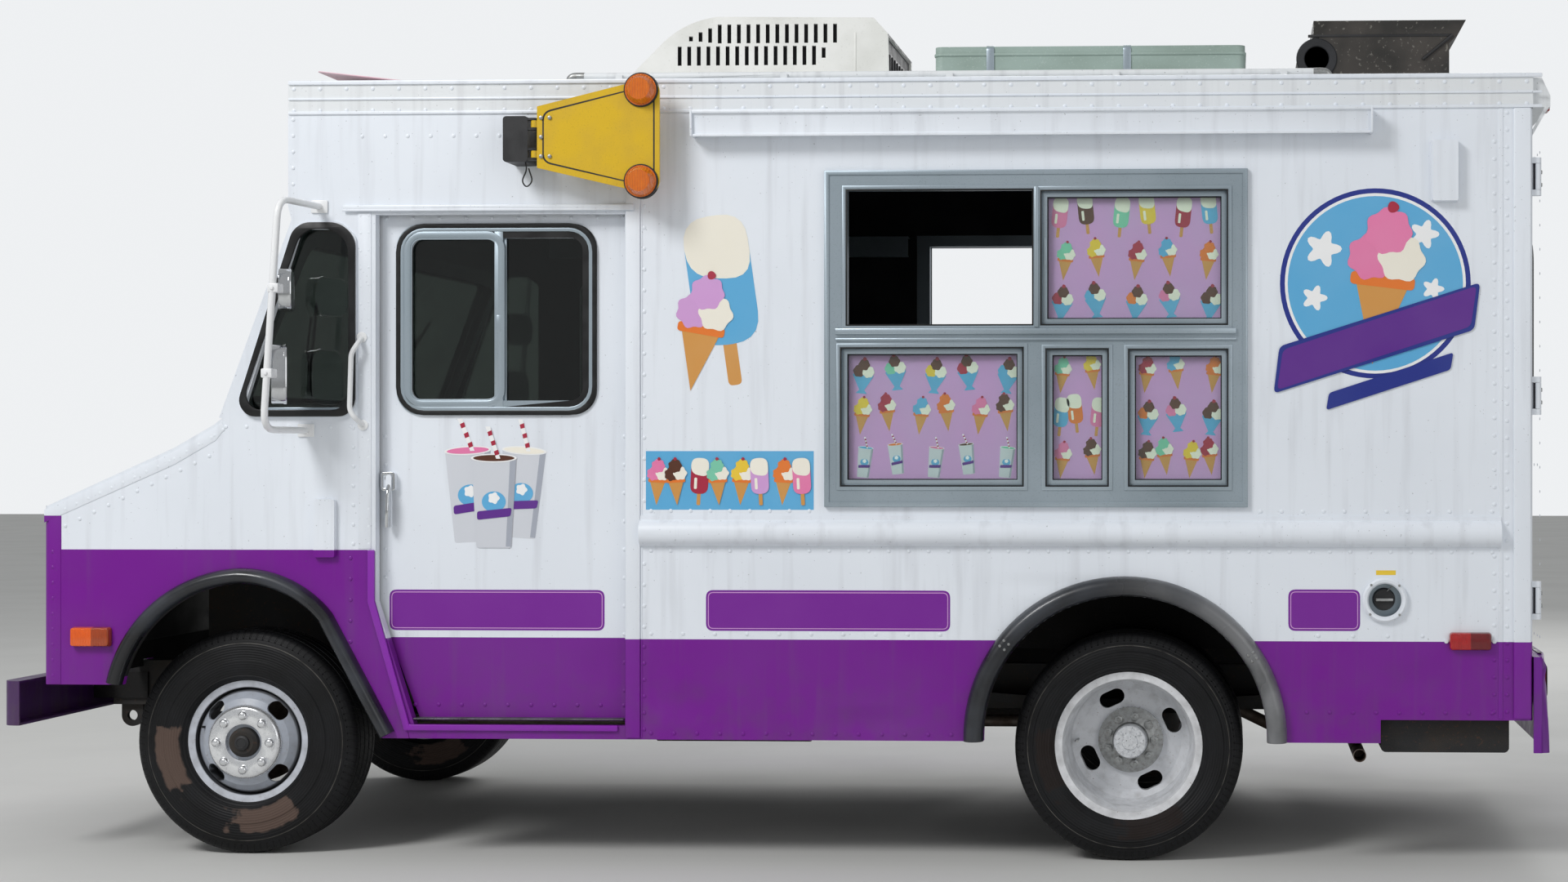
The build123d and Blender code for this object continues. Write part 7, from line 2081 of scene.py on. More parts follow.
@dataclass
class RunningGear(Assembly):
    """Tyres, wheels, hubs, nuts, axles and springs."""

    nut_radius: float = 0.0135
    rear_width: float = 0.225

    def build(self) -> None:
        """Dress the wheels and the parts under the body."""
        lay = self.layout
        for name in (
            "frame_rails", "crossmembers", "front_axle", "rear_axle", "leaf_springs", "left_knuckle",
            "right_knuckle", "engine", "fuel_tank",
        ):
            Bench.coat(self.nodes[name], Paint.chassis)
        self.coat(Paint.exhaust, "exhaust")

        def trodden(middle: Vector, normal: Vector) -> int:
            """Choose tread plate for the deck and the steps at the cab doors, and underseal elsewhere."""
            riser = 0.49 < middle.z < 0.77 and abs(
                normal.z
            ) < 0.5 and lay.aft(640) < middle.x < lay.aft(1440)
            inside = normal.x * (middle.x - lay.aft(1040)) < 0.01 and normal.y * middle.y >= -0.01
            return 0 if normal.z > 0.5 or riser and inside else 1

        Bench.coat_where(self.nodes["floor"], (Paint.tread_plate, Paint.underseal), trodden)
        front_rubber = TyreRubber("front_tyre_rubber", lay.front_axle, lay.front_radius, 0.85)
        rear_rubber = TyreRubber("rear_tyre_rubber", lay.rear_axle, lay.rear_radius, 0.12)
        front_enamel = WheelEnamel(
            "front_wheel_enamel", lay.front_axle, lay.front_radius, 0.22, "#aab0bb",
            # Bands: painted shade in the rim's gutter, and a painted highlight on its flange.
            ((0.179, 0.196, "#1c1c20", 0.85), (0.196, 0.30, "#d5d9e2", 0.8)),
        )
        rear_enamel = WheelEnamel(
            "rear_wheel_enamel", lay.rear_axle, lay.rear_radius, 0.262, "#dfe1e5",
            # Band: a painted highlight on the rim's flange.
            ((0.232, 0.30, "#f0f1f4", 0.7),),
        )
        front_hub = Vector((lay.front_axle, 0.0, lay.front_radius))
        rear_hub = Vector((lay.rear_axle, 0.0, lay.rear_radius))

        def hubbed(middle: Vector, normal: Vector) -> int:
            """Choose a rear wheel's enamel, its spangled hub end or its grey hub flange."""
            reach = (middle * Vector((1, 0, 1)) - rear_hub).length
            return 1 if reach < 0.062 else 2 * int(reach < 0.119 and abs(middle.y) > 0.862)

        for side, sign in (("left", -1), ("right", 1)):
            # The CAD hub inside a front wheel's dish gets dark chassis paint: painted shade that stands for a
            # recess there.
            Bench.coat_where(
                self.nodes[f"front_wheel_{side}"], (front_enamel, Paint.chassis),
                lambda middle, normal: int((middle * Vector((1, 0, 1)) - front_hub).length < 0.066),
            )
            Bench.coat_where(
                self.nodes[f"rear_wheels_{side}"], (rear_enamel, Paint.galvanised, Paint.zinc), hubbed
            )
            self.front_wheel(side, sign, front_rubber)
            self.rear_wheels(side, sign, rear_rubber)
        self.springs()

    def tyre(self, x: float, y: float, radius: float, rim: float, width: float, seat: float) -> Piece:
        """Turn one tyre with a ribbed tread and stepped side walls.

        Args:
            x: the axle's station.
            y: the middle of the tyre.
            radius: its outer radius.
            rim: its bead radius.
            width: its whole width.
            seat: half the distance between its beads.

        Returns:
            The tyre.
        """
        half = width / 2
        side = [
            (rim, seat), (rim + 0.010, seat + 0.004), (rim + 0.026, half - 0.016),
            (rim + 0.034, half - 0.009), (rim + 0.040, half - 0.0095), (rim + 0.052, half - 0.004),
            (rim + 0.080, half), (rim + 0.090, half), (rim + 0.093, half - 0.0025),
            (radius - 0.062, half - 0.003), (radius - 0.050, half - 0.005), (radius - 0.046, half - 0.008),
            (radius - 0.030, half - 0.012), (radius - 0.016, half - 0.017), (radius - 0.006, half - 0.026),
            (radius - 0.002, half - 0.036),
        ]
        grooves = (0.062, 0.021)
        groove_half, groove_depth = 0.0045, 0.010
        tread = []
        for middle in grooves:
            crown = radius - 0.0016 * (middle / 0.062) ** 2
            tread += [
                (crown, middle + groove_half), (crown - groove_depth, middle + groove_half * 0.6),
                (crown - groove_depth, middle - groove_half * 0.6), (crown, middle - groove_half),
            ]
        half_run = side + tread
        run = half_run + [(r, -w) for r, w in reversed(half_run)]
        return Bench.spun(run, (x, y, radius), steps=96)

    def nuts(self, x: float, z: float, face: float, ring: float, count: int, facing: Facing) -> Piece:
        """Set a circle of wheel nuts with their studs."""
        at = (x + ring, face, z)
        nut = Bench.disc(at, self.nut_radius * 1.15, 0.017, facing, sides=6, edge=0.0012)
        washer = Bench.disc(at, self.nut_radius * 1.35, 0.004, facing, sides=20, edge=0.0008)
        out = facing.value[2][1]
        stud = Bench.disc((at[0], face + out * 0.017, z), 0.0065, 0.009, facing, sides=12, edge=0.001)
        return Bench.circle(Bench.join([nut, washer, stud]), (x, face, z), (0, 1, 0), count)

    def front_wheel(self, side: str, sign: int, rubber: TyreRubber) -> None:
        """Fit one front wheel's tyre, bright dish with nut covers, grease cap, brake drum and valve."""
        lay = self.layout
        body = f"front_wheel_{side}"
        x, z = lay.front_axle, lay.front_radius
        low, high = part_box(f"front_tyre_{side}")
        y = (low.y + high.y) / 2
        tyre = self.tyre(x, y, z, 0.2033, high.y - low.y, 0.0757)
        Bench.fit(tyre, f"front_tyre_{side}_ribbed", body, "tyre", rubber)
        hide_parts(f"front_tyre_{side}")
        face = y + sign * 0.112
        axis = (0, sign, 0)
        dish = Bench.spun(
            [
                (0.134, 0.0), (0.133, 0.005), (0.125, 0.016), (0.120, 0.018), (0.074, 0.019),
                (0.066, 0.016), (0.065, 0.0),
            ],
            (x, face, z), axis, 64,
        )
        cover = Bench.spun(
            [(0.0, 0.0), (0.0170, 0.0), (0.0165, 0.007), (0.0135, 0.013), (0.008, 0.0165), (0.0, 0.0172)],
            (x + 0.097, face + sign * 0.0175, z), axis, 20,
        )
        covers = Bench.circle(cover, (x, face, z), (0, 1, 0), 8)
        Bench.fit([dish, covers], f"{body}_dish", body, "wheel_paint", Paint.alloy, angle=50)
        cap = Bench.spun(
            [(0.0, 0.0), (0.027, 0.0), (0.026, 0.006), (0.018, 0.009), (0.016, 0.007), (0.0, 0.007)],
            (x, face + sign * 0.0272, z), axis, 32,
        )
        Bench.fit(cap, f"{body}_grease_cap", body, "wheel_paint", Paint.powder)
        drum = Bench.spun(
            [
                (0.062, 0.0), (0.150, 0.0), (0.156, 0.006), (0.158, 0.03), (0.153, 0.033), (0.158, 0.036),
                (0.158, 0.055), (0.150, 0.058), (0.150, 0.010), (0.062, 0.008),
            ],
            (x, y - sign * 0.080, z), axis, 48,
        )
        Bench.fit(drum, f"{body}_brake_drum", body, "chassis_steel", Paint.exhaust)
        valve = Bench.tube(
            [(x - 0.150, face - sign * 0.03, z + 0.05), (x - 0.158, face - sign * 0.002, z + 0.053)], 0.0045
        )
        Bench.fit(valve, f"{body}_valve", body, "tyre", Paint.gasket)

    def rear_wheels(self, side: str, sign: int, rubber: TyreRubber) -> None:
        """Fit one pair of rear tyres with the nuts, hub studs and valve of the outer wheel."""
        lay = self.layout
        body = f"rear_wheels_{side}"
        x, z = lay.rear_axle, lay.rear_radius
        low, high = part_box(f"rear_tyres_{side}")
        width = self.rear_width
        outer = sign * (max(abs(low.y), abs(high.y)) - width / 2)
        inner = sign * (min(abs(low.y), abs(high.y)) + width / 2)
        pair = [self.tyre(x, y, z, 0.2453, width, 0.0717) for y in (outer, inner)]
        tyres = Bench.fit(pair, f"rear_tyres_{side}_ribbed", body, "tyre", rubber)
        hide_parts(f"rear_tyres_{side}")
        facing = Facing.DRIVER if sign < 0 else Facing.KERB
        mount = (outer + inner) / 2
        nuts = self.nuts(x, z, mount + sign * 0.036, 0.086, 9, facing)
        Bench.fit(nuts, f"{body}_nuts", body, "wheel_paint", Paint.zinc)
        end = sign * 0.940
        plate = Bench.spun(
            [
                (0.0, 0.0), (0.058, 0.0), (0.058, 0.004), (0.055, 0.007), (0.030, 0.008), (0.026, 0.012),
                (0.0, 0.013),
            ],
            (x, end, z), (0, sign, 0), 40,
        )
        bolt = Bench.disc((x + 0.043, end + sign * 0.006, z), 0.0065, 0.007, facing, sides=6, edge=0.0006)
        bolts = Bench.circle(bolt, (x, end, z), (0, 1, 0), 8)
        Bench.fit([plate, bolts], f"{body}_axle_flange", body, "wheel_paint", Paint.galvanised)
        valve = Bench.tube(
            [
                (x - 0.19, mount + sign * 0.02, z), (x - 0.196, mount + sign * 0.07, z),
                (x - 0.19, mount + sign * 0.09, z),
            ],
            0.0045,
        )
        Bench.fit(valve, f"{body}_valve", body, "tyre", Paint.zinc)

    def springs(self) -> None:
        """Bind the springs to their axles with U-bolts, and add the shock absorbers."""
        lay = self.layout
        made = []
        for x, y, low, high, gap in (
            (lay.front_axle, 0.399, 0.282, 0.436, 0.034), (lay.rear_axle, 0.480, 0.343, 0.522, 0.040)
        ):
            for dx in (-0.052, 0.052):
                run = [
                    (x + dx, -y - gap, low), (x + dx, -y - gap, high), (x + dx, -y + gap, high),
                    (x + dx, -y + gap, low),
                ]
                made.append(Bench.tube(rounded(run, 0.022, closed=False), 0.007))
            made.append(
                Bench.block(
                    (x - 0.072, -y - gap - 0.01, low), (x + 0.072, -y + gap + 0.01, low + 0.010), 0.002
                ),
            )
        for x, y in ((lay.front_axle + 0.10, 0.50), (lay.rear_axle - 0.14, 0.44)):
            made.append(Bench.tube([(x, -y, 0.33), (x + 0.02, -y, 0.49)], 0.030))
            made.append(Bench.tube([(x + 0.02, -y, 0.48), (x + 0.045, -y, 0.62)], 0.021))
        Bench.fit_both(made, "spring_clamps", "chassis_steel", Paint.chassis)


@dataclass
class RoofGear(Assembly):
    """What stands on the roof: cooling unit, flat box, vent, conduit and a loose board."""


    def build(self) -> None:
        """Dress the roof equipment and add its fittings."""
        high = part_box("air_conditioner")[1]

        def vented(middle: Vector, normal: Vector) -> int:
            """Choose the housing, or black in its side louvre slots and its rear grille recess, which is painted
            shade.
            """
            slot = 0.30 < abs(middle.y) < high.y - 0.0005 and 2.93 < middle.z < 3.10 and abs(normal.z) < 0.9
            grille = high.x - 0.02 < middle.x < high.x - 0.005 and normal.x > 0.5
            return int(slot and self.layout.aft(1380) < middle.x < self.layout.aft(2080) or grille)

        Bench.coat_where(self.nodes["air_conditioner"], (Paint.housing, Paint.powder), vented)
        self.coat(Paint.fibreglass, "roof_box")
        Bench.coat(
            self.nodes["roof_vent"],
            Weathered(
                "vent_enamel", "#2a2825", "#57504a", "#8b8880", clouds=(240, 0.7), specks=(14, 0.5),
                grain=(3, 0.0002), rough=(0.4, 0.65),
            ),
        )
        self.cooling_unit()
        self.box_fittings()
        self.vent_fittings()
        self.roof_edge()

    def cooling_unit(self) -> None:
        """Add the unit's base flange, screws, joint and rear grille."""
        lay = self.layout
        low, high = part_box("air_conditioner")
        seam = Bench.block(
            (high.x - 0.133, -high.y - 0.002, 2.800), (high.x - 0.127, high.y + 0.002, 3.060), 0.001
        )
        flange = Bench.block(
            (low.x + 0.01, -high.y - 0.014, 2.793), (high.x - 0.002, high.y + 0.014, 2.801), 0.002
        )
        Bench.fit([seam, flange], "cooling_unit_flange", "truck", "unit_metal", Paint.housing)
        bars = []
        for index in range(9):
            y = -0.28 + index * 0.07
            bars.append(
                Bench.block((high.x - 0.016, y - 0.004, 2.84), (high.x - 0.003, y + 0.004, 2.985), 0.0015)
            )
        plate = Bench.block((high.x - 0.022, -0.30, 2.83), (high.x - 0.009, 0.30, 2.995), 0.003)
        Bench.fit([*bars, plate], "cooling_unit_grille", "truck", "unit_metal", Paint.powder)
        seed = Bench.disc((0, 0, 0), 0.007, 0.003, sides=10, top=0.7)
        screws = Bench.row(seed, (lay.aft(1450), -high.y, 2.822), (high.x - 0.05, -high.y, 2.822), 0.14)
        bpy.data.objects.remove(seed)
        Bench.fit_both(screws, "cooling_unit_screws", "unit_metal", Paint.zinc)

    def box_fittings(self) -> None:
        """Strap the flat box down and cap it with a lid seam."""
        low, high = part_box("roof_box")
        made = []
        for x in (low.x + 0.19, low.x + 0.69):
            made.append(
                Bench.ring(
                    (x, (low.y + high.y) / 2, (low.z + high.z) / 2 + 0.004),
                    (high.y - low.y + 0.01, high.z - low.z + 0.002), 0.02, 0.005, 0.028, 0.001,
                    facing=Facing.REAR,
                ),
            )
        lid = Bench.ring(
            ((low.x + high.x) / 2, (low.y + high.y) / 2, high.z - 0.034),
            (high.x - low.x + 0.008, high.y - low.y + 0.008), 0.03, 0.008, 0.010, 0.002, facing=Facing.UP,
        )
        Bench.fit(made, "roof_box_straps", "truck", "unit_metal", Paint.anodised)
        Bench.fit(lid, "roof_box_lid_seam", "truck", "unit_metal", Paint.fibreglass)

    def vent_fittings(self) -> None:
        """Add the vent's round duct end, a lid rail and a stay."""
        low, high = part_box("roof_vent")
        x, z = low.x + 0.072, 2.905
        near = -0.600
        ring = Bench.spun(
            [
                (0.0, 0.0), (0.045, 0.0), (0.048, 0.004), (0.072, 0.006), (0.076, 0.002), (0.074, -0.004),
                (0.0, -0.004),
            ],
            (x, near, z), (0, -1, 0), 36,
        )
        Bench.fit(ring, "vent_duct_cap", "truck", "unit_metal", Paint.abs_plastic)
        rail = Bench.block(
            (low.x + 0.04, low.y - 0.002, 2.985), (high.x - 0.05, low.y + 0.010, 2.995), 0.002
        )
        stay = Bench.tube(
            [(high.x - 0.16, low.y - 0.004, 2.90), (high.x - 0.05, low.y - 0.004, 2.99)], 0.006
        )
        Bench.fit([rail, stay], "vent_lid_rail", "truck", "unit_metal", Paint.powder)

    def roof_edge(self) -> None:
        """Lay the board at the front of the roof and the conduit's ends, and close the roof's rear end."""
        lay = self.layout
        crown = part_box("roof")[1]
        hood_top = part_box("rear_hood")[1].z
        half, eave = crown.y - 0.036, crown.z - 0.043
        top = arc((-half, eave), (0.0, crown.z - 0.010), (half, eave), 40)
        strip = [*top, (half, hood_top - 0.006), (-half, hood_top - 0.006)]
        closer = Bench.outline([strip], 0.010, (crown.x - 0.004, 0, 0), Facing.REAR)
        Bench.fit(closer, "roof_end_closer", "truck", "roof_paint", Paint.roof)
        board = [(0.0, 0.0), (0.33, 0.0), (0.33, 0.30), (0.0, 0.30)]
        piece = Bench.outline([rounded(board, 0.02)], 0.004, (0, 0, 0), Facing.UP, edge=0.001)
        piece.matrix_world = Matrix.Translation(
            (lay.aft(218), -0.95, 2.826)
        ) @ Matrix.Rotation(math.radians(6.5), 4, "Y")
        Bench.fit(Bench.bake_place(piece), "loose_roof_board", "truck", "menu_print", Paint.board)
        low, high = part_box("roof_conduit")
        y, z = (low.y + high.y) / 2, high.z - 0.013
        elbows = []
        for x, out in ((low.x, -1), (high.x, 1)):
            run = [(x - out * 0.004, y, z), (x + out * 0.05, y, z), (x + out * 0.05, y + 0.01, z - 0.045)]
            elbows.append(Bench.tube(rounded(run, 0.03, closed=False), 0.0145, sides=4))
        Bench.fit(elbows, "conduit_elbows", "truck", "unit_metal", Paint.zinc)


@dataclass
class SwingSign(Assembly):
    """The blank yellow plate that swings out beside the cab, with its lamps and hinge."""

    plate_y: float = -1.300
    plate_half: float = 0.005

    def build(self) -> None:
        """Dress the plate and add its keyline, lamp bezels, bolts and wire."""
        lay = self.layout
        self.coat(Paint.sign_yellow, "sign")
        self.coat(Paint.powder, "sign_box")
        self.coat(Paint.amber, "sign_lamps")
        middle, half = self.plate_y, self.plate_half
        corners = [(1150, 2449), (1543, 2357), (1543, 2722), (1150, 2626)]
        outer = rounded([(lay.aft(x), z * MM) for x, z in corners], 0.03)
        inner = rounded(
            [
                (lay.aft(x + 5 * s), (z + 5 * t) * MM)
                for (x, z), s, t in zip(corners, (1, -1, -1, 1), (1, 1, -1, -1))
            ],
            0.027,
        )
        lines = [
            Bench.outline([outer, inner], 0.0006, (0, middle - half, 0)),
            Bench.outline(
                [[(-p.x, p.y) for p in outer], [(-p.x, p.y) for p in inner]], 0.0006, (0, middle + half, 0),
                Facing.KERB,
            ),
        ]
        Bench.fit(lines, "sign_keyline", "sign", "sign_paint", Paint.powder)
        rings, bolts = [], []
        for z in (2.382, 2.699):
            for side in (-1, 1):
                run = [(0.0535, 0.0), (0.060, 0.0), (0.060, 0.006), (0.057, 0.009), (0.0535, 0.009)]
                rings.append(Bench.spun(run, (lay.aft(1496), middle + side * half, z), (0, side, 0), 36))
        Bench.fit(rings, "sign_lamp_bezels", "sign", "sign_paint", Paint.powder)
        for facing, side in ((Facing.DRIVER, -1), (Facing.KERB, 1)):
            for x, z in ((1146, 2.470), (1146, 2.604), (1146, 2.537), (1176, 2.470), (1176, 2.604)):
                bolts.append(
                    Bench.disc(
                        (lay.aft(x), middle + side * half, z), 0.0075, 0.005, facing, sides=6, edge=0.0007
                    ),
                )
        Bench.fit(bolts, "sign_bolts", "sign", "bright_trim", Paint.zinc)
        wire = [
            (lay.aft(1088), -1.296, 2.452), (lay.aft(1094), -1.300, 2.425), (lay.aft(1075), -1.298, 2.385),
            (lay.aft(1092), -1.297, 2.362), (lay.aft(1114), -1.297, 2.385), (lay.aft(1100), -1.299, 2.430),
        ]
        Bench.fit(
            Bench.tube(rounded(wire, 0.02, closed=False), 0.0025), "sign_feed_wire", "truck", "cab_plastic",
            Paint.gasket,
        )


@dataclass
class NoseAndTail(Assembly):
    """Lamps, grille, latches, bumpers, rear door hardware and the licence plate blank."""


    def build(self) -> None:
        """Dress the lamps and add the fittings at both ends."""
        self.lamps()
        self.grille()
        self.bumpers()
        self.rear_doors()
        self.side_fittings()

    def lamps(self) -> None:
        """Give each lamp its lenses, with bright rims in front and white screw ears at the sides."""
        lay = self.layout
        self.coat(Paint.headlamp, "headlamps")
        lamps = Bench.soften(Bench.merged(self.nodes["signal_lamps"]), 0.006, 3)
        for station in (-495, 4365.5):
            Bench.edit(lamps, ("bisect", {"plane_co": (lay.aft(station), 0, 0), "plane_no": (1, 0, 0)}))
        amber = LampLens("bright_marker_acrylic", "#ff6a12", "#d24a08", rib_mm=6, clear=0.1)

        def lens(middle: Vector, normal: Vector) -> int:
            """Choose amber ahead and red behind, with a deeper rear half in each side lamp."""
            if middle.x < 0:
                return int(middle.x > lay.aft(-495))
            return 3 if abs(middle.y) > lay.skin and middle.x > lay.aft(4365.5) else 2

        Bench.coat_where(lamps, (amber, Paint.amber_side, Paint.red, Paint.dark_red), lens)
        Bench.fit(lamps, "signal_lamp_lenses", "truck", "signal_plastic", angle=40)
        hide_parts("signal_lamps")
        rims = []
        for y in (-0.860, 0.860):
            run = [(0.088, 0.0), (0.108, 0.0), (0.108, 0.008), (0.100, 0.014), (0.090, 0.010)]
            rims.append(Bench.spun(run, (lay.aft(-681), y, 0.960), (-1, 0, 0), 48))
        Bench.fit(rims, "headlamp_rims", "truck", "bright_trim", Paint.chrome)
        ears = []
        for end in (-83, 83):
            spot = (lay.aft(4365.5 + end), -lay.skin + 0.0005, 0.789)
            ears.append(Bench.disc(spot, 0.008, 0.005, sides=16, edge=0.0012))
        Bench.fit_both(ears, "side_lamp_ears", "roof_paint", Paint.white)

    def grille(self) -> None:
        """Put a dark mesh behind the grille slots, and latches on the hood."""
        lay = self.layout
        made = []
        for index in range(27):
            y = -0.52 + index * 0.04
            made.append(Bench.block((lay.aft(-650), y - 0.003, 0.735), (lay.aft(-646), y + 0.003, 1.12), 0))
        made.append(Bench.block((lay.aft(-645), -0.54, 0.72), (lay.aft(-632), 0.54, 1.135), 0.002))
        Bench.fit(made, "radiator_mesh", "truck", "chassis_steel", Paint.powder)
        latches = []
        for y in (-0.62, 0.62):
            latches.append(
                Bench.block((lay.aft(-695), y - 0.016, 1.135), (lay.aft(-681), y + 0.016, 1.225), 0.003)
            )
        Bench.fit(latches, "hood_catches", "truck", "bright_trim", Paint.gasket)

    def bumpers(self) -> None:
        """Bolt the bumpers on and lay a tread strip along the rear one."""
        lay = self.layout
        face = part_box("front_bumper")[0].x
        bolts = []
        for y in (-0.438, 0.438):
            for z in (0.50, 0.59):
                bolts.append(
                    Bench.disc((face + 0.0062, y, z), 0.014, 0.006, Facing.FRONT, sides=16, edge=0.002)
                )
        Bench.fit(bolts, "front_bumper_bolts", "truck", "bright_trim", Paint.zinc)
        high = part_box("rear_bumper")[1]
        tread = Bench.block(
            (lay.tail + 0.004, -1.02, high.z), (high.x - 0.014, 1.02, high.z + 0.003), 0.001
        )
        Bench.fit(tread, "rear_step_tread", "truck", "floor_plate", Paint.tread_plate)
        plate = Bench.outline(
            [rounded([(-0.1525, -0.075), (0.1525, -0.075), (0.1525, 0.075), (-0.1525, 0.075)], 0.012)],
            0.0012, (high.x - 0.0011, -0.520, 0.560), Facing.REAR, edge=0.0003,
        )
        Bench.fit(plate, "blank_licence_plate", "truck", "sign_paint", Ink.CREAM.finish())
        rims = [
            Bench.ring(
                (high.x - 0.0045, side * 0.940, 0.640), (0.246, 0.106), 0.018, 0.010, 0.004, 0.001,
                facing=Facing.REAR,
            )
            for side in (-1, 1)
        ]
        Bench.fit(rims, "tail_lamp_rims", "truck", "flare_rubber", Paint.gasket)

    def rear_doors(self) -> None:
        """Hang the rear door hardware: gaskets, lock rods, keepers, handle and centre strip."""
        lay = self.layout
        face = lay.tail
        for side, sign in (("left", -1), ("right", 1)):
            body = f"rear_door_{side}"
            middle = (face, sign * 0.573, 1.920)
            gasket = Bench.ring(middle, (0.640, 0.580), 0.09, 0.024, 0.007, facing=Facing.REAR)
            Bench.fit(gasket, f"{body}_gasket", body, "flare_rubber", Paint.gasket)
            seed = Bench.disc((0, 0, 0), 0.0055, 0.0022, Facing.REAR, sides=8, top=0.55)
            rows = []
            for start, end in (
                ((sign * 0.03, 0.80), (sign * 0.03, 2.49)), ((sign * 1.11, 0.80), (sign * 1.11, 2.49)),
                ((sign * 0.10, 0.80), (sign * 1.04, 0.80)), ((sign * 0.10, 2.49), (sign * 1.04, 2.49)),
                ((sign * 0.10, 1.40), (sign * 1.04, 1.40)),
            ):
                rows.append(Bench.row(seed, (face, *start), (face, *end), 0.085))
            bpy.data.objects.remove(seed)
            enamel = CoachEnamel(
                "tail_rivet_enamel", lower="#7c2c94", line_z=Coachwork.belt_line, grime=0.3
            )
            Bench.fit(rows, f"{body}_rivets", body, "door_paint", enamel, angle=60)
            straps = []
            for z in (0.930, 1.640, 2.400):
                for y in (1.04, 1.10):
                    straps.append(
                        Bench.disc((face + 0.006, sign * y, z + 0.022), 0.007, 0.004, Facing.REAR, sides=6)
                    )
                    straps.append(
                        Bench.disc((face + 0.006, sign * y, z - 0.022), 0.007, 0.004, Facing.REAR, sides=6)
                    )
            Bench.fit(straps, f"{body}_hinge_bolts", body, "bright_trim", Paint.zinc)
        rod = Bench.tube([(face + 0.018, 0.075, 0.80), (face + 0.018, 0.075, 2.49)], 0.010)
        guides = [
            Bench.block((face, 0.050, z - 0.02), (face + 0.030, 0.100, z + 0.02), 0.004)
            for z in (0.83, 1.30, 1.82, 2.46)
        ]
        lever = Bench.tube(
            rounded(
                [(face + 0.030, 0.075, 1.30), (face + 0.045, 0.075, 1.30), (face + 0.045, 0.275, 1.285)],
                0.015, closed=False,
            ),
            0.009,
        )
        keeper = Bench.block((face, 0.245, 1.262), (face + 0.040, 0.285, 1.300), 0.005)
        Bench.fit(
            [rod, *guides, lever, keeper], "rear_door_lock_rod", "rear_door_right", "bright_trim",
            Paint.zinc,
        )
        strip = Bench.block((face + 0.0005, -0.022, 0.775), (face + 0.005, 0.0035, 2.510), 0.001)
        Bench.fit(strip, "rear_door_centre_strip", "rear_door_left", "flare_rubber", Paint.gasket)

    def side_fittings(self) -> None:
        """Add the fuel cap's grip and tether, and the cab door handles."""
        lay = self.layout
        x, z = lay.aft(4070), 0.931
        collar = Bench.spun(
            [(0.057, 0.0), (0.078, 0.0), (0.078, 0.004), (0.071, 0.010), (0.062, 0.008), (0.057, 0.002)],
            (x, -lay.skin - 0.0085, z), (0, -1, 0), 48,
        )
        Bench.fit_both(collar, "filler_collar", "roof_paint", Paint.white)
        grip = Bench.block(
            (x - 0.030, -lay.skin + 0.010, z - 0.005), (x + 0.030, -lay.skin + 0.022, z + 0.005), 0.002
        )
        tether = [
            (x + 0.010, 0.020, z + 0.030), (x + 0.030, 0.004, z + 0.052), (x + 0.046, -0.008, z + 0.062)
        ]
        cord = Bench.tube(rounded([(u, -lay.skin + v, w) for u, v, w in tether], 0.02, closed=False), 0.002)
        screws = [
            Bench.disc(
                (x + 0.071 * math.cos(a), -lay.skin - 0.0180, z + 0.071 * math.sin(a)), 0.0045, 0.002,
                sides=10,
            )
            for a in (0.8, 2.3, 3.9, 5.5)
        ]
        Bench.fit_both([grip, cord, *screws], "filler_fittings", "chassis_steel", Paint.zinc)
        Bench.fit_doors(self.door_handle(), "handle", "bright_trim", Paint.chrome)

    def door_handle(self) -> Piece:
        """Model a cab door's escutcheon, pull lever and lock on the driver's side."""
        lay = self.layout
        face = -lay.door_skin - 0.022
        plate = Bench.ring((lay.aft(551), face, 1.340), (0.052, 0.066), 0.010, 0.009, 0.004, 0.001)
        lock = Bench.disc((lay.aft(551), face, 1.352), 0.011, 0.005, sides=20, edge=0.001)
        run = [
            (lay.aft(556), face - 0.004, 1.325), (lay.aft(558), face - 0.024, 1.300),
            (lay.aft(556), face - 0.026, 1.220), (lay.aft(552), face - 0.016, 1.180),
        ]
        lever = Bench.tube(rounded(run, 0.03, closed=False), 0.008, sides=4)
        return Bench.join([plate, lock, lever])


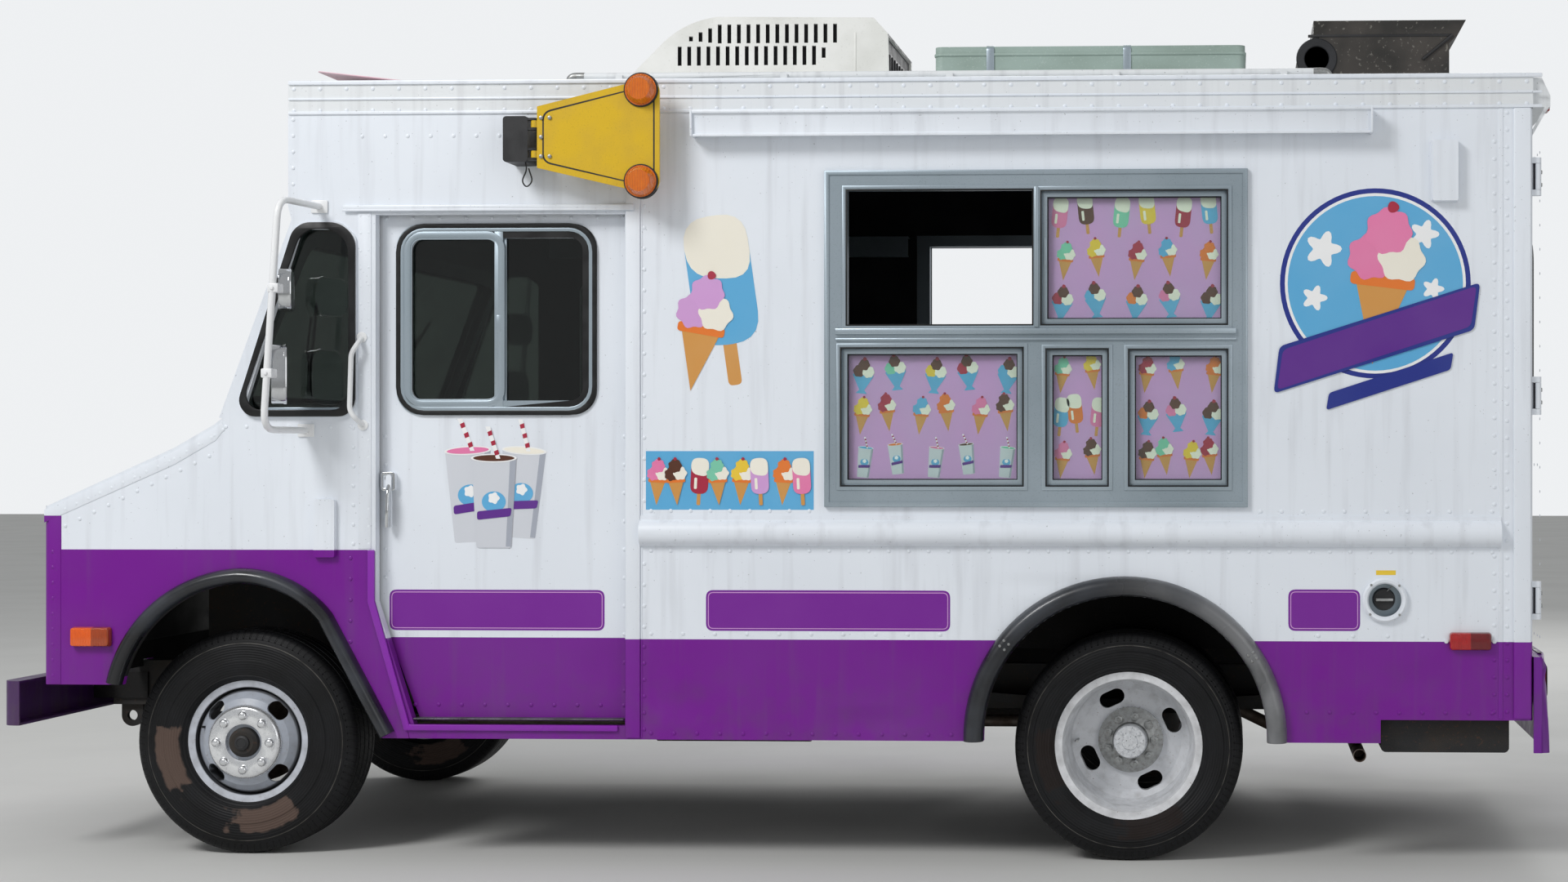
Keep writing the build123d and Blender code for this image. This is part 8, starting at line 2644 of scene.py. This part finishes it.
@dataclass
class CabInside(Assembly):
    """What shows through the glass: seat, dash, wheel and controls."""


    def build(self) -> None:
        """Dress the cab and make the seat's pads."""
        self.coat(Paint.abs_plastic, "dashboard", "steering_wheel")
        self.seat()
        self.dials()
        self.controls()

    def seat(self) -> None:
        """Make the seat's cushion and back as crowned pads."""
        low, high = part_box("seat")
        pads = []
        for a, b, lean in (
            (
                (low.x + 0.012, low.y + 0.012, low.z + 0.004),
                (high.x - 0.10, high.y - 0.012, low.z + 0.112), 0.0,
            ),
            (
                (high.x - 0.245, low.y + 0.020, low.z + 0.10),
                (high.x - 0.125, high.y - 0.020, high.z - 0.012), 8.0,
            ),
        ):
            pad = Bench.block(a, b, 0.028, 3)
            Bench.modify(pad, "SUBSURF", levels=2, render_levels=2)
            if lean:
                foot = Vector(((a[0] + b[0]) / 2, 0, a[2]))
                shift = Matrix.Translation(foot)
                pad.data.transform(shift @ Matrix.Rotation(math.radians(lean), 4, "Y") @ shift.inverted())
            pads.append(pad)
        pad = Bench.join(pads)
        Bench.fit(pad, "driver_seat_pads", "truck", "seat_vinyl", Paint.seat_vinyl, angle=60)
        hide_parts("seat")

    def dials(self) -> None:
        """Set three round dials in a hood on the dashboard."""
        lay = self.layout
        x = lay.aft(441)
        hoods = [
            Bench.spun(
                [(0.048, 0.0), (0.056, 0.0), (0.056, 0.014), (0.048, 0.010)], (x, -0.56 + dy, 1.385),
                (1, 0, 0), 32,
            )
            for dy in (-0.13, 0.0, 0.13)
        ]
        Bench.fit(hoods, "dial_hoods", "truck", "cab_plastic", Paint.chrome)
        faces = [
            Bench.disc((x, -0.56 + dy, 1.385), 0.048, 0.002, Facing.REAR, sides=32)
            for dy in (-0.13, 0.0, 0.13)
        ]
        Bench.fit(faces, "dial_faces", "truck", "cab_plastic", Ink.WHITE.finish())

    def controls(self) -> None:
        """Add the gear lever and the pedals."""
        lay = self.layout
        lever = Bench.tube(
            rounded(
                [(lay.aft(690), -0.20, 1.13), (lay.aft(700), -0.22, 1.30), (lay.aft(740), -0.24, 1.36)],
                0.05, closed=False,
            ),
            0.008,
        )
        knob = Bench.disc((lay.aft(742), -0.24, 1.355), 0.022, 0.030, Facing.UP, sides=20, edge=0.009)
        pedals = [
            Bench.block((lay.aft(470), y - 0.035, 0.86), (lay.aft(482), y + 0.035, 0.96), 0.004)
            for y in (-0.68, -0.56, -0.44)
        ]
        rods = [
            Bench.tube([(lay.aft(430), y, 0.99), (lay.aft(474), y, 0.93)], 0.008)
            for y in (-0.68, -0.56, -0.44)
        ]
        Bench.fit([lever, knob, *pedals, *rods], "cab_controls", "truck", "cab_plastic", Paint.powder)


def main() -> None:
    """Build the truck's looks, one sub-assembly after another."""
    logging.basicConfig(level=logging.INFO, format="%(name)s: %(message)s")
    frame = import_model()
    layout = Layout.from_frame()
    nodes = frame["nodes"]
    Studio(layout).build()
    for part in (
        Coachwork, Glazing, ServingWindow, Artwork, RunningGear, RoofGear, SwingSign, NoseAndTail, CabInside
    ):
        part(layout, nodes).build()
        LOG.info("%s done", part.__name__)


if __name__ == "__main__":
    main()
